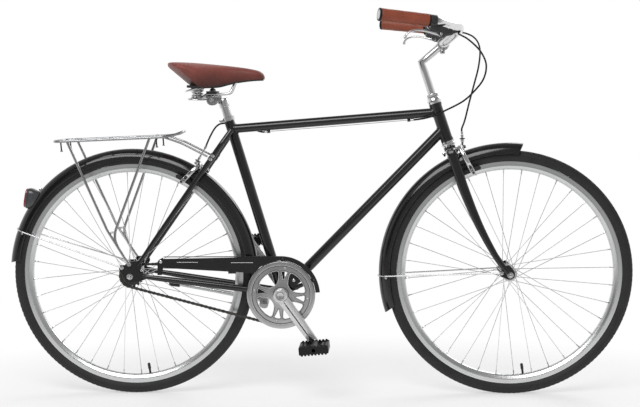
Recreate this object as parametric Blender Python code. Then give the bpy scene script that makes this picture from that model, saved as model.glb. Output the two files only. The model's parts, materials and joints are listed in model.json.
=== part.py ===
"""A city bike as a set of separate pieces: frame, wheels, drive, brakes, steering, saddle, rack and stand.

Metres, +Z up, +X forward, +Y to the rider's left. The ground is Z = 0 and the bike stands over the origin.
Every shape below is worked out in bike coordinates, where X is counted from the rear axle.
"""

import math

import bmesh
import bpy
from mathutils import Matrix, Vector

X_AXIS = Vector((1, 0, 0))
Y_AXIS = Vector((0, 1, 0))
Z_AXIS = Vector((0, 0, 1))

# Clearances
GAP = 0.0003  # between pieces that touch
RUNNING = 0.0005  # round a shaft that turns

# Wheels
WHEELBASE = 1.0724
TYRE_RADIUS = 0.347
TYRE_WIDTH = 0.035
TREAD_FLAT = 0.009
RIM_RADIUS = 0.3175
RIM_DEPTH = 0.025
RIM_WIDTH = 0.025
WHEEL_STEPS = 32
SPOKES = 36
SPOKE_CROSSINGS = 3
SPOKE_RADIUS = 0.0011
AXLE_RADIUS = 0.0048
AXLE_NUT = 0.007
AXLE_END = 0.005
FRONT_HUB = {"half": 0.0440, "flange": 0.0335, "flange_radius": 0.0205, "barrel": 0.0090, "neck": 0.0095}
REAR_HUB = {"half": 0.0535, "flange": 0.0285, "flange_radius": 0.0235, "barrel": 0.0115, "neck": 0.0145}
FLANGE_HALF = 0.0027
SPOKE_OFFSET = 0.0012

# Frame
FRONT_DROPOUTS = 0.100  # between the fork's dropouts
REAR_DROPOUTS = 0.124  # between the frame's dropouts
DROPOUT_PLATE = 0.005
BB_DROP = 0.055
CHAINSTAY = 0.431
SEAT_ANGLE = 73.5
SEAT_TUBE_LENGTH = 0.5125
SEAT_TUBE_RADIUS = 0.0145
TOP_TUBE_AT_SEAT = SEAT_TUBE_LENGTH - 0.0235
TOP_TUBE_BELOW_TOP = 0.026
TOP_TUBE_RADIUS = 0.0127
DOWN_TUBE_ABOVE_BOTTOM = 0.035
DOWN_TUBE_RADIUS = 0.0145
HEAD_ANGLE = 71.9
HEAD_TUBE_LENGTH = 0.1115
HEAD_TUBE_RADIUS = 0.0168
BB_SHELL_WIDTH = 0.068
BB_SHELL_RADIUS = 0.0205
SEAT_STAY_RADIUS = 0.0078
CHAINSTAY_RADIUS = 0.0085
CHAINSTAY_DEPTH = 0.0098  # half the chainstay's height by the bottom bracket
CHAINSTAY_UNDERSIDE = 0.0090  # from its middle down to the faces that the stand hangs from
BRIDGE_RADIUS = 0.0065
TUBE_WALL = 0.0013

# Fork and steering
FORK_LENGTH = 0.393
FORK_RAKE = 0.0477
STEERER_RADIUS = 0.0127
CROWN_HALF_HEIGHT = 0.0135
FORK_BLADE = 0.0140
LEG_SPREAD = 0.0385
HEAD_CUP_HEIGHT = 0.016
HEAD_CUP_RADIUS = 0.0200
LOCKNUT_HEIGHT = 0.012
QUILL_RADIUS = 0.0111
STEM_REACH_FORWARD = 0.0608
STEM_REACH_UP = 0.0507
STEM_HEIGHT = 0.092  # from the locknut to the stem's corner
BAR_RADIUS = 0.0111
BAR_CENTRE_RADIUS = 0.0127
STEM_CLAMP_HALF = 0.019
GRIP_LENGTH = 0.131
GRIP_RADIUS = 0.0170
BAR_PLUG = 0.006

# Brakes
PAD_LENGTH = 0.050
PAD_HEIGHT = 0.010
PAD_THICKNESS = 0.008
PAD_GAP = 0.002
ARM_RADIUS = 0.0045
BRAKE_BOLT_RADIUS = 0.003
LEVER_PIN_RADIUS = 0.0022
CABLE_RADIUS = 0.0025
WIRE_RADIUS = 0.001

# Fenders
FENDER_WIDTH = 0.053
FENDER_DEPTH = 0.030
FENDER_WALL = 0.0012
FENDER_CLEARANCE = 0.013  # from the rear tyre to the crown of its fender
REAR_FENDER_RADIUS = TYRE_RADIUS + FENDER_CLEARANCE
REAR_FENDER_ANGLES = (174.4, -7.0)  # degrees round its axle, from the tail to the front end
FRONT_FENDER_ANGLES = (197.7, 83.9)
STAY_WIRE_RADIUS = 0.002

# Drive
CHAIN_PITCH = 0.0127
RING_TEETH = 44
SPROCKET_TEETH = 16
CHAIN_LINE = 0.044
TOOTH_HALF = 0.0015
CRANK_LENGTH = 0.168
CRANK_ANGLE = -54.4
SPINDLE_RADIUS = 0.0080
CRANK_INNER_FACE = 0.0605
CRANK_THICKNESS = 0.0135
GUARD_RING_RADIUS = 0.097
PEDAL_LENGTH = 0.082
PEDAL_WIDTH = 0.088
PEDAL_HEIGHT = 0.028

# Saddle
SEATPOST_RADIUS = 0.0127
SEATPOST_RISE = 0.066  # from the seat tube's top to the post's top
SEATPOST_INSERT = 0.130
RAIL_RADIUS = 0.0035
RAIL_SPREAD = 0.022
SPRING_RADIUS = 0.0100
SPRING_WIRE = 0.0021
SPRING_HEIGHT = 0.031
SPRING_TURNS = 3.5
SPRING_STEPS = 8  # a turn
SPRING_SPREAD = 0.045

# Rack and stand
RACK_ROD = 0.0038
RACK_WIDTH = 0.124
RACK_HEIGHT = 0.031  # from the rear fender's top to the middle of the deck's rods
STAND_LENGTH = 0.285
STAND_RADIUS = 0.0062

# Places worked out from the sizes above
AXLE_HEIGHT = TYRE_RADIUS
REAR_AXLE = Vector((0, 0, AXLE_HEIGHT))
FRONT_AXLE = Vector((WHEELBASE, 0, AXLE_HEIGHT))
BB = Vector((math.sqrt(CHAINSTAY**2 - BB_DROP**2), 0, AXLE_HEIGHT - BB_DROP))
STEER_UP = Vector((-math.cos(math.radians(HEAD_ANGLE)), 0, math.sin(math.radians(HEAD_ANGLE))))
STEER_AHEAD = Vector((STEER_UP.z, 0, -STEER_UP.x))
STEER_FOOT = FRONT_AXLE - STEER_AHEAD * FORK_RAKE
SEAT_UP = Vector((-math.cos(math.radians(SEAT_ANGLE)), 0, math.sin(math.radians(SEAT_ANGLE))))
SEAT_AHEAD = Vector((SEAT_UP.z, 0, -SEAT_UP.x))
HEAD_BOTTOM = FORK_LENGTH + HEAD_CUP_HEIGHT + 3 * GAP
HEAD_TOP = HEAD_BOTTOM + HEAD_TUBE_LENGTH
LOCKNUT_BASE = HEAD_TOP + HEAD_CUP_HEIGHT + 2 * GAP
STEERER_TOP = LOCKNUT_BASE + LOCKNUT_HEIGHT - 0.002
STEM_CORNER = LOCKNUT_BASE + LOCKNUT_HEIGHT + STEM_HEIGHT
RING_PITCH_RADIUS = CHAIN_PITCH / (2 * math.sin(math.pi / RING_TEETH))
SPROCKET_PITCH_RADIUS = CHAIN_PITCH / (2 * math.sin(math.pi / SPROCKET_TEETH))
REAR_REACH = REAR_FENDER_RADIUS * math.cos(math.radians(180 - REAR_FENDER_ANGLES[0]))
BIKE_CENTRE = (TYRE_RADIUS + WHEELBASE - REAR_REACH) / 2


def on_steering(up, ahead=0.0, left=0.0):
    """A point of the steered parts: up the steering axis from the axle's foot, ahead of it and to the left."""
    return STEER_FOOT + STEER_UP * up + STEER_AHEAD * ahead + Y_AXIS * left


def on_seat_tube(up, ahead=0.0, left=0.0):
    return BB + SEAT_UP * up + SEAT_AHEAD * ahead + Y_AXIS * left


FRONT_FENDER_RADIUS = (on_steering(FORK_LENGTH - 2 * CROWN_HALF_HEIGHT) - FRONT_AXLE).length - GAP


# Shapes


def finished(bm):
    bmesh.ops.remove_doubles(bm, verts=bm.verts, dist=1e-6)
    bmesh.ops.recalc_face_normals(bm, faces=bm.faces)
    mesh = bpy.data.meshes.new("shape")
    bm.to_mesh(mesh)
    bm.free()
    return mesh


def loft(sections, closed=False):
    """Joins rings of points, one after the other, and caps both ends unless the last meets the first."""
    bm = bmesh.new()
    rings = [[bm.verts.new(place) for place in section] for section in sections]
    following = rings[1:] + rings[:1] if closed else rings[1:]
    for low, high in zip(rings, following):
        for i in range(len(low)):
            j = (i + 1) % len(low)
            bm.faces.new((low[i], low[j], high[j], high[i]))
    if not closed:
        bm.faces.new(rings[0])
        bm.faces.new(rings[-1])
    return finished(bm)


def each(value, count):
    return list(value) if isinstance(value, (list, tuple)) else [value] * count


def pipe(places, radius, sides=8, across=None, start=None):
    """A tube along places. radius is its half-height and across its half-width, each one number or one a place."""
    path = [Vector(place) for place in places]
    heights = each(radius, len(path))
    widths = heights if across is None else each(across, len(path))
    side = start
    sections = []
    for i, place in enumerate(path):
        ahead = (path[min(i + 1, len(path) - 1)] - path[max(i - 1, 0)]).normalized()
        if side is None:
            side = Y_AXIS if abs(ahead.y) < 0.9 else X_AXIS
        side = (side - ahead * side.dot(ahead)).normalized()
        up = ahead.cross(side)
        turns = [2 * math.pi * (k + 0.5) / sides for k in range(sides)]
        sections.append(
            [place + side * math.cos(t) * widths[i] + up * math.sin(t) * heights[i] for t in turns]
        )
    return loft(sections)


def turned(profile, centre, axis=Y_AXIS, steps=24, flats=False):
    """Turns a closed profile of (distance along the axis, radius) round the axis.

    With flats, the radii are those of the middle of each facet, and one facet faces straight down.
    """
    axis = axis.normalized()
    down = -Z_AXIS if abs(axis.z) < 0.9 else X_AXIS
    down = (down - axis * down.dot(axis)).normalized()
    side = axis.cross(down)
    grow = 1 / math.cos(math.pi / steps) if flats else 1.0
    sections = []
    for k in range(steps):
        turn = 2 * math.pi * (k + 0.5) / steps
        out = down * math.cos(turn) + side * math.sin(turn)
        sections.append([centre + axis * along + out * radius * grow for along, radius in profile])
    return loft(sections, closed=True)


def sleeve(centre, axis, low, high, inner, outer, steps=16):
    profile = [(low, inner), (high, inner), (high, outer), (low, outer)]
    return turned(profile, centre, axis, steps)


def rod(start, end, radius, sides=12):
    return pipe([start, end], radius, sides)


def plate(outline, low, high):
    """A flat plate in the XZ plane, from Y = low to Y = high."""
    return loft([[Vector((x, y, z)) for x, z in outline] for y in (low, high)])


def brick(centre, half, axes=(X_AXIS, Y_AXIS, Z_AXIS)):
    corners = [(-1, -1), (1, -1), (1, 1), (-1, 1)]
    return loft(
        [
            [
                centre + axes[0] * half[0] * a + axes[2] * half[2] * c + axes[1] * half[1] * b
                for a, c in corners
            ]
            for b in (-1, 1)
        ]
    )


def mirrored(mesh):
    """The same shape on the other side of the bike's middle plane."""
    copy = mesh.copy()
    copy.transform(Matrix.Scale(-1, 4, Y_AXIS))
    copy.flip_normals()
    return copy


def both_sides(mesh):
    return [mesh, mirrored(mesh)]


def boolean(base, others, operation):
    holder = bpy.data.objects.new("base", base)
    bpy.context.scene.collection.objects.link(holder)
    group = bpy.data.collections.new("others")
    for mesh in others:
        group.objects.link(bpy.data.objects.new("other", mesh))
    modifier = holder.modifiers.new("Boolean", "BOOLEAN")
    modifier.operation = operation
    modifier.operand_type = "COLLECTION"
    modifier.collection = group
    modifier.solver = "EXACT"
    graph = bpy.context.evaluated_depsgraph_get()
    result = bpy.data.meshes.new_from_object(holder.evaluated_get(graph))
    for helper in [holder, *group.objects]:
        bpy.data.objects.remove(helper)
    bpy.data.collections.remove(group)
    return result


def united(*shapes):
    return boolean(shapes[0], shapes[1:], "UNION")


def cut(shape, *cutters):
    return boolean(shape, cutters, "DIFFERENCE")


def merged(shapes):
    """One mesh of shapes that lie clear of each other."""
    bm = bmesh.new()
    for shape in shapes:
        bm.from_mesh(shape)
    return finished(bm)


def smooth(places, steps):
    """A smooth curve through the places, with this many steps between neighbours."""
    path = [Vector(place) for place in places]
    ends = [path[0] * 2 - path[1], *path, path[-1] * 2 - path[-2]]
    curve = []
    for before, a, b, after in zip(ends, ends[1:], ends[2:], ends[3:]):
        for k in range(steps):
            t = k / steps
            curve.append(
                a
                + (b - before) * (t / 2)
                + (before * 2 - a * 5 + b * 4 - after) * (t * t / 2)
                + (a * 3 - before - b * 3 + after) * (t**3 / 2)
            )
    return [*curve, path[-1]]


def arc(centre, radius, first, last, steps):
    """Points (x, z) of an arc from one angle to another, in degrees, counted from +X towards +Z."""
    found = []
    for k in range(steps + 1):
        turn = math.radians(first + (last - first) * k / steps)
        found.append((centre.x + radius * math.cos(turn), centre.z + radius * math.sin(turn)))
    return found


# Objects


def material(name, colour, roughness, metallic=0.0):
    made = bpy.data.materials.new(name)
    made.use_nodes = True
    shader = made.node_tree.nodes["Principled BSDF"]
    shader.inputs["Base Color"].default_value = (*colour, 1)
    shader.inputs["Roughness"].default_value = roughness
    shader.inputs["Metallic"].default_value = metallic
    return made


def group(name, pivot, parent=None):
    """An empty on a joint's axis, which carries the pieces that turn or slide there."""
    empty = bpy.data.objects.new(name, None)
    bpy.context.scene.collection.objects.link(empty)
    empty["pivot"] = tuple(pivot)
    empty.parent = parent
    origin = Vector(parent["pivot"]) if parent else Vector((0, 0, 0))
    empty.location = pivot - origin
    return empty


def piece(name, mesh, paint, parent):
    mesh.name = name
    mesh.transform(Matrix.Translation(-Vector(parent["pivot"])))
    mesh.materials.clear()
    mesh.materials.append(paint)
    mesh.shade_smooth()
    mesh.set_sharp_from_angle(angle=math.radians(35))
    made = bpy.data.objects.new(name, mesh)
    bpy.context.scene.collection.objects.link(made)
    made.parent = parent
    return made


def cable(name, places, radius, paint, parent, resolution=2):
    """A round cord through the places, as a curve with filled ends."""
    data = bpy.data.curves.new(name, "CURVE")
    data.dimensions = "3D"
    data.bevel_depth = radius
    data.bevel_resolution = resolution
    data.use_fill_caps = True
    spline = data.splines.new("POLY")
    spline.points.add(len(places) - 1)
    for knot, place in zip(spline.points, places):
        knot.co = (*(place - Vector(parent["pivot"])), 1)
    data.materials.append(paint)
    made = bpy.data.objects.new(name, data)
    bpy.context.scene.collection.objects.link(made)
    made.parent = parent
    return made


# Frame


def dropout_outline():
    """The rear dropout round the axle, with the eyelets for the fender's stay and the rack above it."""
    points = [
        (-0.014, -0.014), (-0.019, 0.000), (-0.031, 0.020), (-0.030, 0.033), (-0.008, 0.033),
        (-0.006, 0.042), (0.030, 0.046), (0.036, 0.030), (0.022, 0.012), (0.046, 0.008), (0.046, -0.008),
        (0.012, -0.017),
    ]
    return [(x, AXLE_HEIGHT + z) for x, z in points]


REAR_PLATE_MID = REAR_DROPOUTS / 2 + DROPOUT_PLATE / 2
STAY_TOP = on_seat_tube(TOP_TUBE_AT_SEAT - 0.004, left=SEAT_TUBE_RADIUS + 0.0075)
STAY_KNEE_SHARE = 0.09
STAY_KNEE_SPREAD = 0.0375
STAY_FOOT = REAR_AXLE + Vector((0.022, REAR_PLATE_MID, 0.032))


def stay_at(share):
    """A point of the left seat stay, from its top (0) to its foot (1)."""
    place = STAY_TOP.lerp(STAY_FOOT, share)
    if share < STAY_KNEE_SHARE:
        place.y = STAY_TOP.y + (STAY_KNEE_SPREAD - STAY_TOP.y) * share / STAY_KNEE_SHARE
    else:
        rest = (share - STAY_KNEE_SHARE) / (1 - STAY_KNEE_SHARE)
        place.y = STAY_KNEE_SPREAD + (STAY_FOOT.y - STAY_KNEE_SPREAD) * rest
    return place


def stay_share_at(radius):
    """Where the seat stay's line is this far from the rear axle, seen from the side."""
    low, high = 0.0, 0.8
    for _ in range(40):
        middle = (low + high) / 2
        place = stay_at(middle) - REAR_AXLE
        if math.hypot(place.x, place.z) > radius:
            low = middle
        else:
            high = middle
    return low


BRIDGE_SHARE = stay_share_at(REAR_FENDER_RADIUS + BRIDGE_RADIUS + GAP)
CHAINSTAY_FRONT = BB + Vector((-0.006, 0.023, 0.001))
CHAINSTAY_REAR = REAR_AXLE + Vector((0.036, REAR_PLATE_MID, 0.000))


def chainstay_at(x):
    share = (CHAINSTAY_FRONT.x - x) / (CHAINSTAY_FRONT.x - CHAINSTAY_REAR.x)
    return CHAINSTAY_FRONT.lerp(CHAINSTAY_REAR, share)


CHAINSTAY_BRIDGE_X = REAR_FENDER_RADIUS + BRIDGE_RADIUS + GAP - 0.003
CABLE_STOPS = (0.180, 0.860)  # shares of the top tube's length


def top_tube_end():
    return on_steering(HEAD_TOP - TOP_TUBE_BELOW_TOP)


def on_top_tube(share, below=0.0, left=0.0):
    start = on_seat_tube(TOP_TUBE_AT_SEAT)
    along = top_tube_end() - start
    down = along.cross(Y_AXIS).normalized()
    down = down if down.z < 0 else -down
    return start + along * share + down * below + Y_AXIS * left


def frame_shape():
    seat_top = on_seat_tube(SEAT_TUBE_LENGTH)
    stop_drop = TOP_TUBE_RADIUS + 0.003
    tubes = [
        rod(BB + SEAT_UP * 0.004, seat_top, SEAT_TUBE_RADIUS, 12),
        rod(on_steering(HEAD_BOTTOM), on_steering(HEAD_TOP), HEAD_TUBE_RADIUS, 14),
        rod(on_seat_tube(TOP_TUBE_AT_SEAT), top_tube_end(), TOP_TUBE_RADIUS, 12),
        rod(BB + X_AXIS * 0.003, on_steering(HEAD_BOTTOM + DOWN_TUBE_ABOVE_BOTTOM), DOWN_TUBE_RADIUS, 12),
        rod(BB - Y_AXIS * BB_SHELL_WIDTH / 2, BB + Y_AXIS * BB_SHELL_WIDTH / 2, BB_SHELL_RADIUS, 16),
    ]
    for share in CABLE_STOPS:
        tubes.append(
            rod(on_top_tube(share - 0.009, stop_drop), on_top_tube(share + 0.009, stop_drop), 0.0045, 8)
        )
    stay_shares = (0.0, STAY_KNEE_SHARE / 2, STAY_KNEE_SHARE, 0.5, 1.0)
    stay = pipe([stay_at(share) for share in stay_shares], SEAT_STAY_RADIUS, 8)
    chainstay = pipe(
        [CHAINSTAY_FRONT, chainstay_at(0.30), chainstay_at(0.12), CHAINSTAY_REAR],
        [CHAINSTAY_DEPTH, CHAINSTAY_DEPTH - 0.0003, CHAINSTAY_RADIUS, 0.0065],
        8,
        [0.0095, CHAINSTAY_RADIUS, 0.0075, 0.0060],
    )
    inner = REAR_DROPOUTS / 2
    dropout = plate(dropout_outline(), inner, inner + DROPOUT_PLATE)
    bridge_end = stay_at(BRIDGE_SHARE)
    bridge = rod(bridge_end, Vector((bridge_end.x, -bridge_end.y, bridge_end.z)), BRIDGE_RADIUS, 8)
    low_end = chainstay_at(CHAINSTAY_BRIDGE_X)
    low_bridge = rod(low_end, Vector((low_end.x, -low_end.y, low_end.z)), BRIDGE_RADIUS, 8)
    shapes = [*tubes, *both_sides(stay), *both_sides(chainstay), *both_sides(dropout), bridge, low_bridge]
    solid = united(*shapes)
    seat_bore = SEATPOST_RADIUS + RUNNING
    return cut(
        solid,
        rod(seat_top - SEAT_UP * (SEATPOST_INSERT + 0.03), seat_top + SEAT_UP * 0.01, seat_bore, 12),
        rod(
            on_steering(HEAD_BOTTOM - 0.01),
            on_steering(HEAD_TOP + 0.01),
            HEAD_TUBE_RADIUS - TUBE_WALL,
            14,
        ),
        rod(
            BB - Y_AXIS * BB_SHELL_WIDTH,
            BB + Y_AXIS * BB_SHELL_WIDTH,
            BB_SHELL_RADIUS - 2.4 * TUBE_WALL,
            16,
        ),
        rod(REAR_AXLE - Y_AXIS * 0.1, REAR_AXLE + Y_AXIS * 0.1, AXLE_RADIUS + RUNNING, 12),
        rod(
            brake_place("rear", -0.03),
            brake_place("rear", 0.03),
            BRAKE_BOLT_RADIUS + RUNNING,
            10,
        ),
        rod(
            on_top_tube(CABLE_STOPS[0] - 0.02, stop_drop),
            on_top_tube(CABLE_STOPS[0] + 0.02, stop_drop),
            WIRE_RADIUS + RUNNING,
            8,
        ),
    )


def head_cup(base):
    """A pressed cup at one end of the head tube, from base up the steering axis."""
    bore = STEERER_RADIUS + 2 * RUNNING
    profile = [
        (0, bore),
        (0, HEAD_CUP_RADIUS - 0.003),
        (HEAD_CUP_HEIGHT * 0.35, HEAD_CUP_RADIUS),
        (HEAD_CUP_HEIGHT * 0.65, HEAD_CUP_RADIUS),
        (HEAD_CUP_HEIGHT, HEAD_CUP_RADIUS - 0.002),
        (HEAD_CUP_HEIGHT, bore),
    ]
    return turned(profile, on_steering(base), STEER_UP, 12)


def bottom_bracket_shape():
    outer = BB_SHELL_RADIUS - 2.4 * TUBE_WALL - GAP
    half = BB_SHELL_WIDTH / 2
    return sleeve(BB, Y_AXIS, -half, half, SPINDLE_RADIUS + 2 * RUNNING, outer, 16)


def seat_collar_shape():
    """The clamp round the seat tube's slotted top, with its bolt behind."""
    base = SEAT_TUBE_LENGTH + GAP
    height = 0.012
    ring = sleeve(
        on_seat_tube(base), SEAT_UP, 0, height, SEATPOST_RADIUS + 2 * GAP, SEAT_TUBE_RADIUS + 0.003, 12,
    )
    bolt_place = on_seat_tube(base + height / 2, -SEAT_TUBE_RADIUS - 0.007)
    ears = brick(
        on_seat_tube(base + height / 2, -SEAT_TUBE_RADIUS - 0.004),
        (0.006, 0.009, height / 2 - 0.001),
        (SEAT_AHEAD, Y_AXIS, SEAT_UP),
    )
    bolt = rod(bolt_place - Y_AXIS * 0.016, bolt_place + Y_AXIS * 0.016, 0.0045, 8)
    return united(ring, ears, bolt)


# Wheels


def both_faces(half_profile):
    """A closed profile from its half on the +Y side, listed from the outside in."""
    return [*half_profile, *[(-along, radius) for along, radius in reversed(half_profile)]]


def tyre_shape(axle):
    half = TYRE_WIDTH / 2
    bead = RIM_RADIUS + GAP
    height = TYRE_RADIUS - bead
    profile = both_faces(
        [
            (TREAD_FLAT / 2, TYRE_RADIUS),
            (half * 0.82, TYRE_RADIUS - height * 0.20),
            (half, TYRE_RADIUS - height * 0.50),
            (RIM_WIDTH * 0.46, bead),
        ]
    )
    return turned(profile, axle, Y_AXIS, WHEEL_STEPS, flats=True)


def rim_shape(axle):
    half = RIM_WIDTH / 2
    profile = both_faces(
        [
            (half, RIM_RADIUS),
            (half, RIM_RADIUS - RIM_DEPTH * 0.55),
            (half * 0.45, RIM_RADIUS - RIM_DEPTH),
        ]
    )
    return turned(profile, axle, Y_AXIS, WHEEL_STEPS, flats=True)


def spoke_ends(axle, hub, k):
    """The hub end and the rim end of spoke k. Even spokes leave the right flange, odd ones the left."""
    side = -1 if k % 2 == 0 else 1
    leading = 1 if k // 2 % 2 == 0 else -1
    rim_turn = math.radians(2.9 + 360 * k / SPOKES)
    hub_turn = rim_turn + leading * SPOKE_CROSSINGS * 4 * math.pi / SPOKES
    rim_radius = RIM_RADIUS - RIM_DEPTH - GAP
    hub_radius = hub["flange_radius"] - 0.0035

    def place(radius, turn, along):
        return axle + Vector((radius * math.cos(turn), along, radius * math.sin(turn)))

    apart = leading * SPOKE_OFFSET
    return (
        place(hub_radius, hub_turn, side * hub["flange"] + apart),
        place(rim_radius, rim_turn, side * 0.0028 + apart),
    )


def hub_shape(axle, hub):
    """The hub with its laced spokes."""
    bore = AXLE_RADIUS + RUNNING
    flange_radius = hub["flange_radius"]
    profile = both_faces(
        [
            (hub["half"], bore),
            (hub["half"], hub["neck"]),
            (hub["flange"] + FLANGE_HALF, hub["neck"]),
            (hub["flange"] + FLANGE_HALF, flange_radius),
            (hub["flange"] - FLANGE_HALF, flange_radius),
            (hub["flange"] - FLANGE_HALF, hub["barrel"]),
        ]
    )
    spokes = [rod(*spoke_ends(axle, hub, k), SPOKE_RADIUS, 3) for k in range(SPOKES)]
    return united(turned(profile, axle, Y_AXIS, 12), merged(spokes))


def axle_shape(axle, hub, dropouts, plate_width):
    """An axle with its locknuts inside the dropouts and its track nuts outside."""
    inside = dropouts / 2 - GAP
    outside = dropouts / 2 + plate_width + GAP
    profile = both_faces(
        [
            (outside + AXLE_NUT + AXLE_END, 0),
            (outside + AXLE_NUT + AXLE_END, AXLE_RADIUS),
            (outside + AXLE_NUT, AXLE_RADIUS),
            (outside + AXLE_NUT, 0.0088),
            (outside, 0.0088),
            (outside, AXLE_RADIUS),
            (inside, AXLE_RADIUS),
            (inside, 0.0085),
            (hub["half"] + GAP, 0.0085),
            (hub["half"] + GAP, AXLE_RADIUS),
        ]
    )
    return turned(profile, axle, Y_AXIS, 8)


# Fork and steering

FORK_CURVE = (
    (0.93, 0.0), (0.68, 0.02), (0.54, 0.085), (0.37, 0.225), (0.25, 0.385), (0.13, 0.60), (0.03, 0.88),
)
FORK_LEG_FOOT = FRONT_DROPOUTS / 2 + DROPOUT_PLATE / 2


def fork_leg(side):
    """One blade, from the crown down to its dropout. FORK_CURVE holds shares of the length and of the rake."""
    places = []
    lengths = []
    widths = []
    for height, bend in FORK_CURVE:
        down = 1 - height
        spread = LEG_SPREAD + (FORK_LEG_FOOT - LEG_SPREAD) * min(1.0, down * 1.15)
        places.append(on_steering(FORK_LENGTH * height, FORK_RAKE * bend, side * spread))
        lengths.append(FORK_BLADE - (FORK_BLADE - 0.0075) * max(0.0, down - 0.3) / 0.7)
        widths.append(0.0090 - 0.0035 * down)
    return pipe(places, lengths, 8, widths)


def fork_dropout_outline():
    points = [
        (-0.017, 0.024), (-0.004, 0.030), (0.008, 0.016), (0.014, 0.004), (0.010, -0.010), (-0.004, -0.014),
        (-0.016, -0.008), (-0.029, -0.002), (-0.031, 0.010), (-0.024, 0.014),
    ]
    return [(FRONT_AXLE.x + x, FRONT_AXLE.z + z) for x, z in points]


def fork_shape():
    middle = FORK_LENGTH - CROWN_HALF_HEIGHT - 0.001
    crown_sections = []
    for left, drop, shrink in (
        (-0.049, 0.007, 0.8), (-0.034, 0.002, 1), (0.034, 0.002, 1), (0.049, 0.007, 0.8),
    ):
        high = (CROWN_HALF_HEIGHT - 0.001) * shrink
        deep = (FORK_BLADE + 0.001) * shrink
        crown_sections.append(
            [
                on_steering(middle - drop + high * math.sin(t), deep * math.cos(t), left)
                for t in [2 * math.pi * (k + 0.5) / 8 for k in range(8)]
            ]
        )
    inner = FRONT_DROPOUTS / 2
    dropout = plate(fork_dropout_outline(), inner, inner + DROPOUT_PLATE)
    solid = united(
        rod(on_steering(middle - CROWN_HALF_HEIGHT * 0.6), on_steering(STEERER_TOP), STEERER_RADIUS, 14),
        loft(crown_sections),
        sleeve(on_steering(FORK_LENGTH), STEER_UP, -0.006, 0, STEERER_RADIUS - 0.002, 0.0170, 12),
        fork_leg(1),
        fork_leg(-1),
        *both_sides(dropout),
    )
    return cut(
        solid,
        rod(on_steering(middle - 0.05), on_steering(STEERER_TOP + 0.02), QUILL_RADIUS + 2 * GAP, 12),
        rod(FRONT_AXLE - Y_AXIS * 0.1, FRONT_AXLE + Y_AXIS * 0.1, AXLE_RADIUS + RUNNING, 10),
        rod(brake_place("front", -0.05), brake_place("front", 0.02), BRAKE_BOLT_RADIUS + RUNNING, 10),
    )


def locknut_shape():
    profile = [
        (0, STEERER_RADIUS + 2 * RUNNING),
        (0, 0.0175),
        (LOCKNUT_HEIGHT, 0.0160),
        (LOCKNUT_HEIGHT, STEERER_RADIUS + 2 * RUNNING),
    ]
    return turned(profile, on_steering(LOCKNUT_BASE), STEER_UP, 12)


BAR_CLAMP = on_steering(STEM_CORNER) + Vector((STEM_REACH_FORWARD, 0, STEM_REACH_UP))


def stem_shape():
    corner = on_steering(STEM_CORNER)
    reach = BAR_CLAMP - corner
    outer = BAR_CENTRE_RADIUS + 0.005
    bolt = BAR_CLAMP + Vector((-0.002, 0, -outer - 0.004))
    solid = united(
        rod(on_steering(LOCKNUT_BASE - 0.050), corner + STEER_UP * 0.004, QUILL_RADIUS, 12),
        pipe([corner - reach * 0.06, corner + reach * 0.4, BAR_CLAMP], [0.0125, 0.0115, 0.0120], 12),
        rod(BAR_CLAMP - Y_AXIS * STEM_CLAMP_HALF, BAR_CLAMP + Y_AXIS * STEM_CLAMP_HALF, outer, 14),
        brick(BAR_CLAMP + Vector((-0.002, 0, -outer)), (0.007, 0.011, 0.009)),
        rod(bolt - Y_AXIS * 0.015, bolt + Y_AXIS * 0.015, 0.0050, 8),
    )
    ends = 2 * STEM_CLAMP_HALF
    return cut(
        solid, rod(BAR_CLAMP - Y_AXIS * ends, BAR_CLAMP + Y_AXIS * ends, BAR_CENTRE_RADIUS + 2 * GAP, 14),
    )


# The right half of the handlebar from the clamp, as (forward, right, up) from the clamp's centre
BAR_BENDS = (
    (0.000, 0.024, 0.000), (0.006, 0.038, 0.004), (0.022, 0.054, 0.018), (0.036, 0.070, 0.030),
    (0.042, 0.092, 0.037), (0.040, 0.120, 0.041), (0.030, 0.152, 0.044), (0.012, 0.186, 0.0475),
    (-0.006, 0.214, 0.0505),
)
GRIP_SLOPE = Vector((-0.944, -0.286, 0.112)).normalized()  # along the right grip, outwards
BAR_STRAIGHT = Vector((-0.018, 0.228, 0.0525))
BRACKET_ROOM = 0.030


def bar_side(place):
    """A place on the right half, from (forward, right, up) of the clamp."""
    return BAR_CLAMP + Vector((place[0], -place[1], place[2]))


BAR_TURN = bar_side(BAR_STRAIGHT)
GRIP_START = BAR_TURN + GRIP_SLOPE * BRACKET_ROOM
GRIP_END = GRIP_START + GRIP_SLOPE * GRIP_LENGTH


def handlebar_shape():
    bends = [bar_side(place) for place in BAR_BENDS]
    right = [bar_side((0, 0, 0)), *bends, BAR_TURN]
    right += [BAR_TURN + GRIP_SLOPE * 0.010, GRIP_END + GRIP_SLOPE * GAP]
    left = [Vector((place.x, -place.y, place.z)) for place in right[1:]]
    tube = pipe([*reversed(right), *left], BAR_RADIUS, 8, start=Z_AXIS)
    centre = STEM_CLAMP_HALF + 0.003
    bulge = rod(BAR_CLAMP - Y_AXIS * centre, BAR_CLAMP + Y_AXIS * centre, BAR_CENTRE_RADIUS, 12)
    plug = rod(GRIP_END + GRIP_SLOPE * GAP, GRIP_END + GRIP_SLOPE * BAR_PLUG, GRIP_RADIUS - 0.0005, 12)
    return united(tube, bulge, *both_sides(plug))


def grip_shape():
    return sleeve(GRIP_START, GRIP_SLOPE, 0, GRIP_LENGTH, BAR_RADIUS + GAP, GRIP_RADIUS, 14)


# Brake levers, for the right hand; the left ones mirror them

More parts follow.
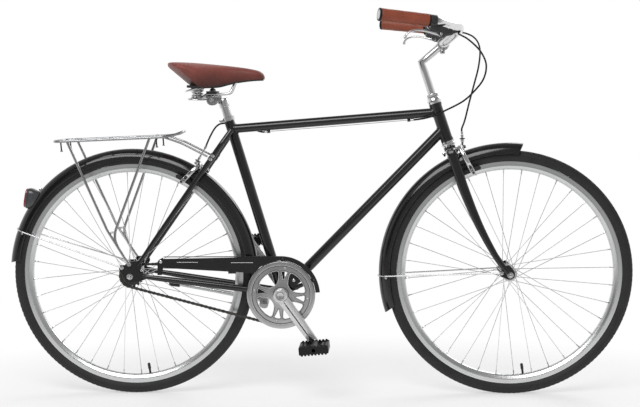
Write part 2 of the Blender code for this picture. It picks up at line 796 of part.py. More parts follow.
BRACKET_PLACE = BAR_TURN + GRIP_SLOPE * (BRACKET_ROOM - 0.013)
LEVER_DOWN = (-Z_AXIS - GRIP_SLOPE * (-Z_AXIS).dot(GRIP_SLOPE)).normalized()
LEVER_AXIS = GRIP_SLOPE.cross(LEVER_DOWN)
LEVER_PIVOT = BRACKET_PLACE + LEVER_DOWN * 0.0315 - GRIP_SLOPE * 0.024
BARREL_END = (-0.033, -0.009)  # along the grip and down, from the lever's pivot


def by_lever(out, down, side=0.0):
    """A place near the right lever, from its pivot: along the grip, down and across."""
    return LEVER_PIVOT + GRIP_SLOPE * out + LEVER_DOWN * down + LEVER_AXIS * side


def bracket_shape():
    ring = sleeve(BRACKET_PLACE, GRIP_SLOPE, -0.009, 0.009, BAR_RADIUS + 3 * GAP, 0.0162, 12)
    barrel_path = [by_lever(*BARREL_END), by_lever(-0.022, -0.007), by_lever(-0.002, -0.004)]
    barrel = pipe(barrel_path, [0.0075, 0.0105, 0.0100], 8)
    neck = pipe([BRACKET_PLACE + LEVER_DOWN * 0.0135, by_lever(-0.008, -0.008)], [0.0080, 0.0090], 6)
    cheeks = [
        brick(
            by_lever(0, -0.001, side * 0.0066),
            (0.0070, 0.0014, 0.0070),
            (GRIP_SLOPE, LEVER_AXIS, LEVER_DOWN),
        )
        for side in (-1, 1)
    ]
    solid = united(ring, barrel, neck)
    slot = brick(by_lever(0.006, 0, 0), (0.0150, 0.0052, 0.0140), (GRIP_SLOPE, LEVER_AXIS, LEVER_DOWN))
    solid = cut(solid, slot, rod(BRACKET_PLACE - GRIP_SLOPE * 0.02, BRACKET_PLACE + GRIP_SLOPE * 0.02,
                                 BAR_RADIUS + 3 * GAP, 12))
    pin = rod(by_lever(0, 0, -0.0076), by_lever(0, 0, 0.0076), LEVER_PIN_RADIUS, 6)
    return united(solid, *cheeks, pin)


LEVER_SHAPE = (
    (0.004, 0.000), (0.022, -0.001), (0.050, -0.0035), (0.075, 0.000), (0.090, 0.008), (0.095, 0.019),
)


def lever_shape():
    blade = pipe(
        [by_lever(out, down) for out, down in LEVER_SHAPE],
        [0.0050, 0.0040, 0.0035, 0.0035, 0.0035, 0.0045],
        8,
        [0.0040, 0.0048, 0.0060, 0.0060, 0.0055, 0.0055],
        start=LEVER_AXIS,
    )
    boss = rod(by_lever(0, 0, -0.0046), by_lever(0, 0, 0.0046), 0.0062, 12)
    hole = rod(by_lever(0, 0, -0.02), by_lever(0, 0, 0.02), LEVER_PIN_RADIUS + RUNNING, 8)
    return cut(united(blade, boss), hole)


# Rim brakes

BRAKES = {
    "front": {"axle": FRONT_AXLE, "pad_angle": 109.7},
    "rear": {"axle": REAR_AXLE, "pad_angle": 60.6},
}
PAD_RADIUS = RIM_RADIUS - RIM_DEPTH * 0.24
BRAKE_REACH = {"front": FORK_BLADE + 0.008, "rear": BRIDGE_RADIUS + 0.008}
OUTER_ARM = 0.0115  # from the brake's reach to the middle of its outer arm
CABLE_WAY = {"front": Vector((-0.05, 0, 1)).normalized(), "rear": Vector((0.51, 0, 0.86)).normalized()}
CABLE_OFFSET = {"front": Vector((0, -0.020, 0.021)), "rear": Vector((0, -0.020, 0.006))}
ADJUSTER_LENGTH = 0.016
ADJUSTER_PLAY = 0.0009  # room for the adjuster to rise as the brake closes


def brake_place(which, out=0.0):
    """A point of a brake's centre bolt, this far out from the crown's or the bridge's middle."""
    if which == "front":
        return on_steering(FORK_LENGTH - CROWN_HALF_HEIGHT, out)
    place = stay_at(BRIDGE_SHARE)
    return Vector((place.x, 0, place.z)) + rear_brake_axis() * out


def rear_brake_axis():
    along = STAY_TOP - STAY_FOOT
    along.y = 0
    along.normalize()
    return Vector((-along.z, 0, along.x))


def cable_entry(which):
    """The eye on the outer arm that the cable's adjuster stands in."""
    return brake_place(which, BRAKE_REACH[which] + OUTER_ARM) + CABLE_OFFSET[which]


def cable_end(which):
    return cable_entry(which) + CABLE_WAY[which] * (ADJUSTER_LENGTH + ADJUSTER_PLAY)


def brake_axis(which):
    return STEER_AHEAD if which == "front" else rear_brake_axis()


def pad_place(which, side):
    turn = math.radians(BRAKES[which]["pad_angle"])
    reach = Vector((math.cos(turn), 0, math.sin(turn))) * PAD_RADIUS
    inner = RIM_WIDTH / 2 + PAD_GAP
    return BRAKES[which]["axle"] + reach + Y_AXIS * side * (inner + PAD_THICKNESS / 2)


def pad_axes(which):
    turn = math.radians(BRAKES[which]["pad_angle"])
    out = Vector((math.cos(turn), 0, math.sin(turn)))
    return (Vector((-out.z, 0, out.x)), Y_AXIS, out)


def brake_bolt_shape(which):
    """The bolt through the crown or the bridge, with its nut behind and its cap in front."""
    reach = BRAKE_REACH[which]
    behind = -FORK_BLADE - 0.003 if which == "front" else -BRIDGE_RADIUS - 0.001
    axis = brake_axis(which)
    centre = brake_place(which)
    profile = [
        (behind - 0.006, 0),
        (behind - 0.006, 0.0048),
        (behind - GAP, 0.0048),
        (behind - GAP, BRAKE_BOLT_RADIUS),
        (reach + 0.016, BRAKE_BOLT_RADIUS),
        (reach + 0.016, 0.0050),
        (reach + 0.021, 0.0040),
        (reach + 0.021, 0),
    ]
    return turned(profile, centre, axis, 8)


def brake_arm_shape(which, side):
    """One arm from its boss on the centre bolt, over the fender and down beside it to the pad's stud."""
    reach = BRAKE_REACH[which]
    axis = brake_axis(which)
    layer = reach + (0.004 if side < 0 else OUTER_ARM)
    boss_centre = brake_place(which, layer)
    pad = pad_place(which, side)
    stud = pad + Y_AXIS * side * (PAD_THICKNESS / 2 + GAP)
    shoulder = boss_centre + Y_AXIS * side * 0.026 + Z_AXIS * 0.001
    elbow = shoulder.lerp(stud, 0.30)
    elbow.y = side * 0.0385
    knee = shoulder.lerp(stud, 0.68)
    knee.y = side * 0.0385
    foot = stud + Y_AXIS * side * 0.010
    path = [boss_centre + Y_AXIS * side * 0.004, shoulder, elbow, knee, foot]
    arm = pipe(path, [0.0055, 0.0055, 0.0050, ARM_RADIUS, 0.0050], 6, 0.0033, axis)
    hole = rod(boss_centre - axis * 0.012, boss_centre + axis * 0.012, BRAKE_BOLT_RADIUS + 2 * RUNNING, 8)
    shapes = [
        arm,
        rod(boss_centre - axis * 0.0036, boss_centre + axis * 0.0036, BRIDGE_RADIUS - GAP, 10),
        rod(stud, stud + Y_AXIS * side * 0.012, 0.0055, 8),
    ]
    if side > 0:
        entry = cable_entry(which)
        shapes.append(pipe([boss_centre, entry], 0.0045, 6, 0.0033, axis))
        shapes.append(rod(entry, entry + CABLE_WAY[which] * ADJUSTER_LENGTH, 0.0042, 6))
    return cut(united(*shapes), hole)


def brake_pad_shape(which, side):
    half = (PAD_LENGTH / 2, PAD_THICKNESS / 2, PAD_HEIGHT / 2)
    return brick(pad_place(which, side), half, pad_axes(which))


# Fenders


def fender_section(axle, turn, radius, width, depth):
    """One cross-section of a fender: its outer skin from edge to edge and back along the inner one."""
    out = Vector((math.cos(turn), 0, math.sin(turn)))
    section = []
    for wall, angles in ((0, (-90, -45, 0, 45, 90)), (FENDER_WALL, (88, 45, 0, -45, -88))):
        for angle in angles:
            t = math.radians(angle)
            reach = radius - depth + (depth - wall) * math.cos(t)
            section.append(axle + out * reach + Y_AXIS * (width / 2 - wall) * math.sin(t))
    return section


def fender_shape(axle, radius, first, last, steps, pinch_from=None):
    """A curved strip from one angle to another, in degrees, drawn in after pinch_from to pass the chainstays."""
    sections = []
    for k in range(steps + 1):
        angle = first + (last - first) * k / steps
        width, depth = FENDER_WIDTH, FENDER_DEPTH
        if pinch_from is not None and angle < pinch_from:
            share = min(1.0, (pinch_from - angle) / 8)
            width = FENDER_WIDTH + (TYRE_WIDTH + 0.0060 - FENDER_WIDTH) * share
            depth = FENDER_DEPTH * (1 - 0.45 * share)
        sections.append(fender_section(axle, math.radians(angle), radius, width, depth))
    return loft(sections)


def fender_stay_shape(axle, radius, angle, foot, foot_inner):
    """A wire from one dropout, out over the fender's crown and back to the other dropout."""
    turn = math.radians(angle)
    out = Vector((math.cos(turn), 0, math.sin(turn)))
    clear = STAY_WIRE_RADIUS + 0.0006
    over = []
    for tilt in (90, 60, 30, 0):
        t = math.radians(tilt)
        reach = radius - FENDER_DEPTH + (FENDER_DEPTH + clear) * math.cos(t)
        over.append(axle + out * reach + Y_AXIS * (FENDER_WIDTH / 2 + clear) * math.sin(t))
    eye = foot + Y_AXIS * foot_inner
    half = [eye + Y_AXIS * 0.003, over[0] + (eye - over[0]) * 0.08, *over]
    wire = pipe([*half, *[Vector((p.x, -p.y, p.z)) for p in reversed(half[:-1])]], STAY_WIRE_RADIUS, 6)
    eyelet = rod(eye, eye + Y_AXIS * 0.006, 0.0055, 8)
    return united(wire, *both_sides(eyelet))


# Rear light

LIGHT_ANGLE = math.radians(144.107)
LIGHT_RADIUS = REAR_FENDER_RADIUS + 0.01526
LIGHT_PLACE = REAR_AXLE + Vector((math.cos(LIGHT_ANGLE), 0, math.sin(LIGHT_ANGLE))) * LIGHT_RADIUS
LIGHT_TILT = math.radians(10)
LIGHT_BACK = Vector((-math.cos(LIGHT_TILT), 0, math.sin(LIGHT_TILT)))
LIGHT_UP = Vector((math.sin(LIGHT_TILT), 0, math.cos(LIGHT_TILT)))


def light_section(back, half_height, half_width, rise=0.0):
    turns = [2 * math.pi * (k + 0.5) / 12 for k in range(12)]
    centre = LIGHT_PLACE + LIGHT_BACK * back + LIGHT_UP * rise
    return [
        centre + LIGHT_UP * half_height * math.sin(t) + Y_AXIS * half_width * math.cos(t)
        for t in turns
    ]


def light_housing_shape():
    shell = loft(
        [
            light_section(-GAP, 0.029, 0.0235),
            light_section(-0.010, 0.030, 0.0245),
            light_section(-0.028, 0.021, 0.0190, 0.004),
            light_section(-0.050, 0.009, 0.0110, 0.006),
        ]
    )
    fender = rod(REAR_AXLE - Y_AXIS * 0.1, REAR_AXLE + Y_AXIS * 0.1, REAR_FENDER_RADIUS + GAP, 96)
    return cut(shell, fender)


def light_lens_shape():
    return loft(
        [
            light_section(0.0, 0.0285, 0.0230),
            light_section(0.004, 0.0270, 0.0215),
            light_section(0.0075, 0.0200, 0.0155),
            light_section(0.009, 0.0080, 0.0065),
        ]
    )


# Rack

DECK_Z = REAR_AXLE.z + REAR_FENDER_RADIUS + RACK_HEIGHT
RACK_REAR = -0.216
RACK_FRONT = 0.153
RACK_RISE = 0.035  # how much higher each metre forward lies


def deck(x, left, lift=0.0):
    return Vector((x, left, DECK_Z + RACK_RISE * x + lift))


def above_axle(x, left, share):
    """A place over the rear axle, this share of the way up to the deck."""
    return Vector((x, left, REAR_AXLE.z + (DECK_Z - REAR_AXLE.z) * share))


RACK_EYE_REAR = REAR_AXLE + Vector((-0.001, 0, 0.036))


def rack_shape():
    half = RACK_WIDTH / 2
    corner = [
        deck(RACK_REAR, 0), deck(RACK_REAR + 0.001, half * 0.35), deck(RACK_REAR + 0.006, half * 0.75),
        deck(RACK_REAR + 0.020, half), deck(-0.060, half), deck(0.078, half), deck(0.105, half * 0.94, 0.001),
        deck(0.130, half * 0.68, 0.004), deck(
            RACK_FRONT - 0.006, half * 0.32, 0.010,
        ), deck(RACK_FRONT, 0, 0.012),
    ]
    loop = [*corner, *[Vector((p.x, -p.y, p.z)) for p in reversed(corner[1:-1])]]
    ahead = [(loop[(i + 1) % len(loop)] - loop[i - 1]).normalized() for i in range(len(loop))]
    sections = []
    for place, along in zip(loop, ahead):
        side = along.cross(Z_AXIS).normalized()
        up = side.cross(along)
        sections.append(
            [place + (side * math.cos(t) + up * math.sin(t)) * RACK_ROD for t in
             [2 * math.pi * (k + 0.5) / 6 for k in range(6)]]
        )
    rail = loft(sections, closed=True)
    shapes = [rail]
    for x in (-0.158, -0.068, 0.012, 0.084):
        shapes.append(rod(deck(x, -half), deck(x, half), RACK_ROD * 0.8, 6))
    foot = REAR_DROPOUTS / 2 + DROPOUT_PLATE + GAP
    eye = RACK_EYE_REAR + Y_AXIS * foot
    rear_leg = [
        deck(-0.172, half),
        above_axle(-0.062, half + 0.005, 0.340),
        above_axle(-0.012, half + 0.010, 0.1355),
        eye + Y_AXIS * 0.004,
    ]
    front_leg = [
        deck(0.064, half),
        above_axle(-0.040, half + 0.004, 0.325),
        above_axle(-0.040, half + 0.007, 0.263),
        above_axle(-0.028, half + 0.008, 0.199),
    ]
    brace = rod(front_leg[1] + Y_AXIS * 0.0005, rear_leg[1].lerp(rear_leg[2], 0.1), RACK_ROD * 0.7, 6)
    stay = [deck(0.098, half * 0.75), deck(0.150, half * 0.66, -0.020), rack_stay_end()]
    for path, radius in ((rear_leg, RACK_ROD), (front_leg, RACK_ROD), (stay, RACK_ROD * 0.8)):
        leg = pipe(path, radius, 5)
        shapes += both_sides(leg)
    shapes += both_sides(brace)
    shapes.append(rod(deck(0.098, -half * 0.95), deck(0.098, half * 0.95), RACK_ROD * 0.8, 6))
    eyelet = rod(eye, eye + Y_AXIS * 0.008, 0.0062, 8)
    shapes += both_sides(eyelet)
    return united(*shapes)


def rack_stay_end():
    """Where the rack's forward stay rests against the back of the seat stay."""
    share = stay_share_at(REAR_FENDER_RADIUS + 0.045)
    place = stay_at(share)
    away = rear_brake_axis() * (SEAT_STAY_RADIUS + RACK_ROD * 0.8 + GAP)
    return place + away


# Drive


def toothed(teeth, pitch_radius, centre):
    """The outline of a sprocket, as (x, z), with two points a tooth."""
    outline = []
    root = pitch_radius - 0.0036
    tip = pitch_radius + 0.0028
    for k in range(teeth):
        for share, radius in ((0.25, root), (0.75, tip)):
            turn = 2 * math.pi * (k + share) / teeth
            outline.append((centre.x + radius * math.cos(turn), centre.z + radius * math.sin(turn)))
    return outline


def sprocket_shape():
    """The freewheel with its toothed ring, round the hub's right neck."""
    ring = plate(
        toothed(SPROCKET_TEETH, SPROCKET_PITCH_RADIUS, REAR_AXLE),
        -CHAIN_LINE - TOOTH_HALF,
        -CHAIN_LINE + TOOTH_HALF,
    )
    body = rod(
        REAR_AXLE - Y_AXIS * (CHAIN_LINE + 0.006), REAR_AXLE - Y_AXIS * (CHAIN_LINE - 0.008), 0.0250, 16,
    )
    bore = rod(REAR_AXLE - Y_AXIS * 0.1, REAR_AXLE, REAR_HUB["neck"] + 2 * RUNNING, 16)
    return cut(united(ring, body), bore)


WINDOW_INNER = 0.030
WINDOW_OUTER = 0.068
GUARD_FACE = CHAIN_LINE + 0.0040
GUARD_THICKNESS = 0.0035


def window_outline(turn):
    """A large opening between two arms of the chainring, centred on this angle in degrees."""
    inner = arc(BB, WINDOW_INNER, turn - 20, turn + 20, 2)
    outer = arc(BB, WINDOW_OUTER, turn + 34, turn - 34, 5)
    return inner + outer


def arm_window_outline(turn):
    """The small triangle where an arm forks before it meets the ring."""
    corners = ((0.050, 0.0), (0.066, -4.5), (0.066, 4.5))
    return [arc(BB, radius, turn + offset, turn + offset, 1)[0] for radius, offset in corners]


def chainring_shape():
    """The toothed ring, its four forked arms and the smooth ring outside it."""
    teeth = plate(
        toothed(RING_TEETH, RING_PITCH_RADIUS, BB), -CHAIN_LINE - TOOTH_HALF, -CHAIN_LINE + TOOTH_HALF,
    )
    disc = rod(BB - Y_AXIS * (GUARD_FACE + GUARD_THICKNESS), BB - Y_AXIS * GUARD_FACE, 0.085, 36)
    inner = GUARD_FACE
    ring_profile = [
        (-inner, 0.078), (-inner, GUARD_RING_RADIUS), (-inner - 0.0055, GUARD_RING_RADIUS - 0.001),
        (-inner - 0.0055, 0.083),
    ]
    ring = turned(ring_profile, BB, Y_AXIS, 36)
    joint = sleeve(BB, Y_AXIS, -GUARD_FACE - 0.001, -CHAIN_LINE, 0.064, 0.082, 18)
    boss = rod(BB - Y_AXIS * (CRANK_INNER_FACE - 0.0065), BB - Y_AXIS * GUARD_FACE, 0.019, 24)
    solid = united(teeth, disc, ring, joint, boss)
    cutters = [rod(BB - Y_AXIS * 0.09, BB, SPINDLE_RADIUS + GAP, 16)]
    hollow = rod(BB - Y_AXIS * (GUARD_FACE - 0.0004), BB, 0.072, 18)
    cutters.append(hollow)
    for k in range(4):
        cutters.append(plate(window_outline(CRANK_ANGLE + 90 * k), -0.09, -0.03))
        cutters.append(plate(arm_window_outline(CRANK_ANGLE + 90 * k + 45), -0.09, -0.03))
    return cut(solid, *cutters)


def crank_end(side):
    turn = math.radians(CRANK_ANGLE if side < 0 else CRANK_ANGLE + 180)
    return BB + Vector((math.cos(turn), 0, math.sin(turn))) * CRANK_LENGTH


def crank_shape(side):
    """A crank arm with the pedal's threaded spindle at its end."""
    along = (crank_end(side) - BB).normalized()
    across = along.cross(Y_AXIS)
    inner = CRANK_INNER_FACE
    sections = []
    for distance, half, lean in (
        (-0.004, 0.0165, 0), (0.028, 0.0158, 0), (CRANK_LENGTH + 0.004, 0.0124, 0.003),
    ):
        middle = BB + along * distance + Y_AXIS * side * (inner + CRANK_THICKNESS / 2 + lean)
        wide, deep = half, CRANK_THICKNESS / 2
        sections.append(
            [
                middle + across * wide * a + Y_AXIS * deep * b
                for a, b in (
                    (-1, -0.6),
                    (-0.75, -1),
                    (0.75, -1),
                    (1, -0.6),
                    (1, 0.6),
                    (0.75, 1),
                    (-0.75, 1),
                    (-1, 0.6),
                )
            ]
        )
    boss_inner = BB + Y_AXIS * side * (inner - 0.006)
    boss_outer = BB + Y_AXIS * side * (inner + CRANK_THICKNESS + 0.004)
    pedal_centre = crank_end(side) + Y_AXIS * side * (inner + CRANK_THICKNESS / 2 + 0.003)
    spindle_end = crank_end(side) + Y_AXIS * side * pedal_span(side)[1]
    eye_half = Y_AXIS * CRANK_THICKNESS / 2
    solid = united(
        loft(sections),
        rod(boss_inner, boss_outer, 0.0185, 14),
        rod(pedal_centre - eye_half, pedal_centre + eye_half, 0.0135, 12),
        rod(pedal_centre, spindle_end - Y_AXIS * side * 0.006, PEDAL_SPINDLE_RADIUS, 10),
    )
    hole_end = BB + Y_AXIS * side * (SPINDLE_HALF + GAP)
    return cut(solid, rod(BB, hole_end, SPINDLE_RADIUS + GAP, 16))


SPINDLE_HALF = CRANK_INNER_FACE + CRANK_THICKNESS - 0.002
PEDAL_SPINDLE_RADIUS = 0.0060


def pedal_span(side):
    """How far from the middle plane a pedal's body begins and ends."""
    start = CRANK_INNER_FACE + CRANK_THICKNESS + 0.008
    return start, start + PEDAL_WIDTH


def spindle_shape():
    return rod(BB - Y_AXIS * SPINDLE_HALF, BB + Y_AXIS * SPINDLE_HALF, SPINDLE_RADIUS, 16)


def pedal_shape(side):
    """A platform pedal: two toothed side plates, a front and a rear rail and the barrel round the spindle."""
    centre = crank_end(side)
    inner, outer = pedal_span(side)
    half_length = PEDAL_LENGTH / 2
    half_height = PEDAL_HEIGHT / 2
    tilt = Matrix.Rotation(math.radians(-5), 4, "Y")

    def at(x, along, z):
        return centre + tilt @ Vector((x, 0, z)) + Y_AXIS * side * along

    shapes = []
    for low, high in ((inner, inner + 0.010), (outer - 0.010, outer)):
        outline = []
        for k in range(4):
            for share, level in ((0.0, 0.80), (0.5, 1.0)):
                outline.append((-half_length + PEDAL_LENGTH * (k + share) / 4, half_height * level))
        outline.append((half_length, half_height * 0.8))
        outline += [(-x, -z) for x, z in outline]
        rings = [[at(x, along, z) for x, z in outline] for along in (low, high)]
        shapes.append(loft(rings))
    middle = (inner + outer) / 2
    half_span = (outer - inner) / 2 - 0.004
    axes = (tilt @ X_AXIS, Y_AXIS, tilt @ Z_AXIS)
    for end in (-1, 1):
        shapes.append(
            brick(at(end * (half_length - 0.0095), middle, 0), (0.008, half_span, half_height * 0.72), axes)
        )
    barrel_centre = centre + Y_AXIS * side * middle
    shapes.append(rod(barrel_centre - Y_AXIS * half_span, barrel_centre + Y_AXIS * half_span, 0.0115, 12))
    bore_start = centre + Y_AXIS * side * (inner - 0.01)
    bore_end = centre + Y_AXIS * side * (outer - 0.005)
    return cut(united(*shapes), rod(bore_start, bore_end, PEDAL_SPINDLE_RADIUS + RUNNING, 12))


def chain_path():
    """Places along the chain's pitch line with the outward direction at each, once round."""
    between = REAR_AXLE - BB
    distance = between.length
    base = math.atan2(between.z, between.x)
    lean = math.acos((RING_PITCH_RADIUS - SPROCKET_PITCH_RADIUS) / distance)
    found = []
    for centre, radius, first, last, steps in (
        (BB, RING_PITCH_RADIUS, base + lean - 2 * math.pi, base - lean, 17),
        (REAR_AXLE, SPROCKET_PITCH_RADIUS, base - lean, base + lean, 8),
    ):
        for k in range(steps + 1):
            turn = first + (last - first) * k / steps
            out = Vector((math.cos(turn), 0, math.sin(turn)))
            found.append((centre + out * radius - Y_AXIS * CHAIN_LINE, out))
    return found


def chain_shape():
    """The chain as one band with side plates either side of the teeth."""
    plates, inside = 0.0034, 0.0020
    low, high, roof = -0.0040, 0.0042, 0.0033
    profile = (
        (-plates, low),
        (-plates, high),
        (plates, high),
        (plates, low),
        (inside, low),
        (inside, roof),
        (-inside, roof),
        (-inside, low),
    )
    return loft(
        [[place + Y_AXIS * a + out * b for a, b in profile] for place, out in chain_path()], closed=True,
    )


CHAINGUARD_FACE = CHAIN_LINE + 0.0120
CHAINGUARD_WALL = 0.0015
CHAINGUARD_TOP = BB.z + 0.110


def chainguard_shape():
    """The long cover over the chain's upper run, its arc round the chainring and the bracket at the crank."""
    face = -CHAINGUARD_FACE
    hook = GUARD_RING_RADIUS + 0.0015
    tab_foot = chainstay_at(0.084).z + CHAINSTAY_RADIUS + 0.0012
    outline = [
        (0.077, tab_foot), (0.078, CHAINGUARD_TOP - 0.011), (0.096, CHAINGUARD_TOP), *arc(BB, 0.110, 90, 4, 9),
        *arc(BB, hook, 4, 140, 9), (0.094, CHAINGUARD_TOP - 0.0317), (0.090, tab_foot),
    ]
    cover = plate(outline, face - CHAINGUARD_WALL, face)
    lip_outline = [
        (0.096, CHAINGUARD_TOP), (BB.x, CHAINGUARD_TOP), *arc(BB, 0.110, 80, 4, 6),
        *arc(BB, 0.1085, 4, 80, 6), (BB.x, CHAINGUARD_TOP - 0.0015), (0.096, CHAINGUARD_TOP - 0.0015),
    ]
    lip = plate(lip_outline, face - 0.001, face + 0.010)
    inner_face = -BB_SHELL_WIDTH / 2 - GAP
    bracket_ring = sleeve(
        BB, Y_AXIS, inner_face - 0.002, inner_face, SPINDLE_RADIUS + 2 * RUNNING, 0.0215, 20,
    )
    shapes = [cover, lip, bracket_ring]
    for turn in (86.0, 24.0):
        out = Vector((math.cos(math.radians(turn)), 0, math.sin(math.radians(turn))))
        across = Vector((-out.z, 0, out.x))
        length = hook + 0.006 - 0.014
        middle = BB + out * (0.014 + length / 2) + Y_AXIS * (inner_face - 0.001)
        shapes.append(brick(middle, (length / 2, 0.0010, 0.006), (out, Y_AXIS, across)))
        reach = (CHAINGUARD_FACE + inner_face) / 2
        tab = BB + out * (hook + 0.005) + Y_AXIS * (inner_face - reach - 0.0005)
        shapes.append(brick(tab, (0.0010, reach + 0.0005, 0.006), (out, Y_AXIS, across)))
    return united(*shapes)


# Stand

STAND_PIVOT = BB + Vector((-0.056, 0.034, -0.036))
STAND_STOWED = Vector((-0.983, 0.050, 0.176)).normalized()
STAND_DOWN = Vector((0.12, 0.48, -0.87)).normalized()
STAND_AXIS = STAND_STOWED.cross(STAND_DOWN).normalized()


def stand_mount_shape():
    """The clamp under the chainstays with the socket that the leg turns in."""
    along = CHAINSTAY_FRONT - CHAINSTAY_REAR
    along.y = 0
    along.normalize()
    up = Y_AXIS.cross(along) * -1
    top = chainstay_at(STAND_PIVOT.x) - up * (CHAINSTAY_UNDERSIDE + GAP)
    block = brick(Vector((top.x, 0, top.z)) - up * 0.006, (0.018, 0.033, 0.006), (along, Y_AXIS, up))
    socket = rod(STAND_PIVOT - STAND_AXIS * 0.004, STAND_PIVOT + STAND_AXIS * 0.012, 0.0130, 14)
    half = (top.z - STAND_PIVOT.z) / 2
    post = brick(Vector((STAND_PIVOT.x, 0.022, top.z - half - 0.004)), (0.012, 0.009, half - 0.002))
    return united(block, socket, post)


def stand_leg_shape():
    """The leg with its rubber foot."""
    start = STAND_PIVOT - STAND_AXIS * (0.004 + GAP)
    hub = rod(start, start - STAND_AXIS * 0.017, 0.0125, 14)
    root = start - STAND_AXIS * 0.0085
    foot = root + STAND_STOWED * STAND_LENGTH
    leg = pipe([root, root.lerp(foot, 0.5), root.lerp(foot, 0.93)], [0.0078, STAND_RADIUS, 0.0056], 10)
    shoe = pipe([root.lerp(foot, 0.90), foot], [0.0085, 0.0105], 10)
    return united(hub, leg, shoe)


# Saddle

POST_TOP = SEAT_TUBE_LENGTH + SEATPOST_RISE
CLAMP_CENTRE = on_seat_tube(POST_TOP) + Vector((-0.022, 0, 0.012))
SADDLE_ZERO = CLAMP_CENTRE  # the saddle's sizes are counted from the clamp
SPRING_X = -0.048
RAIL_Z = 0.001


def by_clamp(x, left, z):
    return SADDLE_ZERO + Vector((x, left, z))


def seatpost_shape():
    return rod(
        on_seat_tube(SEAT_TUBE_LENGTH - SEATPOST_INSERT), on_seat_tube(POST_TOP), SEATPOST_RADIUS, 12,
    )


def seat_clamp_shape():
    """The head on the post: a body round the post's top, the plate over the rails and the bolt between."""
    low = RAIL_Z - RAIL_RADIUS - GAP
    body = brick(by_clamp(0.002, 0, low - 0.008), (0.022, 0.0290, 0.008))
    collar = sleeve(
        on_seat_tube(POST_TOP),
        SEAT_UP,
        -0.020,
        -0.001,
        SEATPOST_RADIUS - 0.003,
        SEATPOST_RADIUS + 0.0025,
        16,
    )
    cap = brick(by_clamp(-0.003, 0, RAIL_Z + RAIL_RADIUS + GAP + 0.004), (0.014, 0.0290, 0.004))
    spacer = brick(by_clamp(-0.003, 0, RAIL_Z), (0.010, 0.0150, 0.010))
    bolt = rod(by_clamp(-0.003, 0, -0.030), by_clamp(-0.003, 0, 0.019), 0.0045, 10)
    solid = united(body, collar, cap, spacer, bolt)
    post = rod(on_seat_tube(POST_TOP - 0.10), on_seat_tube(POST_TOP + GAP), SEATPOST_RADIUS + GAP, 16)
    return cut(solid, post)


def rails_shape():
    """Two wires from the nose to the seats of the rear springs, joined across behind."""
    seat_z = -0.0130
    half = [
        by_clamp(0.062, 0.010, 0.0330),
        by_clamp(0.054, 0.016, 0.0200),
        by_clamp(0.044, RAIL_SPREAD, RAIL_Z + 0.002),
        by_clamp(0.022, RAIL_SPREAD, RAIL_Z),
        by_clamp(-0.020, RAIL_SPREAD, RAIL_Z),
        by_clamp(-0.030, RAIL_SPREAD + 0.003, -0.0080),
        by_clamp(-0.037, RAIL_SPREAD + 0.010, seat_z - 0.0028),
        by_clamp(SPRING_X, SPRING_SPREAD - 0.004, seat_z - 0.0030),
    ]
    wire = pipe(half, [*[RAIL_RADIUS] * 6, 0.0030, 0.0028], 7)
    seat = rod(
        by_clamp(SPRING_X, SPRING_SPREAD, seat_z - 0.0015),
        by_clamp(SPRING_X, SPRING_SPREAD, seat_z + 0.0015),
        0.0135,
        14,
    )
    rear = rod(
        by_clamp(SPRING_X - 0.009, -SPRING_SPREAD, seat_z),
        by_clamp(SPRING_X - 0.009, SPRING_SPREAD, seat_z),
        0.0025,
        8,
    )
    nose = rod(by_clamp(0.062, -0.013, 0.0330), by_clamp(0.062, 0.013, 0.0330), 0.0042, 8)
    return united(*both_sides(wire), *both_sides(seat), rear, nose)


SPRING_BASE = -0.0130 + 0.0015 + GAP
SPRING_TOP = SPRING_BASE + SPRING_HEIGHT


def spring_places(side):
    """The coil's wire, with ends that lie nearly flat on their seats."""
    per_turn = SPRING_STEPS
    count = round(SPRING_TURNS * per_turn)
    rise = SPRING_HEIGHT - 2 * SPRING_WIRE - 0.0006
    found = []
    for k in range(count + 1):
        turn = 2 * math.pi * SPRING_TURNS * k / count
        height = SPRING_BASE + SPRING_WIRE + 0.0003 + rise * k / count
        found.append(
            by_clamp(
                SPRING_X + SPRING_RADIUS * math.cos(turn),
                side * SPRING_SPREAD + SPRING_RADIUS * math.sin(turn),
                height,
            )
        )
    return found


def least_gap(places, radius, per_turn):
    """The smallest distance between one turn's surface and the next, measured on the points."""
    found = min(
        (a - b).length
        for i, a in enumerate(places)
        for b in places[i + per_turn - 2 :]
    )
    return found - 2 * radius


# The saddle's outline: (share of length from the rear, half-width, top, bottom), in metres but for the share
SADDLE_LENGTH = 0.270
SADDLE_REAR = -0.1265
SADDLE_STATIONS = (
    (0.000, 0.048, 0.0810, 0.0660), (0.020, 0.066, 0.0885, 0.0600), (0.060, 0.080, 0.0905, 0.0500),
    (0.130, 0.089, 0.0900, 0.0370), (0.220, 0.092, 0.0880, 0.0250), (0.320, 0.084, 0.0860, 0.0205),
    (0.420, 0.066, 0.0840, 0.0200), (0.520, 0.047, 0.0815, 0.0235), (0.630, 0.034, 0.0785, 0.0290),
    (0.740, 0.028, 0.0750, 0.0325), (0.850, 0.0255, 0.0700, 0.0350), (0.930, 0.0235, 0.0640, 0.0370),
    (0.980, 0.0190, 0.0560, 0.0385), (1.000, 0.0120, 0.0490, 0.0400),
)


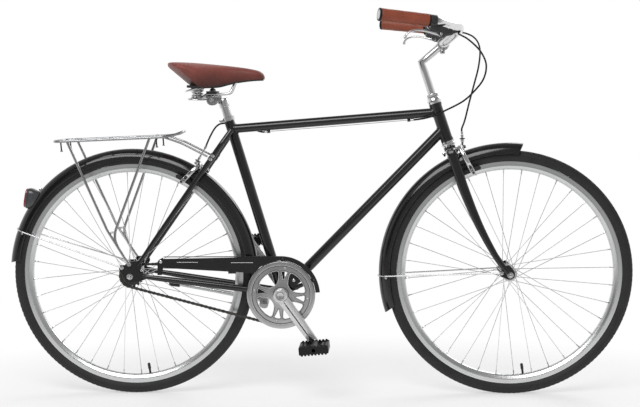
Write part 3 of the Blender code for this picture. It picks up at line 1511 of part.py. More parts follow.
def saddle_cover_shape():
    """The padded top with its drawn-in sides, and the pan under it that the springs meet."""
    sections = []
    for share, half, top, bottom in SADDLE_STATIONS:
        section = []
        height = top - bottom
        for across, level in (
            (0.0, 1.0), (0.38, 0.985), (0.70, 0.93), (0.90, 0.80), (1.0, 0.56), (0.97, 0.22), (0.86, 0.0),
            (0.0, 0.07),
        ):
            section.append((half * across, bottom + height * level))
        ring = [by_clamp(SADDLE_REAR + SADDLE_LENGTH * share, y, z) for y, z in section]
        ring += [by_clamp(SADDLE_REAR + SADDLE_LENGTH * share, -y, z) for y, z in reversed(section[1:-1])]
        sections.append(ring)
    cover = loft(sections)
    seats = [
        rod(
            by_clamp(SPRING_X, side * SPRING_SPREAD, SPRING_TOP + GAP),
            by_clamp(SPRING_X, side * SPRING_SPREAD, SPRING_TOP + 0.014),
            0.0135,
            14,
        )
        for side in (-1, 1)
    ]
    room = rod(by_clamp(0.062, -0.020, 0.0330), by_clamp(0.062, 0.020, 0.0330), 0.0042 + 4 * GAP, 8)
    return cut(united(cover, *seats), room)


# Brake cables

STOP_DROP = TOP_TUBE_RADIUS + 0.003


def barrel_end(side):
    place = by_lever(*BARREL_END)
    ahead = (place - by_lever(-0.022, -0.007)).normalized()
    mirror = Vector((1, -side, 1))
    return (place + ahead * GAP) * mirror, ahead * mirror


# Both front housings, as (forward, across, up) from the bar's clamp
FRONT_HOUSING = (
    (0.036, 0.210, 0.032), (0.060, 0.194, 0.039), (0.086, 0.168, 0.030), (0.102, 0.140, 0.014),
    (0.109, 0.115, -0.008), (0.108, 0.090, -0.034), (0.101, 0.060, -0.070), (0.089, 0.032, -0.110),
    (0.074, 0.006, -0.160), (0.060, -0.012, -0.212),
)
REAR_HOUSING = (
    (0.034, 0.206, 0.021), (0.059, 0.180, 0.008), (0.089, 0.150, -0.017), (0.107, 0.120, -0.042),
    (0.114, 0.098, -0.066), (0.109, 0.080, -0.095), (0.093, 0.062, -0.121), (0.056, 0.038, -0.158),
    (0.001, 0.026, -0.187), (-0.022, 0.0225, -0.198), (-0.052, 0.012, -0.2065), (-0.078, 0.003, -0.2105),
)


def from_clamp(place, side):
    return BAR_CLAMP + Vector((place[0], place[1] * side, place[2]))


def build_cables(steering, frame_group, paint):
    start, ahead = barrel_end(1)
    end = cable_end("front")
    route = [start, start + ahead * 0.008, *[from_clamp(place, 1) for place in FRONT_HOUSING]]
    route += [end + CABLE_WAY["front"] * 0.012, end]
    cable("front_brake_cable", smooth(route, 2), CABLE_RADIUS, paint, steering)

    start, ahead = barrel_end(-1)
    stop = on_top_tube(CABLE_STOPS[1] + 0.010, STOP_DROP)
    before = on_top_tube(CABLE_STOPS[1] + 0.018, STOP_DROP)
    route = [start, start + ahead * 0.008, *[from_clamp(place, -1) for place in REAR_HOUSING], before, stop]
    cable("rear_brake_cable_front", smooth(route, 2), CABLE_RADIUS, paint, frame_group)

    begin = on_top_tube(CABLE_STOPS[0] - 0.010, STOP_DROP)
    seat = on_seat_tube(TOP_TUBE_AT_SEAT)
    end = cable_end("rear")
    way = CABLE_WAY["rear"]
    beside = TOP_TUBE_RADIUS + CABLE_RADIUS + 0.0012
    around = []
    for share, angle in ((0.150, 12), (0.125, 42), (0.095, 75)):
        t = math.radians(angle)
        around.append(on_top_tube(share, beside * math.cos(t), beside * math.sin(t)))
    housing = smooth(
        [
            begin,
            on_top_tube(CABLE_STOPS[0] - 0.018, STOP_DROP),
            *around,
            seat + Vector((0.034, 0.0195, 0.004)),
            seat + Vector((-0.010, 0.0215, 0.0150)),
            seat + Vector((-0.026, 0.0195, 0.0155)),
            seat + Vector((-0.0377, 0.0150, 0.0128)),
            seat + Vector((-0.0485, 0.0070, 0.0028)),
            seat + Vector((-0.0595, -0.0030, -0.0168)),
            seat + Vector((-0.0678, -0.0130, -0.0364)),
            end + way * 0.034,
            end,
        ],
        2,
    )
    wire = [
        on_top_tube(CABLE_STOPS[1] - 0.0095, STOP_DROP), on_top_tube(CABLE_STOPS[0] - 0.0097, STOP_DROP),
    ]
    radii = [WIRE_RADIUS, WIRE_RADIUS] + [CABLE_RADIUS] * len(housing)
    piece("rear_brake_cable_rear", pipe([*wire, *housing], radii, 6), paint, frame_group)


def clear_scene():
    for existing in list(bpy.data.objects):
        bpy.data.objects.remove(existing)


def build():
    clear_scene()
    paint = material("black_paint", (0.012, 0.012, 0.013), 0.18)
    polished = material("polished_alloy", (0.75, 0.75, 0.76), 0.18, 1.0)
    satin = material("satin_alloy", (0.62, 0.63, 0.64), 0.35, 1.0)
    steel = material("bright_steel", (0.60, 0.60, 0.62), 0.25, 1.0)
    black = material("black_plastic", (0.020, 0.020, 0.021), 0.45)
    rubber = material("tyre_rubber", (0.030, 0.030, 0.032), 0.75)
    leather = material("brown_leather", (0.30, 0.085, 0.055), 0.50)
    grip_leather = material("tan_leather", (0.42, 0.125, 0.060), 0.55)
    red = material("red_lens", (0.50, 0.010, 0.012), 0.15)
    dark = material("dark_steel", (0.12, 0.12, 0.125), 0.45, 1.0)

    bike = group("bike", Vector((0, 0, 0)))
    bike.location = (-BIKE_CENTRE, 0, 0)
    steering = group("steering", on_steering(HEAD_BOTTOM), bike)
    front_wheel = group("front_wheel", FRONT_AXLE, steering)
    rear_wheel = group("rear_wheel", REAR_AXLE, bike)
    freewheel = group("freewheel", REAR_AXLE - Y_AXIS * CHAIN_LINE, bike)
    cranks = group("cranks", BB, bike)
    stand = group("stand", STAND_PIVOT, bike)
    saddle = group("saddle", on_seat_tube(SEAT_TUBE_LENGTH), bike)

    piece("frame", frame_shape(), paint, bike)
    piece("lower_head_cup", head_cup(FORK_LENGTH + 2 * GAP), polished, bike)
    piece("upper_head_cup", head_cup(HEAD_TOP + GAP), polished, bike)
    piece("bottom_bracket", bottom_bracket_shape(), dark, bike)
    piece("seat_collar", seat_collar_shape(), polished, bike)
    piece("rear_axle", axle_shape(REAR_AXLE, REAR_HUB, REAR_DROPOUTS, DROPOUT_PLATE), steel, bike)
    piece(
        "rear_fender",
        fender_shape(REAR_AXLE, REAR_FENDER_RADIUS, *REAR_FENDER_ANGLES, 20, 9.0),
        paint,
        bike,
    )
    stay_foot = REAR_AXLE + Vector((-0.022, 0, 0.026))
    outside = REAR_DROPOUTS / 2 + DROPOUT_PLATE + GAP
    piece(
        "rear_fender_stay",
        fender_stay_shape(REAR_AXLE, REAR_FENDER_RADIUS, 158.5, stay_foot, outside),
        steel,
        bike,
    )
    piece("tail_light_housing", light_housing_shape(), black, bike)
    piece("tail_light_lens", light_lens_shape(), red, bike)
    piece("rack", rack_shape(), satin, bike)
    piece("chainguard", chainguard_shape(), paint, bike)
    piece("chain", chain_shape(), dark, bike)
    piece("stand_mount", stand_mount_shape(), dark, bike)
    build_cables(steering, bike, black)

    for name, axle, hub, parent in (
        ("front", FRONT_AXLE, FRONT_HUB, front_wheel), ("rear", REAR_AXLE, REAR_HUB, rear_wheel),
    ):
        piece(f"{name}_tyre", tyre_shape(axle), rubber, parent)
        piece(f"{name}_rim", rim_shape(axle), polished, parent)
        piece(f"{name}_hub", hub_shape(axle, hub), polished, parent)
    piece("rear_sprocket", sprocket_shape(), dark, freewheel)

    piece("crank_spindle", spindle_shape(), steel, cranks)
    piece("chainring", chainring_shape(), polished, cranks)
    for name, side in (("right", -1), ("left", 1)):
        piece(f"crank_{name}", crank_shape(side), satin, cranks)
        pedal = group(f"pedal_axis_{name}", crank_end(side) + Y_AXIS * side * pedal_span(side)[0], cranks)
        piece(f"pedal_{name}", pedal_shape(side), black, pedal)

    piece("stand_leg", stand_leg_shape(), satin, stand)

    piece("seatpost", seatpost_shape(), polished, saddle)
    piece("seat_clamp", seat_clamp_shape(), dark, saddle)
    piece("saddle_rails", rails_shape(), polished, saddle)
    piece("saddle_cover", saddle_cover_shape(), leather, saddle)
    for name, side in (("right", -1), ("left", 1)):
        places = spring_places(side)
        cable(f"saddle_spring_{name}", places, SPRING_WIRE, steel, saddle, resolution=1)
        print(
            f"saddle_spring_{name}: least gap {1000 * least_gap(places, SPRING_WIRE, SPRING_STEPS):.2f} mm"
        )

    piece("fork", fork_shape(), paint, steering)
    piece("headset_locknut", locknut_shape(), polished, steering)
    piece("stem", stem_shape(), polished, steering)
    piece("handlebar", handlebar_shape(), polished, steering)
    piece("front_axle", axle_shape(FRONT_AXLE, FRONT_HUB, FRONT_DROPOUTS, DROPOUT_PLATE), steel, steering)
    piece(
        "front_fender",
        fender_shape(FRONT_AXLE, FRONT_FENDER_RADIUS, *FRONT_FENDER_ANGLES, 13),
        paint,
        steering,
    )
    front_foot = FRONT_AXLE + Vector((-0.024, 0, 0.006))
    outside = FRONT_DROPOUTS / 2 + DROPOUT_PLATE + GAP
    piece(
        "front_fender_stay",
        fender_stay_shape(FRONT_AXLE, FRONT_FENDER_RADIUS, 181.0, front_foot, outside),
        steel,
        steering,
    )

    pieces_of_hand = (("bracket", bracket_shape, dark), ("lever", lever_shape, polished))
    grip = grip_shape()
    piece("grip_left", mirrored(grip), grip_leather, steering)
    piece("grip_right", grip, grip_leather, steering)
    for name, make, finish in pieces_of_hand:
        shape = make()
        for hand, mesh in (("left", mirrored(shape)), ("right", shape)):
            pivot = Vector((LEVER_PIVOT.x, LEVER_PIVOT.y * (1 if hand == "right" else -1), LEVER_PIVOT.z))
            parent = steering if name == "bracket" else group(f"lever_axis_{hand}", pivot, steering)
            piece(f"brake_{name}_{hand}", mesh, finish, parent)

    for which, carrier in (("front", steering), ("rear", bike)):
        piece(f"{which}_brake_bolt", brake_bolt_shape(which), steel, carrier)
        for hand, side in (("right", -1), ("left", 1)):
            pivot = group(f"{which}_arm_axis_{hand}", brake_place(which, BRAKE_REACH[which]), carrier)
            piece(f"{which}_brake_arm_{hand}", brake_arm_shape(which, side), polished, pivot)
            piece(f"{which}_brake_pad_{hand}", brake_pad_shape(which, side), rubber, pivot)


build()
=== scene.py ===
"""The looks of a city bike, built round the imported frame.

Shapes are worked out in bike coordinates, in metres: X forward from the rear axle, Y to the rider's
left, Z up from the ground. add() moves them into the frame's own coordinates.
"""

import json
import math

import bmesh
import bpy
from mathutils import Matrix, Vector

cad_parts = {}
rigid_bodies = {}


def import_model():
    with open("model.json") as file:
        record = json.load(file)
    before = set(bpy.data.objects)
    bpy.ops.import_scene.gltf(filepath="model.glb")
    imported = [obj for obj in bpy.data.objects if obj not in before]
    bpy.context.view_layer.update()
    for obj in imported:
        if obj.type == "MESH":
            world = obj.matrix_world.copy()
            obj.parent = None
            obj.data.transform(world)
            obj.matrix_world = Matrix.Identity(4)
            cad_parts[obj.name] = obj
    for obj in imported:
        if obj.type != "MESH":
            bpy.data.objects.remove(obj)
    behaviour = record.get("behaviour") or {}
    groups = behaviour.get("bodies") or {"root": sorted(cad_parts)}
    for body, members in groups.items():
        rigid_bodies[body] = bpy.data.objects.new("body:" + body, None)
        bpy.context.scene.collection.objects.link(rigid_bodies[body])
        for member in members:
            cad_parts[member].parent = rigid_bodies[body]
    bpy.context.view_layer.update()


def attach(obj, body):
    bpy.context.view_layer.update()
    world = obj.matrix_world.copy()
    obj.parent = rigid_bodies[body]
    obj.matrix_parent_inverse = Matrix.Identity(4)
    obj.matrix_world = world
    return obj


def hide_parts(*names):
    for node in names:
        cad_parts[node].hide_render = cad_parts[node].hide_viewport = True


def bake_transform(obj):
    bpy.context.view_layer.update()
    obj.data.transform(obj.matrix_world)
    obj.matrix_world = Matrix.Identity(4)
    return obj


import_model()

X = Vector((1, 0, 0))
Y = Vector((0, 1, 0))
Z = Vector((0, 0, 1))
FLIP = Vector((1, -1, 1))  # from one side of the bike to the other
FLAT = Vector((1, 0, 1))  # onto the bike's middle plane
GAP = 0.0003  # between two parts that touch

# Sizes and places that the frame was made from
WHEELBASE = 1.0724
TYRE = 0.347
RIM = 0.3175
RIM_DEPTH = 0.025
SPOKES = 36
CROSSINGS = 3
FIRST_SPOKE = 2.9  # the angle of the first spoke's end at the rim
HUBS = {
    "front": {"half": 0.044, "flange": 0.0335, "radius": 0.0205, "barrel": 0.009, "neck": 0.0095,
              "out": 0.05},
    "rear": {"half": 0.0535, "flange": 0.0285, "radius": 0.0235, "barrel": 0.0115, "neck": 0.0145,
             "out": 0.062},
}
REAR_FENDER = 0.36
REAR_FENDER_END = 5.6  # degrees above the rear axle's level
REAR_REACH = REAR_FENDER * math.cos(math.radians(REAR_FENDER_END))
CENTRE = (TYRE + WHEELBASE - REAR_REACH) / 2
REAR = Vector((0, 0, TYRE))
FRONT = Vector((WHEELBASE, 0, TYRE))
AXLES = {"front": FRONT, "rear": REAR}
CHAINSTAY = 0.431
BB_DROP = 0.055
BB = Vector((math.sqrt(CHAINSTAY**2 - BB_DROP**2), 0, TYRE - BB_DROP))
HEAD = math.radians(71.9)
STEER_UP = Vector((-math.cos(HEAD), 0, math.sin(HEAD)))
STEER_AHEAD = Vector((STEER_UP.z, 0, -STEER_UP.x))
RAKE = 0.0477
STEER_FOOT = FRONT - STEER_AHEAD * RAKE
SEAT = math.radians(73.5)
SEAT_UP = Vector((-math.cos(SEAT), 0, math.sin(SEAT)))
SEAT_AHEAD = Vector((SEAT_UP.z, 0, -SEAT_UP.x))
SEAT_TUBE = 0.5125  # its length
POST_TOP = SEAT_TUBE + 0.066
FORK = 0.393  # from the steering's foot to the crown's top
CUP = 0.016
HEAD_LENGTH = 0.1115
LOCKNUT_HIGH = 0.012
STEM_RISE = 0.092
HEAD_BOTTOM = FORK + CUP + 3 * GAP
HEAD_TOP = HEAD_BOTTOM + HEAD_LENGTH
LOCKNUT = HEAD_TOP + CUP + 2 * GAP
STEM_CORNER = LOCKNUT + LOCKNUT_HIGH + STEM_RISE


def on_steering(up, ahead=0.0, left=0.0):
    return STEER_FOOT + STEER_UP * up + STEER_AHEAD * ahead + Y * left


def on_seat(up, ahead=0.0, left=0.0):
    return BB + SEAT_UP * up + SEAT_AHEAD * ahead + Y * left


# Mesh building


def finished(bm):
    bmesh.ops.remove_doubles(bm, verts=bm.verts, dist=1e-6)
    bmesh.ops.recalc_face_normals(bm, faces=bm.faces)
    mesh = bpy.data.meshes.new("shape")
    bm.to_mesh(mesh)
    bm.free()
    return mesh


def loft(sections, closed=False):
    bm = bmesh.new()
    rings = [[bm.verts.new(p) for p in section] for section in sections]
    following = rings[1:] + rings[:1] if closed else rings[1:]
    for low, high in zip(rings, following):
        for i in range(len(low)):
            j = (i + 1) % len(low)
            bm.faces.new((low[i], low[j], high[j], high[i]))
    if not closed:
        bm.faces.new(rings[0])
        bm.faces.new(rings[-1])
    return finished(bm)


def each(value, count):
    return list(value) if isinstance(value, (list, tuple)) else [value] * count


def turns(sides, shift=0.5):
    return [2 * math.pi * (k + shift) / sides for k in range(sides)]


def squared(t, power):
    """The turn's cosine and sine, drawn towards a square's corners where power is below 1."""
    return [math.copysign(abs(c) ** power, c) for c in (math.cos(t), math.sin(t))]


def pipe(places, radius, sides=20, across=None, start=None, closed=False, power=1.0):
    """A tube along the places. radius is half its height and across is half its width."""
    path = [Vector(p) for p in places]
    count = len(path)
    heights = each(radius, count)
    widths = heights if across is None else each(across, count)
    side = start
    sections = []
    for i, place in enumerate(path):
        if closed:
            ahead = (path[(i + 1) % count] - path[i - 1]).normalized()
        else:
            ahead = (path[min(i + 1, count - 1)] - path[max(i - 1, 0)]).normalized()
        if side is None:
            side = Y if abs(ahead.y) < 0.9 else X
        side = (side - ahead * side.dot(ahead)).normalized()
        up = ahead.cross(side)
        ring = []
        for t in turns(sides):
            c, s = squared(t, power)
            ring.append(place + side * c * widths[i] + up * s * heights[i])
        sections.append(ring)
    return loft(sections, closed)


def square_to(axis):
    """The axis at unit length, and two directions square to it."""
    axis = axis.normalized()
    side = X if abs(axis.x) < 0.9 else Z
    side = (side - axis * side.dot(axis)).normalized()
    return axis, side, axis.cross(side)


def turned(profile, centre, axis=Y, steps=48):
    """Turns a profile of (distance along the axis, radius) round the axis.

    A profile that starts on the axis ends there too, and needs no wall between its ends.
    """
    axis, side, other = square_to(axis)
    bm = bmesh.new()
    rings = []
    for t in turns(steps, 0):
        out = side * math.cos(t) + other * math.sin(t)
        rings.append([bm.verts.new(centre + axis * a + out * r) for a, r in profile])
    walls = len(profile) if profile[0][1] else len(profile) - 1
    for low, high in zip(rings, rings[1:] + rings[:1]):
        for i in range(walls):
            j = (i + 1) % len(low)
            bm.faces.new((low[i], low[j], high[j], high[i]))
    return finished(bm)


def rod(start, end, radius, sides=24, edge=None):
    """A round bar with its ends' edges rounded off."""
    start, end = Vector(start), Vector(end)
    length = (end - start).length
    edge = min(radius * 0.25, length * 0.2, 0.0012) if edge is None else edge
    profile = [
        (0, 0), (0, radius - edge), (edge * 0.3, radius - edge * 0.3), (edge, radius),
        (length - edge, radius), (length - edge * 0.3, radius - edge * 0.3),
        (length, radius - edge), (length, 0),
    ]
    return turned(profile, start, end - start, sides)


def sleeve(centre, axis, low, high, inner, outer, steps=48, edge=0.0006):
    profile = [
        (low, inner), (low, outer - edge), (low + edge, outer), (high - edge, outer),
        (high, outer - edge), (high, inner),
    ]
    return turned(profile, centre, axis, steps)


def hexagon(centre, axis, low, high, across_flats, edge=0.0007):
    """A six-sided nut or bolt head with its corners taken off."""
    radius = across_flats / math.sqrt(3)
    axis, side, other = square_to(axis)
    return loft([
        [centre + axis * along + (side * math.cos(t) + other * math.sin(t)) * radius * size
         for t in turns(6)]
        for along, size in ((low, 0.9), (low + edge, 1.0), (high - edge, 1.0), (high, 0.9))
    ])


def plate(outline, low, high, edge=0.0, centre=None):
    """A plate from Y = low to Y = high, its (x, z) outline drawn in by edge at both faces."""
    levels = [(low, edge), (low + edge, 0), (high - edge, 0), (high, edge)] if edge else [
        (low, 0), (high, 0)
    ]
    points = [Vector((x, 0, z)) for x, z in outline]
    area = sum(a.x * b.z - b.x * a.z for a, b in zip(points, points[1:] + points[:1]))
    sign = 1 if area > 0 else -1
    sections = []
    for y, inset in levels:
        ring = []
        for i, p in enumerate(points):
            before, after = points[i - 1], points[(i + 1) % len(points)]
            along = (after - before).normalized()
            inward = Vector((-along.z, 0, along.x)) * sign
            ring.append(Vector((p.x, y, p.z)) + inward * inset)
        sections.append(ring)
    return loft(sections)


def brick(centre, half, axes=(X, Y, Z), edge=0.0006):
    """A block with bevelled edges."""
    bm = bmesh.new()
    bmesh.ops.create_cube(bm, size=2)
    for v in bm.verts:
        along, left, up = [axis * size * c for axis, size, c in zip(axes, half, v.co)]
        v.co = centre + along + left + up
    if edge:
        bmesh.ops.bevel(bm, geom=bm.edges[:], offset=edge, segments=2, affect="EDGES", profile=0.5)
    return finished(bm)


def ball(centre, radius, squash=(1, 1, 1), steps=16):
    bm = bmesh.new()
    bmesh.ops.create_uvsphere(bm, u_segments=steps * 2, v_segments=steps, radius=radius)
    for v in bm.verts:
        v.co = centre + Vector((v.co.x * squash[0], v.co.y * squash[1], v.co.z * squash[2]))
    return finished(bm)


def mirrored(mesh):
    copy = mesh.copy()
    copy.transform(Matrix.Scale(-1, 4, Y))
    copy.flip_normals()
    return copy


def both(*meshes):
    return [m for mesh in meshes for m in (mesh, mirrored(mesh))]


def joined(*meshes):
    bm = bmesh.new()
    for mesh in meshes:
        bm.from_mesh(mesh)
    mesh = bpy.data.meshes.new("shape")
    bm.to_mesh(mesh)
    bm.free()
    return mesh


def placed(name, data):
    """A new object of the scene."""
    made = bpy.data.objects.new(name, data)
    bpy.context.scene.collection.objects.link(made)
    return made


def cut(shape, *cutters):
    """The shape less the cutters."""
    holder = placed("base", shape)
    group = bpy.data.collections.new("cutters")
    for mesh in cutters:
        group.objects.link(bpy.data.objects.new("cutter", mesh))
    modifier = holder.modifiers.new("Boolean", "BOOLEAN")
    modifier.operation = "DIFFERENCE"
    modifier.operand_type = "COLLECTION"
    modifier.collection = group
    modifier.solver = "EXACT"
    graph = bpy.context.evaluated_depsgraph_get()
    result = bpy.data.meshes.new_from_object(holder.evaluated_get(graph))
    for helper in [holder, *group.objects]:
        bpy.data.objects.remove(helper)
    bpy.data.collections.remove(group)
    return result


def smooth(places, steps, closed=False):
    """A smooth curve through the places."""
    path = [Vector(p) for p in places]
    if closed:
        ends = [path[-1], *path, path[0], path[1]]
    else:
        ends = [path[0] * 2 - path[1], *path, path[-1] * 2 - path[-2]]
    curve = []
    for p, a, b, q in zip(ends, ends[1:], ends[2:], ends[3:]):
        for k in range(steps):
            t = k / steps
            curve.append(
                a + (b - p) * (t / 2) + (p * 2 - a * 5 + b * 4 - q) * (t * t / 2)
                + (a * 3 - p - b * 3 + q) * (t**3 / 2)
            )
    return curve if closed else [*curve, path[-1]]


def spread(values, steps):
    """The values at the points that smooth() makes, in straight lines between them."""
    found = []
    for a, b in zip(values, values[1:]):
        found += [a + (b - a) * k / steps for k in range(steps)]
    return [*found, values[-1]]


def corner_curve(a, b, c, reach, steps):
    """The curve that rounds off the corner b between a and c, from this far before it."""
    reach = min(reach, (a - b).length * 0.45, (c - b).length * 0.45)
    start, end = b + (a - b).normalized() * reach, b + (c - b).normalized() * reach
    shares = [k / steps for k in range(steps + 1)]
    return [start * (1 - t) ** 2 + b * 2 * t * (1 - t) + end * t * t for t in shares]


def last_inside(low, high, steps, inside):
    """The last value between low and high that is inside, found by halving."""
    for _ in range(steps):
        middle = (low + high) / 2
        if inside(middle):
            low = middle
        else:
            high = middle
    return low


def arc(centre, radius, first, last, steps):
    """An arc's points as (x, z), from one angle in degrees to another."""
    found = []
    for k in range(steps + 1):
        t = math.radians(first + (last - first) * k / steps)
        found.append((centre.x + radius * math.cos(t), centre.z + radius * math.sin(t)))
    return found


def around(centre, radius, angle, left=0.0):
    """A place round a centre, at this angle in degrees from +X towards +Z."""
    t = math.radians(angle)
    return centre + Vector((radius * math.cos(t), left, radius * math.sin(t)))


def add(name, mesh, paint, body, stands_for=(), crease=35, bevel=0.0, subdivide=0):
    """Puts a piece in the scene on its body, in the frame's coordinates."""
    if isinstance(mesh, (list, tuple)):
        mesh = joined(*mesh)
    mesh.name = name
    mesh.transform(Matrix.Translation((-CENTRE, 0, 0)))
    mesh.materials.clear()
    mesh.materials.append(paint)
    mesh.shade_smooth()
    mesh.set_sharp_from_angle(angle=math.radians(crease))
    made = placed(name, mesh)
    if bevel:
        modifier = made.modifiers.new("Bevel", "BEVEL")
        modifier.width = bevel
        modifier.segments = 2
        modifier.limit_method = "ANGLE"
        modifier.angle_limit = math.radians(crease)
    if subdivide:
        modifier = made.modifiers.new("Subdivision", "SUBSURF")
        modifier.levels = modifier.render_levels = subdivide
    if body:
        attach(made, body)
    if stands_for:
        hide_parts(*([stands_for] if isinstance(stands_for, str) else stands_for))
    return made


# Materials


def wired(tree, kind, inputs=None, **settings):
    """A node with its settings, its inputs given as numbers or as other nodes' outputs."""
    node = tree.nodes.new(kind)
    for key, value in settings.items():
        setattr(node, key, value)
    for key, value in (inputs or {}).items():
        if isinstance(value, bpy.types.NodeSocket):
            tree.links.new(value, node.inputs[key])
        else:
            node.inputs[key].default_value = value
    return node


def mapped(tree, value, low, high, first=0.0, last=1.0):
    """The value with low to high brought to first to last."""
    ends = {"Value": value, "From Min": low, "From Max": high, "To Min": first, "To Max": last}
    return wired(tree, "ShaderNodeMapRange", ends).outputs[0]


def noisy(tree, place, scale, detail):
    inputs = {"Vector": place, "Scale": scale, "Detail": detail}
    return wired(tree, "ShaderNodeTexNoise", inputs).outputs[0]


def sums(tree, operation, *values):
    return wired(tree, "ShaderNodeMath", dict(enumerate(values)), operation=operation).outputs[0]


def from_axis(tree, place, axle):
    """The distance of the shaded point from a wheel's or the crank's axis, which lies along Y."""
    parts = wired(tree, "ShaderNodeSeparateXYZ", {0: place}).outputs
    along = sums(tree, "SUBTRACT", parts[0], axle.x - CENTRE)
    up = sums(tree, "SUBTRACT", parts[2], axle.z)
    squares = sums(tree, "ADD", sums(tree, "MULTIPLY", along, along),
                   sums(tree, "MULTIPLY", up, up))
    return sums(tree, "SQRT", squares), parts[1]


def material(
    name, colour, rough, metal=0.0, vary=0.1, patch=18, wear=0.06, scratch=140, grain=700,
    bump=0.03, cells=False, stretch=(1, 1, 1), rings=None, ribs=None, shade=None, slot=None,
    **sockets,
):
    """A surface whose colour, gloss and relief all vary. slot is not used.

    rings turns the grain into circles round an axle, and ribs adds fine ridges to them. shade is
    (low, high, share) and paints shade into the colour: it is darkened to share of its strength
    at the low height and is at full strength from the high one up, as if shadow fell on the lower
    part.
    """
    made = bpy.data.materials.new(name)
    made.use_nodes = True
    tree = made.node_tree
    shader = tree.nodes["Principled BSDF"]
    place = wired(tree, "ShaderNodeTexCoord").outputs["Object"]
    fine = wired(tree, "ShaderNodeMapping", {"Vector": place, "Scale": stretch}).outputs[0]
    radius = None
    if rings is not None:
        radius, left = from_axis(tree, place, rings)
        fine = wired(tree, "ShaderNodeCombineXYZ",
                     {0: radius, 1: sums(tree, "MULTIPLY", left, 0.6)}).outputs[0]
    share = mapped(tree, noisy(tree, place, patch, 5.0), 0.3, 0.7)
    low = [c * (1 - vary) for c in colour]
    high = [min(1.0, c * (1 + vary)) for c in colour]
    mix = wired(tree, "ShaderNodeMix", data_type="RGBA")
    tree.links.new(share, mix.inputs[0])
    mix.inputs[6].default_value = (*low, 1)
    mix.inputs[7].default_value = (*high, 1)
    dye_and_shade = mix.outputs[2]
    # painted shade: the colour is darkened towards the bottom
    if shade:
        tall = wired(tree, "ShaderNodeSeparateXYZ", {0: place}).outputs[2]
        painted_shade_share = mapped(tree, tall, *shade)
        dye_and_shade = wired(tree, "ShaderNodeVectorMath", {0: dye_and_shade, 3: painted_shade_share}, operation="SCALE").outputs[0]
    tree.links.new(dye_and_shade, shader.inputs["Base Color"])
    gloss = mapped(tree, noisy(tree, fine, scratch, 6.0), 0.25, 0.75, rough - wear, rough + wear)
    tree.links.new(gloss, shader.inputs["Roughness"])
    if cells:
        pores = wired(tree, "ShaderNodeTexVoronoi", {"Vector": fine, "Scale": grain},
                      feature="SMOOTH_F1")
        relief = sums(tree, "ADD", pores.outputs[0], noisy(tree, fine, grain * 0.3, 4.0))
    else:
        relief = noisy(tree, fine, grain, 5.0)
    if ribs:
        wave = sums(tree, "SINE", sums(tree, "MULTIPLY", radius, ribs))
        relief = sums(tree, "ADD", relief, sums(tree, "MULTIPLY", wave, 0.6))
    raised = wired(tree, "ShaderNodeBump",
                   {"Height": relief, "Strength": min(1.0, bump * 10), "Distance": 0.0004})
    tree.links.new(raised.outputs[0], shader.inputs["Normal"])
    shader.inputs["Metallic"].default_value = metal
    for key, value in sockets.items():
        shader.inputs[key.replace("_", " ")].default_value = value
    return made


SADDLE = on_seat(POST_TOP) + Vector((-0.022, 0, 0.012))

PAINT = material("black_paint", (0.0085, 0.0085, 0.0095), 0.15, wear=0.035, vary=0.2, grain=260,
                 bump=0.004, Coat_Weight=0.25, Coat_Roughness=0.04)
POLISHED = material("polished_alloy", (0.7, 0.7, 0.71), 0.14, 1.0, vary=0.05, wear=0.05, bump=0.006,
                    grain=500)
BRUSHED = material("satin_alloy", (0.56, 0.565, 0.57), 0.3, 1.0, vary=0.07, bump=0.012, grain=900,
                   stretch=(1, 1, 0.12))
CHROME = material("bright_steel", (0.66, 0.66, 0.67), 0.12, 1.0, vary=0.04, wear=0.05, bump=0.003)
SPOKE_STEEL = material("spoke_steel", (0.8, 0.8, 0.81), 0.24, 1.0, vary=0.06, bump=0.004,
                       slot="bright_steel")
# dark steel, also used for painted shade: dark lines and patches in grooves, recesses, slots and
# bolt sockets
DARK_STEEL_AND_SHADE = material("dark_steel", (0.085, 0.083, 0.08), 0.42, 1.0, vary=0.35, patch=60, wear=0.12,
                      bump=0.03)
RACK_STEEL = material("rack_steel", (0.4, 0.403, 0.41), 0.26, 1.0, vary=0.07, bump=0.012, grain=900,
                      slot="satin_alloy")
FORGED = material("forged_alloy", (0.74, 0.74, 0.75), 0.26, 0.62, vary=0.05, wear=0.05, bump=0.008,
                  grain=700, slot="polished_alloy")
GUNMETAL = material("grey_cast_metal", (0.33, 0.33, 0.335), 0.34, 0.9, vary=0.15, wear=0.08,
                    bump=0.03, slot="dark_steel")
PLASTIC = material("black_plastic", (0.009, 0.009, 0.01), 0.42, wear=0.08, vary=0.2, grain=1500,
                   bump=0.03, Specular_IOR_Level=0.28)
BRACKET = material("satin_black_alloy", (0.06, 0.06, 0.063), 0.4, 0.55, wear=0.08, vary=0.2,
                   grain=1200, bump=0.02, slot="dark_steel")
HOUSING = material("cable_housing", (0.006, 0.006, 0.0065), 0.42, wear=0.06, vary=0.15, grain=900,
                   bump=0.01, Specular_IOR_Level=0.28, slot="black_plastic")
WIRE = material("cable_wire", (0.45, 0.45, 0.46), 0.35, 1.0, vary=0.15, grain=3000, bump=0.06,
                slot="bright_steel")
PAD = material("brake_rubber", (0.017, 0.017, 0.018), 0.7, vary=0.25, grain=1400, bump=0.06,
               slot="tyre_rubber")
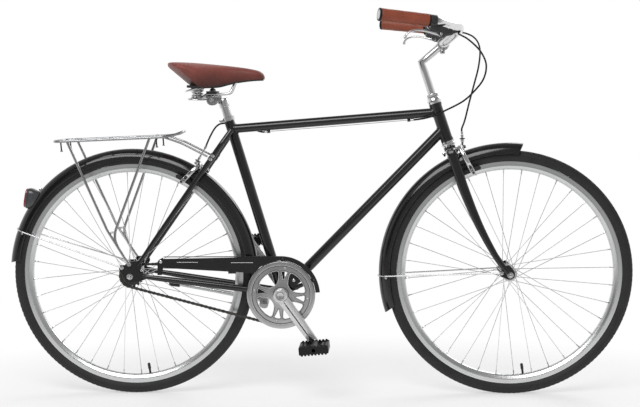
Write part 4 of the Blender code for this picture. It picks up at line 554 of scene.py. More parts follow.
# brown leather with painted shade: its colour darkens towards the bottom of the saddle, to a fifth
# of its strength at the low height
LEATHER_WITH_SHADE = material("brown_leather", (0.25, 0.061, 0.046), 0.5, vary=0.16, patch=22, wear=0.07,
                   scratch=60, grain=850, bump=0.035, cells=True,
                   shade=(SADDLE.z + 0.024, SADDLE.z + 0.08, 0.2), Sheen_Weight=0.06,
                   Specular_IOR_Level=0.42)
GRIP_LEATHER = material("tan_leather", (0.265, 0.056, 0.024), 0.52, vary=0.14, patch=30, wear=0.06,
                        scratch=70, grain=950, bump=0.035, cells=True)
THREAD = material("sewing_thread", (0.3, 0.085, 0.045), 0.7, vary=0.15, grain=2500, bump=0.06,
                  slot="tan_leather")
PAN = material("saddle_pan", (0.016, 0.016, 0.017), 0.5, vary=0.2, grain=1100, bump=0.05,
               slot="black_plastic")
LENS = material("red_lens", (0.2, 0.004, 0.012), 0.1, wear=0.03, vary=0.15, grain=400, bump=0.004,
                Coat_Weight=0.8, Coat_Roughness=0.05)
LAMP_SHELL = material("lamp_shell", (0.045, 0.048, 0.05), 0.24, wear=0.06, vary=0.2, grain=900,
                      bump=0.01, Coat_Weight=0.4, Coat_Roughness=0.08, slot="black_plastic")
LINE = material("pale_line", (0.62, 0.62, 0.63), 0.35, vary=0.05, bump=0.004, slot="polished_alloy")
TYRES = {}
RIMS = {}
for which, axle in AXLES.items():
    TYRES[which] = material(f"{which}_tyre_rubber", (0.0125, 0.0125, 0.013), 0.62, vary=0.28,
                            patch=30, wear=0.08, grain=420, bump=0.02, rings=axle, ribs=2600,
                            slot="tyre_rubber")
    RIMS[which] = material(f"{which}_rim_alloy", (0.68, 0.685, 0.69), 0.28, 1.0, vary=0.04,
                           wear=0.06, grain=2600, bump=0.012, rings=axle, slot="polished_alloy")
RING_ALLOY = material("ring_alloy", (0.5, 0.5, 0.505), 0.28, 1.0, vary=0.06, wear=0.06, grain=1500,
                      bump=0.012, rings=BB, slot="polished_alloy")


# Wheels


def tyre(which):
    """A road tyre: a tread with a centre rib and cut edges, and sidewalls down to the rim."""
    axle = AXLES[which]
    half = 0.0175
    outline = [
        (0.0, 0.0), (0.0035, 0.0001), (0.0042, 0.001), (0.0052, 0.001), (0.006, 0.0003),
        (0.0088, 0.0009), (0.0096, 0.0021), (0.0104, 0.0021), (0.0112, 0.0017), (0.0132, 0.0034),
        (0.015, 0.0058), (0.0163, 0.0086), (0.0169, 0.0102), (0.0174, 0.0118), (half, 0.0142),
        (0.0172, 0.018), (0.016, 0.022), (0.0142, 0.0255), (0.0126, 0.028), (0.0121, 0.0294),
    ]
    profile = [(a, TYRE - d) for a, d in outline]
    profile += [(-a, r) for a, r in reversed(profile[1:])]
    cuts = 150
    steps = cuts * 4
    bm = bmesh.new()
    rings = []
    for k in range(steps):
        t = 2 * math.pi * k / steps
        out = Vector((math.cos(t), 0, math.sin(t)))
        ring = []
        for along, radius in profile:
            depth = TYRE - radius
            if 0.0052 < abs(along) < 0.014 and depth < 0.0045:
                phase = (k + (2 if along > 0 else 0)) % 4
                radius -= 0.0009 if phase == 0 else 0.0
            ring.append(bm.verts.new(axle + out * radius + Y * along))
        rings.append(ring)
    for low, high in zip(rings, rings[1:] + rings[:1]):
        for a, b, c, d in zip(low, low[1:], high[1:], high):
            bm.faces.new((a, b, c, d))
    return finished(bm)


def rim_profile():
    """The rim's section: the hooks, the braking faces with their wear lines, and the spoke bed."""
    depth = RIM - RIM_DEPTH
    side = [
        (0.01, RIM - 0.006), (0.0106, RIM - 0.0012), (0.0116, RIM - 0.0002), (0.0124, RIM - 0.0008),
        (0.0125, RIM - 0.003), (0.0125, RIM - 0.0115), (0.0122, RIM - 0.0118),
        (0.0125, RIM - 0.0121), (0.0125, RIM - 0.0135), (0.012, RIM - 0.0145),
        (0.0106, RIM - 0.017), (0.0086, depth + 0.0042), (0.0062, depth + 0.0016),
        (0.0034, depth + 0.0003), (0.0, depth),
    ]
    return [*side, *[(-a, r) for a, r in reversed(side[:-1])]]


def spoke_line(axle, hub, k):
    side = -1 if k % 2 == 0 else 1
    leading = 1 if k // 2 % 2 == 0 else -1
    rim_turn = FIRST_SPOKE + 360 * k / SPOKES
    hub_turn = rim_turn + leading * CROSSINGS * 720 / SPOKES
    apart = leading * 0.0012
    inner = around(axle, hub["radius"] - 0.0035, hub_turn, side * hub["flange"] + apart)
    outer = around(axle, RIM - RIM_DEPTH - GAP, rim_turn, side * 0.0028 + apart)
    return inner, outer, side * leading


def wheel(which):
    axle, hub, body = AXLES[which], HUBS[which], f"{which}_wheel"
    add(f"{which}_wheel_tyre", tyre(which), TYRES[which], body, f"{which}_tyre", crease=28)
    rim = [turned(rim_profile(), axle, Y, 180)]
    nipples = []
    spokes = []
    for k in range(SPOKES):
        inner, outer, face = spoke_line(axle, hub, k)
        way = (outer - inner).normalized()
        spokes.append(
            pipe([inner, inner + way * 0.02, outer - way * 0.002], [0.00115, 0.001, 0.001], 8)
        )
        spokes.append(rod(inner - Y * 0.0022 * face, inner + Y * 0.003 * face, 0.0019, 12))
        nipples.append(pipe([outer - way * 0.0115, outer - way * 0.0105, outer - way * 0.002,
                             outer + way * 0.0004], [0.0013, 0.0017, 0.0019, 0.0024], 10))
        seat = around(axle, RIM - RIM_DEPTH + 0.0002, FIRST_SPOKE + 360 * k / SPOKES)
        out = (seat - axle).normalized()
        nipples.append(turned(
            [(-0.0008, 0.0024), (0.0, 0.004), (0.0012, 0.0042), (0.0012, 0.0024)], seat, out, 16
        ))
    add(f"{which}_wheel_rim", rim, RIMS[which], body, f"{which}_rim", crease=30)
    add(f"{which}_spokes", spokes, SPOKE_STEEL, body)
    add(f"{which}_nipples", nipples, CHROME, body)
    flange, neck = hub["flange"], hub["neck"]
    half = [
        (hub["half"], 0.0053), (hub["half"], neck - 0.0008), (hub["half"] - 0.0008, neck),
        (flange + 0.0044, neck), (flange + 0.003, neck + 0.0016),
        (flange + 0.0026, hub["radius"] - 0.0008), (flange + 0.0018, hub["radius"]),
        (flange - 0.0018, hub["radius"]), (flange - 0.0026, hub["radius"] - 0.0008),
        (flange - 0.003, neck + 0.0012), (flange - 0.0062, hub["barrel"] + 0.0008),
        (flange - 0.0095, hub["barrel"]),
    ]
    profile = [*half, *[(-a, r) for a, r in reversed(half)]]
    add(f"{which}_hub_shell", turned(profile, axle, Y, 48), POLISHED, body, f"{which}_hub")
    valve = around(axle, RIM - RIM_DEPTH + 0.004, FIRST_SPOKE + 360 * 27.5 / SPOKES)
    inward = (axle - valve).normalized()
    add(
        f"{which}_valve",
        [
            rod(valve, valve + inward * 0.02, 0.0031, 16),
            turned([(0.016, 0.0), (0.016, 0.0042), (0.031, 0.004), (0.033, 0.0022), (0.033, 0.0)],
                   valve, inward, 20),
        ],
        PAD, body,
    )


def axle_set(which, body):
    """Axle, cones, locknuts, washers and track nuts."""
    centre, hub = AXLES[which], HUBS[which]
    inside = hub["out"] - GAP
    outside = hub["out"] + 0.005 + GAP
    shapes = [rod(centre - Y * (outside + 0.0118), centre + Y * (outside + 0.0118), 0.0047, 24)]
    for side in (-1, 1):
        way = Y * side
        shapes.append(sleeve(centre, way, hub["half"] + GAP, inside - 0.003, 0.0046, 0.0078, 32))
        shapes.append(hexagon(centre, way, inside - 0.0029, inside, 0.0158))
        shapes.append(sleeve(centre, way, outside, outside + 0.0014, 0.0046, 0.0088, 32, 0.0003))
        shapes.append(hexagon(centre, way, outside + 0.0015, outside + 0.007, 0.0148, 0.0009))
        shapes.append(
            sleeve(centre, way, outside + 0.0068, outside + 0.0076, 0.0046, 0.0066, 32, 0.0003)
        )
    add(f"{which}_axle_set", shapes, CHROME, body, f"{which}_axle")


wheel("front")
wheel("rear")
axle_set("front", "steering")
axle_set("rear", "frame")


# Frame

TUBE = 0.0145
TOP_TUBE = 0.0127
HEAD_TUBE = 0.0168
STAY = 0.0078
SHELL = 0.0205  # the bottom-bracket shell's radius
BRIDGE = 0.0065
PLATE_MID = 0.0645
REAR_PLATE = (0.062, 0.067)  # the two faces of a dropout
FORK_PLATE = (0.05, 0.055)
TOP_START = on_seat(0.489)
TOP_END = on_steering(HEAD_TOP - 0.026)
DOWN_END = on_steering(HEAD_BOTTOM + 0.035)
STAY_TOP = on_seat(0.485, left=TUBE + 0.0075)
STAY_FOOT = REAR + Vector((0.022, PLATE_MID, 0.032))
CHAINSTAY_FRONT = BB + Vector((-0.006, 0.023, 0.001))
CHAINSTAY_REAR = REAR + Vector((0.036, PLATE_MID, 0.0))
STOP_DROP = TOP_TUBE + 0.003


def stay_at(share):
    place = STAY_TOP.lerp(STAY_FOOT, share)
    knee, wide = 0.09, 0.0375
    if share < knee:
        place.y = STAY_TOP.y + (wide - STAY_TOP.y) * share / knee
    else:
        place.y = wide + (STAY_FOOT.y - wide) * (share - knee) / (1 - knee)
    return place


def stay_share_at(radius):
    """How far down the seat stay it comes this near to the rear axle."""
    return last_inside(0.0, 0.8, 40, lambda share: ((stay_at(share) - REAR) * FLAT).length > radius)


def chainstay_at(x):
    return CHAINSTAY_FRONT.lerp(CHAINSTAY_REAR,
                                (CHAINSTAY_FRONT.x - x) / (CHAINSTAY_FRONT.x - CHAINSTAY_REAR.x))


def on_top_tube(share, below=0.0, left=0.0):
    along = TOP_END - TOP_START
    down = along.cross(Y).normalized()
    down = down if down.z < 0 else -down
    return TOP_START + along * share + down * below + Y * left


def weld(start, end, radius, far_start, far_end, far_radius, width=0.0019, steps=72):
    """The bead where a tube that starts inside another one leaves it."""
    way = (end - start).normalized()
    axis = (far_end - far_start).normalized()
    side = way.cross(axis).normalized()
    up = way.cross(side)
    ring = []
    for t in turns(steps):
        edge = start + (side * math.cos(t) + up * math.sin(t)) * radius

        def inside(along, edge=edge):
            off = edge + way * along - far_start
            return (off - axis * off.dot(axis)).length < far_radius

        ring.append(edge + way * last_inside(0.0, 0.2, 22, inside))
    sizes = [width * (1 + 0.1 * (k % 2)) for k in range(steps)]
    return pipe(ring, sizes, 8, closed=True)


def rounded(points, radius, steps=4):
    """An outline with its corners rounded, as (x, z)."""
    found = []
    for i, p in enumerate(points):
        a, b, c = Vector(points[i - 1]), Vector(p), Vector(points[(i + 1) % len(points)])
        found += [tuple(place) for place in corner_curve(a, b, c, radius, steps)]
    return found


BRIDGE_SHARE = stay_share_at(REAR_FENDER + BRIDGE + GAP)
REAR_BRAKE_WAY = (STAY_TOP - STAY_FOOT) * FLAT
REAR_BRAKE_WAY = Vector((-REAR_BRAKE_WAY.z, 0, REAR_BRAKE_WAY.x)).normalized()


def frame_pieces():
    seat_top = on_seat(SEAT_TUBE)
    down_start = BB + X * 0.003
    shapes = [
        turned([(0.0, 0.0132), (0.0, TUBE), (SEAT_TUBE - 0.002, TUBE), (SEAT_TUBE, TUBE - 0.0005),
                (SEAT_TUBE, 0.0132)], BB, SEAT_UP, 48),
        turned([(0, 0.0155), (0, 0.018), (0.005, 0.0181), (0.01, HEAD_TUBE),
                (HEAD_LENGTH - 0.01, HEAD_TUBE), (HEAD_LENGTH - 0.005, 0.0181),
                (HEAD_LENGTH, 0.018), (HEAD_LENGTH, 0.0155)], on_steering(HEAD_BOTTOM), STEER_UP,
               56),
        pipe([TOP_START, TOP_END], TOP_TUBE, 48), pipe([down_start, DOWN_END], TUBE, 48),
        turned([(-0.034, 0.0175), (-0.034, 0.02), (-0.033, SHELL), (0.033, SHELL), (0.034, 0.02),
                (0.034, 0.0175)], BB, Y, 64),
    ]
    for share in (0.18, 0.86):
        start, end = on_top_tube(share - 0.009, STOP_DROP), on_top_tube(share + 0.009, STOP_DROP)
        shapes.append(turned([(0, 0.0015), (0, 0.004), (0.001, 0.0047), (0.007, 0.0047),
                              (0.009, 0.0038), (0.0085, 0.0015)], start, end - start, 24))
        shapes.append(
            pipe([start.lerp(end, 0.25), on_top_tube(share, TOP_TUBE - 0.001)], 0.003, 12, 0.0024)
        )
    shares = [0.0, 0.045, 0.09, 0.14, 0.3, 0.55, 0.8, 0.93, 1.0]
    stay = smooth([stay_at(s) for s in shares], 4)
    sizes = spread([STAY] * 6 + [0.007, 0.0058, 0.0052], 4)
    thick = spread([STAY] * 6 + [0.0068, 0.0045, 0.0032], 4)
    shapes += both(pipe(stay, sizes, 20, thick))
    way = (STAY_TOP - stay_at(0.05)).normalized()
    shapes += both(rod(STAY_TOP - way * 0.002, STAY_TOP + way * 0.006, STAY, 20, 0.004))
    chainstay = smooth([CHAINSTAY_FRONT, *[chainstay_at(x) for x in (0.36, 0.3, 0.2, 0.12, 0.07)],
                        CHAINSTAY_REAR], 4)
    shapes += both(pipe(chainstay,
                        spread([0.0098, 0.0098, 0.0095, 0.009, 0.0085, 0.0072, 0.0056], 4), 20,
                        spread([0.0095, 0.0092, 0.0085, 0.008, 0.0075, 0.006, 0.0034], 4)))
    outline = [
        (-0.014, -0.014), (-0.019, 0.0), (-0.031, 0.02), (-0.03, 0.033), (-0.008, 0.033),
        (-0.006, 0.042), (0.03, 0.046), (0.036, 0.03), (0.022, 0.012), (0.046, 0.008),
        (0.046, -0.008), (0.012, -0.017),
    ]
    outline = [(x, TYRE + z) for x, z in rounded(outline, 0.006)]
    shapes += both(plate(outline, *REAR_PLATE, 0.0006))
    for end in (stay_at(BRIDGE_SHARE), chainstay_at(REAR_FENDER + BRIDGE + GAP - 0.003)):
        shapes.append(pipe([end * FLIP, end], BRIDGE, 24))
    shapes += [
        weld(TOP_START, TOP_END, TOP_TUBE, BB, seat_top, TUBE),
        weld(TOP_END, TOP_START, TOP_TUBE, STEER_FOOT, on_steering(1), HEAD_TUBE),
        weld(DOWN_END, down_start, TUBE, STEER_FOOT, on_steering(1), HEAD_TUBE),
        weld(down_start, DOWN_END, TUBE, BB - Y, BB + Y, SHELL),
        weld(BB, seat_top, TUBE, BB - Y, BB + Y, SHELL),
        *both(weld(CHAINSTAY_FRONT, CHAINSTAY_REAR, 0.0094, BB - Y, BB + Y, SHELL, 0.0016)),
    ]
    add("painted_frame", shapes, PAINT, "frame", "frame", crease=32)
    cups = []
    for side in (-1, 1):
        cups.append(turned([(0.0318, 0.009), (0.0318, 0.0168), (0.0352, 0.0168), (0.036, 0.016),
                            (0.036, 0.011), (0.0345, 0.009)], BB, Y * side, 48))
        for angle in range(0, 360, 45):
            spot = around(BB, 0.014, angle, side * 0.0358)
            cups.append(brick(spot, (0.0012, 0.0006, 0.0012), edge=0.0002))
    add("bearing_cups", cups, DARK_STEEL_AND_SHADE, "frame", "bottom_bracket")
    rings = []
    for base, flip in ((FORK + 2 * GAP, 1), (HEAD_TOP + GAP, -1)):
        shape = [(0.0, 0.0138), (0.0, 0.0168), (0.0045, 0.0192), (0.006, 0.02), (0.0098, 0.02),
                 (0.0106, 0.0192), (0.016, 0.0184), (0.016, 0.0138)]
        if flip < 0:
            shape = [(0.016 - a, r) for a, r in reversed(shape)]
        rings.append(turned(shape, on_steering(base), STEER_UP, 56))
        rings.append(turned([(0.0074, 0.0199), (0.0078, 0.0203), (0.0082, 0.0199)],
                            on_steering(base), STEER_UP, 56))
    add("head_bearing_cups", rings, POLISHED, "frame", ("upper_head_cup", "lower_head_cup"))
    base = SEAT_TUBE + GAP
    collar = [
        turned([(0, 0.0133), (0, 0.0168), (0.0008, 0.0175), (0.0112, 0.0175), (0.012, 0.0168),
                (0.012, 0.0133)], on_seat(base), SEAT_UP, 48),
        brick(on_seat(base + 0.006, -0.0195), (0.0058, 0.0085, 0.005), (SEAT_AHEAD, Y, SEAT_UP),
              0.0012),
    ]
    bolt = on_seat(base + 0.006, -0.0215)
    collar.append(rod(bolt - Y * 0.0155, bolt - Y * 0.0085, 0.0042, 24, 0.001))
    collar.append(hexagon(bolt, Y, 0.0085, 0.014, 0.0085))
    add("seat_tube_collar", collar, POLISHED, "frame", "seat_collar")


frame_pieces()


# Fork and steering

LEG_SPREAD = 0.0385
FORK_CURVE = (
    (0.93, 0.0), (0.8, 0.005), (0.68, 0.02), (0.54, 0.085), (0.45, 0.15), (0.37, 0.225),
    (0.25, 0.385), (0.13, 0.6), (0.03, 0.88), (0.0, 0.965),
)


def fork_pieces():
    places, long, wide = [], [], []
    for height, bend in FORK_CURVE:
        down = 1 - height
        spread_out = LEG_SPREAD + (0.0525 - LEG_SPREAD) * min(1.0, down * 1.15)
        places.append(on_steering(FORK * height, RAKE * bend, spread_out))
        long.append(0.014 - 0.0065 * max(0.0, down - 0.3) / 0.7)
        wide.append(0.009 - 0.0035 * down if height > 0.02 else 0.003)
    shapes = both(pipe(smooth(places, 4), spread(long, 4), 28, spread(wide, 4)))
    middle = FORK - 0.0145
    sections = []
    for left, drop, shrink in (
        (-0.05, 0.012, 0.45), (-0.0485, 0.008, 0.76), (-0.045, 0.005, 0.9), (-0.034, 0.002, 1.0),
        (-0.018, 0.0, 1.0), (0.018, 0.0, 1.0), (0.034, 0.002, 1.0), (0.045, 0.005, 0.9),
        (0.0485, 0.008, 0.76), (0.05, 0.012, 0.45),
    ):
        high, deep = 0.0125 * shrink, 0.0148 * shrink
        corners = [squared(t, 0.8) for t in turns(28)]
        sections.append([on_steering(middle - drop + high * s, deep * c, left) for c, s in corners])
    shapes.append(loft(sections))
    shapes.append(turned([(-0.01, 0.012), (-0.01, 0.015), (-0.004, 0.0168), (-0.0006, 0.017),
                          (0, 0.0164), (0, 0.012)], on_steering(FORK), STEER_UP, 48))
    shapes.append(rod(on_steering(FORK), on_steering(LOCKNUT + 0.008), 0.0125, 32))
    outline = [
        (-0.017, 0.024), (-0.004, 0.03), (0.008, 0.016), (0.014, 0.004), (0.01, -0.01),
        (-0.004, -0.014), (-0.016, -0.008), (-0.029, -0.002), (-0.031, 0.01), (-0.024, 0.014),
    ]
    outline = [(FRONT.x + x, FRONT.z + z) for x, z in rounded(outline, 0.006)]
    shapes += both(plate(outline, *FORK_PLATE, 0.0006))
    shapes += both(rod(Vector((0.89, 0.0455, 0.683)), Vector((0.89, 0.05, 0.683)), 0.0032, 16))
    add("painted_fork", shapes, PAINT, "steering", "fork", crease=32)
    nut = [
        turned([(0, 0.0137), (0, 0.0168), (0.0008, 0.0175), (0.003, 0.0175), (0.0034, 0.016),
                (0.0034, 0.0137)], on_steering(LOCKNUT), STEER_UP, 48),
        hexagon(on_steering(LOCKNUT), STEER_UP, 0.0036, 0.011, 0.03, 0.0012),
        turned([(0.0105, 0.0118), (0.0105, 0.0145), (0.012, 0.0138), (0.012, 0.0118)],
               on_steering(LOCKNUT), STEER_UP, 48),
    ]
    add("headset_nut", nut, POLISHED, "steering", "headset_locknut", crease=30)


fork_pieces()

BAR_CLAMP = on_steering(STEM_CORNER) + Vector((0.0608, 0, 0.0507))


def stem_piece():
    corner = on_steering(STEM_CORNER)
    reach = BAR_CLAMP - corner
    bend = [on_steering(LOCKNUT - 0.05), corner - STEER_UP * 0.03, corner - STEER_UP * 0.029,
            corner, corner + reach * 0.35, corner + reach * 0.72, BAR_CLAMP]
    shapes = [pipe(bend, [0.0111, 0.0111, 0.0113, 0.0113, 0.0104, 0.0106, 0.0135], 32,
                   [0.0111, 0.0111, 0.0113, 0.0113, 0.0108, 0.012, 0.0155])]
    outer = 0.0177
    shapes.append(turned([(-0.019, 0.013), (-0.019, outer - 0.0022), (-0.0168, outer),
                          (0.0168, outer), (0.019, outer - 0.0022), (0.019, 0.013)], BAR_CLAMP, Y,
                         48))
    ear = BAR_CLAMP + Vector((-0.002, 0, -outer - 0.0008))
    shapes += both(brick(ear + Y * 0.0062, (0.0068, 0.0046, 0.009), edge=0.0022))
    bolt = BAR_CLAMP + Vector((-0.002, 0, -outer - 0.004))
    shapes.append(rod(bolt - Y * 0.0155, bolt - Y * 0.0095, 0.0048, 28, 0.0012))
    shapes.append(hexagon(bolt, Y, 0.0095, 0.0148, 0.0095))
    add("polished_stem", shapes, POLISHED, "steering", "stem", crease=38)
    # painted shade: a thin dark hexagon on the bolt's end stands for the shade in its socket
    add("stem_socket_shade", hexagon(bolt, -Y, 0.015, 0.01565, 0.005, 0.0001), DARK_STEEL_AND_SHADE, "steering")


stem_piece()


# Fenders

FENDER_WIDTH = 0.053
FENDER_DEPTH = 0.03
FENDERS = {
    "rear": {"radius": REAR_FENDER, "first": 180 - REAR_FENDER_END, "last": -7.0, "pinch": 9.0,
             "steps": 150},
    "front": {
        "radius": (on_steering(FORK - 0.027) - FRONT).length - GAP, "first": 197.7, "last": 83.9,
        "pinch": -999.0, "steps": 100,
    },
}


def fender_point(which, share, tilt, wall=0.0):
    """A place on a fender: share of its length, tilt from the crown, depth under the skin."""
    fender = FENDERS[which]
    t = math.radians(tilt)
    late = 1.9 * (1 - math.cos(t))
    first, last = fender["first"] - late, fender["last"] + late
    angle = first + (last - first) * share
    drawn = min(1.0, max(0.0, (fender["pinch"] - angle) / 8))
    width = FENDER_WIDTH - 0.012 * drawn
    depth = FENDER_DEPTH * (1 - 0.45 * drawn)
    reach = fender["radius"] - depth + (depth - wall) * math.cos(t)
    return around(AXLES[which], reach, angle, (width / 2 - wall) * math.sin(t))


def fender_piece(which, body):
    steps = FENDERS[which]["steps"]
    outer = [-90 + 15 * k for k in range(13)]
    inner = [88 - 14.667 * k for k in range(13)]
    sections = []
    for k in range(steps + 1):
        share = k / steps
        sections.append(
            [fender_point(which, share, tilt) for tilt in outer]
            + [fender_point(which, share, tilt, 0.0012) for tilt in inner]
        )
    shapes = [loft(sections)]
    for side in (-90, 90):
        edge = [fender_point(which, k / steps, side, 0.0006) for k in range(steps + 1)]
        shapes.append(pipe(edge, 0.0014, 8, start=Z))
    for share in (0.0, 1.0):
        rim = [fender_point(which, share, -90 + 10 * k, 0.0006) for k in range(19)]
        shapes.append(pipe(rim, 0.001, 8))
    add(f"{which}_fender_shell", shapes, PAINT, body, f"{which}_fender", crease=40)


def over_fender(which, angle, tilt, clear):
    """A place this far outside a fender's skin."""
    t = math.radians(tilt)
    reach = FENDERS[which]["radius"] - FENDER_DEPTH + (FENDER_DEPTH + clear) * math.cos(t)
    return around(AXLES[which], reach, angle, (FENDER_WIDTH / 2 + clear) * math.sin(t))


def stay_wire(which, angle, foot, inner, body):
    """The fender's wire stay with its eyes, their bolts and the clips on the fender."""
    over = [over_fender(which, angle, tilt, 0.0026) for tilt in range(90, -1, -15)]
    eye = foot + Y * inner
    half = [eye + Y * 0.003 + (over[0] - eye).normalized() * 0.004, over[0].lerp(eye, 0.5),
            over[0].lerp(eye, 0.04), *over]
    path = [*half, *[p * FLIP for p in reversed(half[:-1])]]
    shapes = [pipe(smooth(path, 3), 0.002, 12)]
    shapes += both(
        sleeve(eye, Y, 0.0006, 0.0044, 0.0026, 0.0056, 28),
        rod(eye + Y * 0.0002, eye + Y * 0.0064, 0.0025, 16),
        turned(
            [(0.0044, 0.0), (0.0044, 0.0046), (0.0052, 0.0046), (0.0066, 0.0034), (0.0072, 0.0)],
            eye, Y, 24
        ),
    )
    core = around(AXLES[which], FENDERS[which]["radius"] - FENDER_DEPTH, angle + 0.9)
    for tilt in (72, -72):
        spot = over_fender(which, angle + 0.9, tilt, 0.0004)
        out = (spot - core).normalized()
        shapes.append(rod(spot - out * 0.001, spot + out * 0.0022, 0.0034, 20))
        shapes.append(hexagon(spot, out, 0.002, 0.004, 0.005, 0.0004))
    add(f"{which}_fender_wire", shapes, CHROME, body, f"{which}_fender_stay")


fender_piece("rear", "frame")
fender_piece("front", "steering")
stay_wire("rear", 158.5, REAR + Vector((-0.022, 0, 0.026)), REAR_PLATE[1] + GAP, "frame")
stay_wire("front", 181.0, FRONT + Vector((-0.024, 0, 0.006)), FORK_PLATE[1] + GAP, "steering")


# Rear light

LIGHT = around(REAR, REAR_FENDER + 0.01526, 144.107)
LIGHT_LEAN = math.radians(10)
LIGHT_BACK = Vector((-math.cos(LIGHT_LEAN), 0, math.sin(LIGHT_LEAN)))
LIGHT_UP = Vector((math.sin(LIGHT_LEAN), 0, math.cos(LIGHT_LEAN)))


def light_section(back, high, wide, rise=0.0, sides=48):
    """The light's outline this far behind the joint of lens and housing."""
    found = []
    for t in turns(sides):
        left, up = squared(t, 0.62)
        found.append(LIGHT + LIGHT_BACK * back + LIGHT_UP * (up * high + rise) + Y * (left * wide))
    return found


def rear_light():
    levels = (
        (0.0012, 0.027, 0.0215), (0.0012, 0.0282, 0.0227), (-0.0004, 0.0292, 0.0237),
        (-0.003, 0.0298, 0.0243), (-0.0036, 0.029, 0.0236), (-0.0044, 0.029, 0.0236),
        (-0.005, 0.0298, 0.0243), (-0.011, 0.0296, 0.0242), (-0.019, 0.0262, 0.022, 0.001),
        (-0.028, 0.021, 0.0188, 0.004), (-0.04, 0.0145, 0.0145, 0.006),
        (-0.048, 0.0095, 0.0105, 0.0062), (-0.05, 0.007, 0.008, 0.006),
    )
    shell = loft([light_section(*level) for level in levels])
    wide, foot, beyond = FENDER_WIDTH / 2 + GAP, REAR_FENDER - FENDER_DEPTH + GAP, 0.1
    crown = [(-beyond, 0.0), (-beyond, foot), (-wide, foot)]
    for tilt in range(-80, 90, 10):
        t = math.radians(tilt)
        crown.append((wide * math.sin(t), foot + FENDER_DEPTH * math.cos(t)))
    room = turned([*crown, (wide, foot), (beyond, foot), (beyond, 0.0)], REAR, Y, 240)
    add("rear_light_body", cut(shell, room), LAMP_SHELL, "frame", "tail_light_housing",
        bevel=0.0003)
    levels = [
        (0.0006, 0.0282, 0.0227), (0.0046, 0.028, 0.0225), (0.006, 0.027, 0.0215),
        (0.0064, 0.0256, 0.0202), (0.006, 0.025, 0.0196), (0.006, 0.024, 0.0186),
        (0.0068, 0.0232, 0.0178), (0.0074, 0.015, 0.0112), (0.0078, 0.009, 0.0066),
        (0.008, 0.003, 0.0022),
    ]
    lens = [loft([light_section(*level) for level in levels])]
    for row in range(-3, 4):
        high = 0.0062 * row
        wide = 0.0172 * (1 - 0.1 * (row / 3) ** 2)
        back = 0.008 - 0.0012 * (high / 0.0235) ** 2
        middle = LIGHT + LIGHT_UP * high
        places = []
        for k in range(13):
            left = wide * (k / 6 - 1)
            places.append(
                middle + Y * left + LIGHT_BACK * (back - 0.0012 * (left / 0.0185) ** 2 - 0.0006)
            )
        lens.append(pipe(places, 0.002, 6, across=0.001, start=LIGHT_UP))
    add("rear_light_lens", lens, LENS, "frame", "tail_light_lens", crease=25)
    bolt = around(REAR, 0.3622, 137.5)
    out = (bolt - REAR).normalized()
    add("rear_light_bolt", [rod(bolt - out * 0.002, bolt + out * 0.0014, 0.0052, 24),
                            hexagon(bolt, out, 0.0012, 0.004, 0.007, 0.0006)],
        CHROME, "frame")


rear_light()


# Rack

DECK_Z = REAR.z + REAR_FENDER + 0.031
RACK_HALF = 0.062
ROD = 0.0038


def deck(x, left, lift=0.0):
    return Vector((x, left, DECK_Z + 0.035 * x + lift))


def above_axle(x, left, share):
    return Vector((x, left, REAR.z + (DECK_Z - REAR.z) * share))


def bent(places, radius, reach=0.012):
    """A rod whose corners are bent to a curve that starts this far from them."""
    path = [Vector(p) for p in places]
    found = [path[0]]
    for a, b, c in zip(path, path[1:], path[2:]):
        found += corner_curve(a, b, c, reach, 6)
    return pipe([*found, path[-1]], radius, 16)


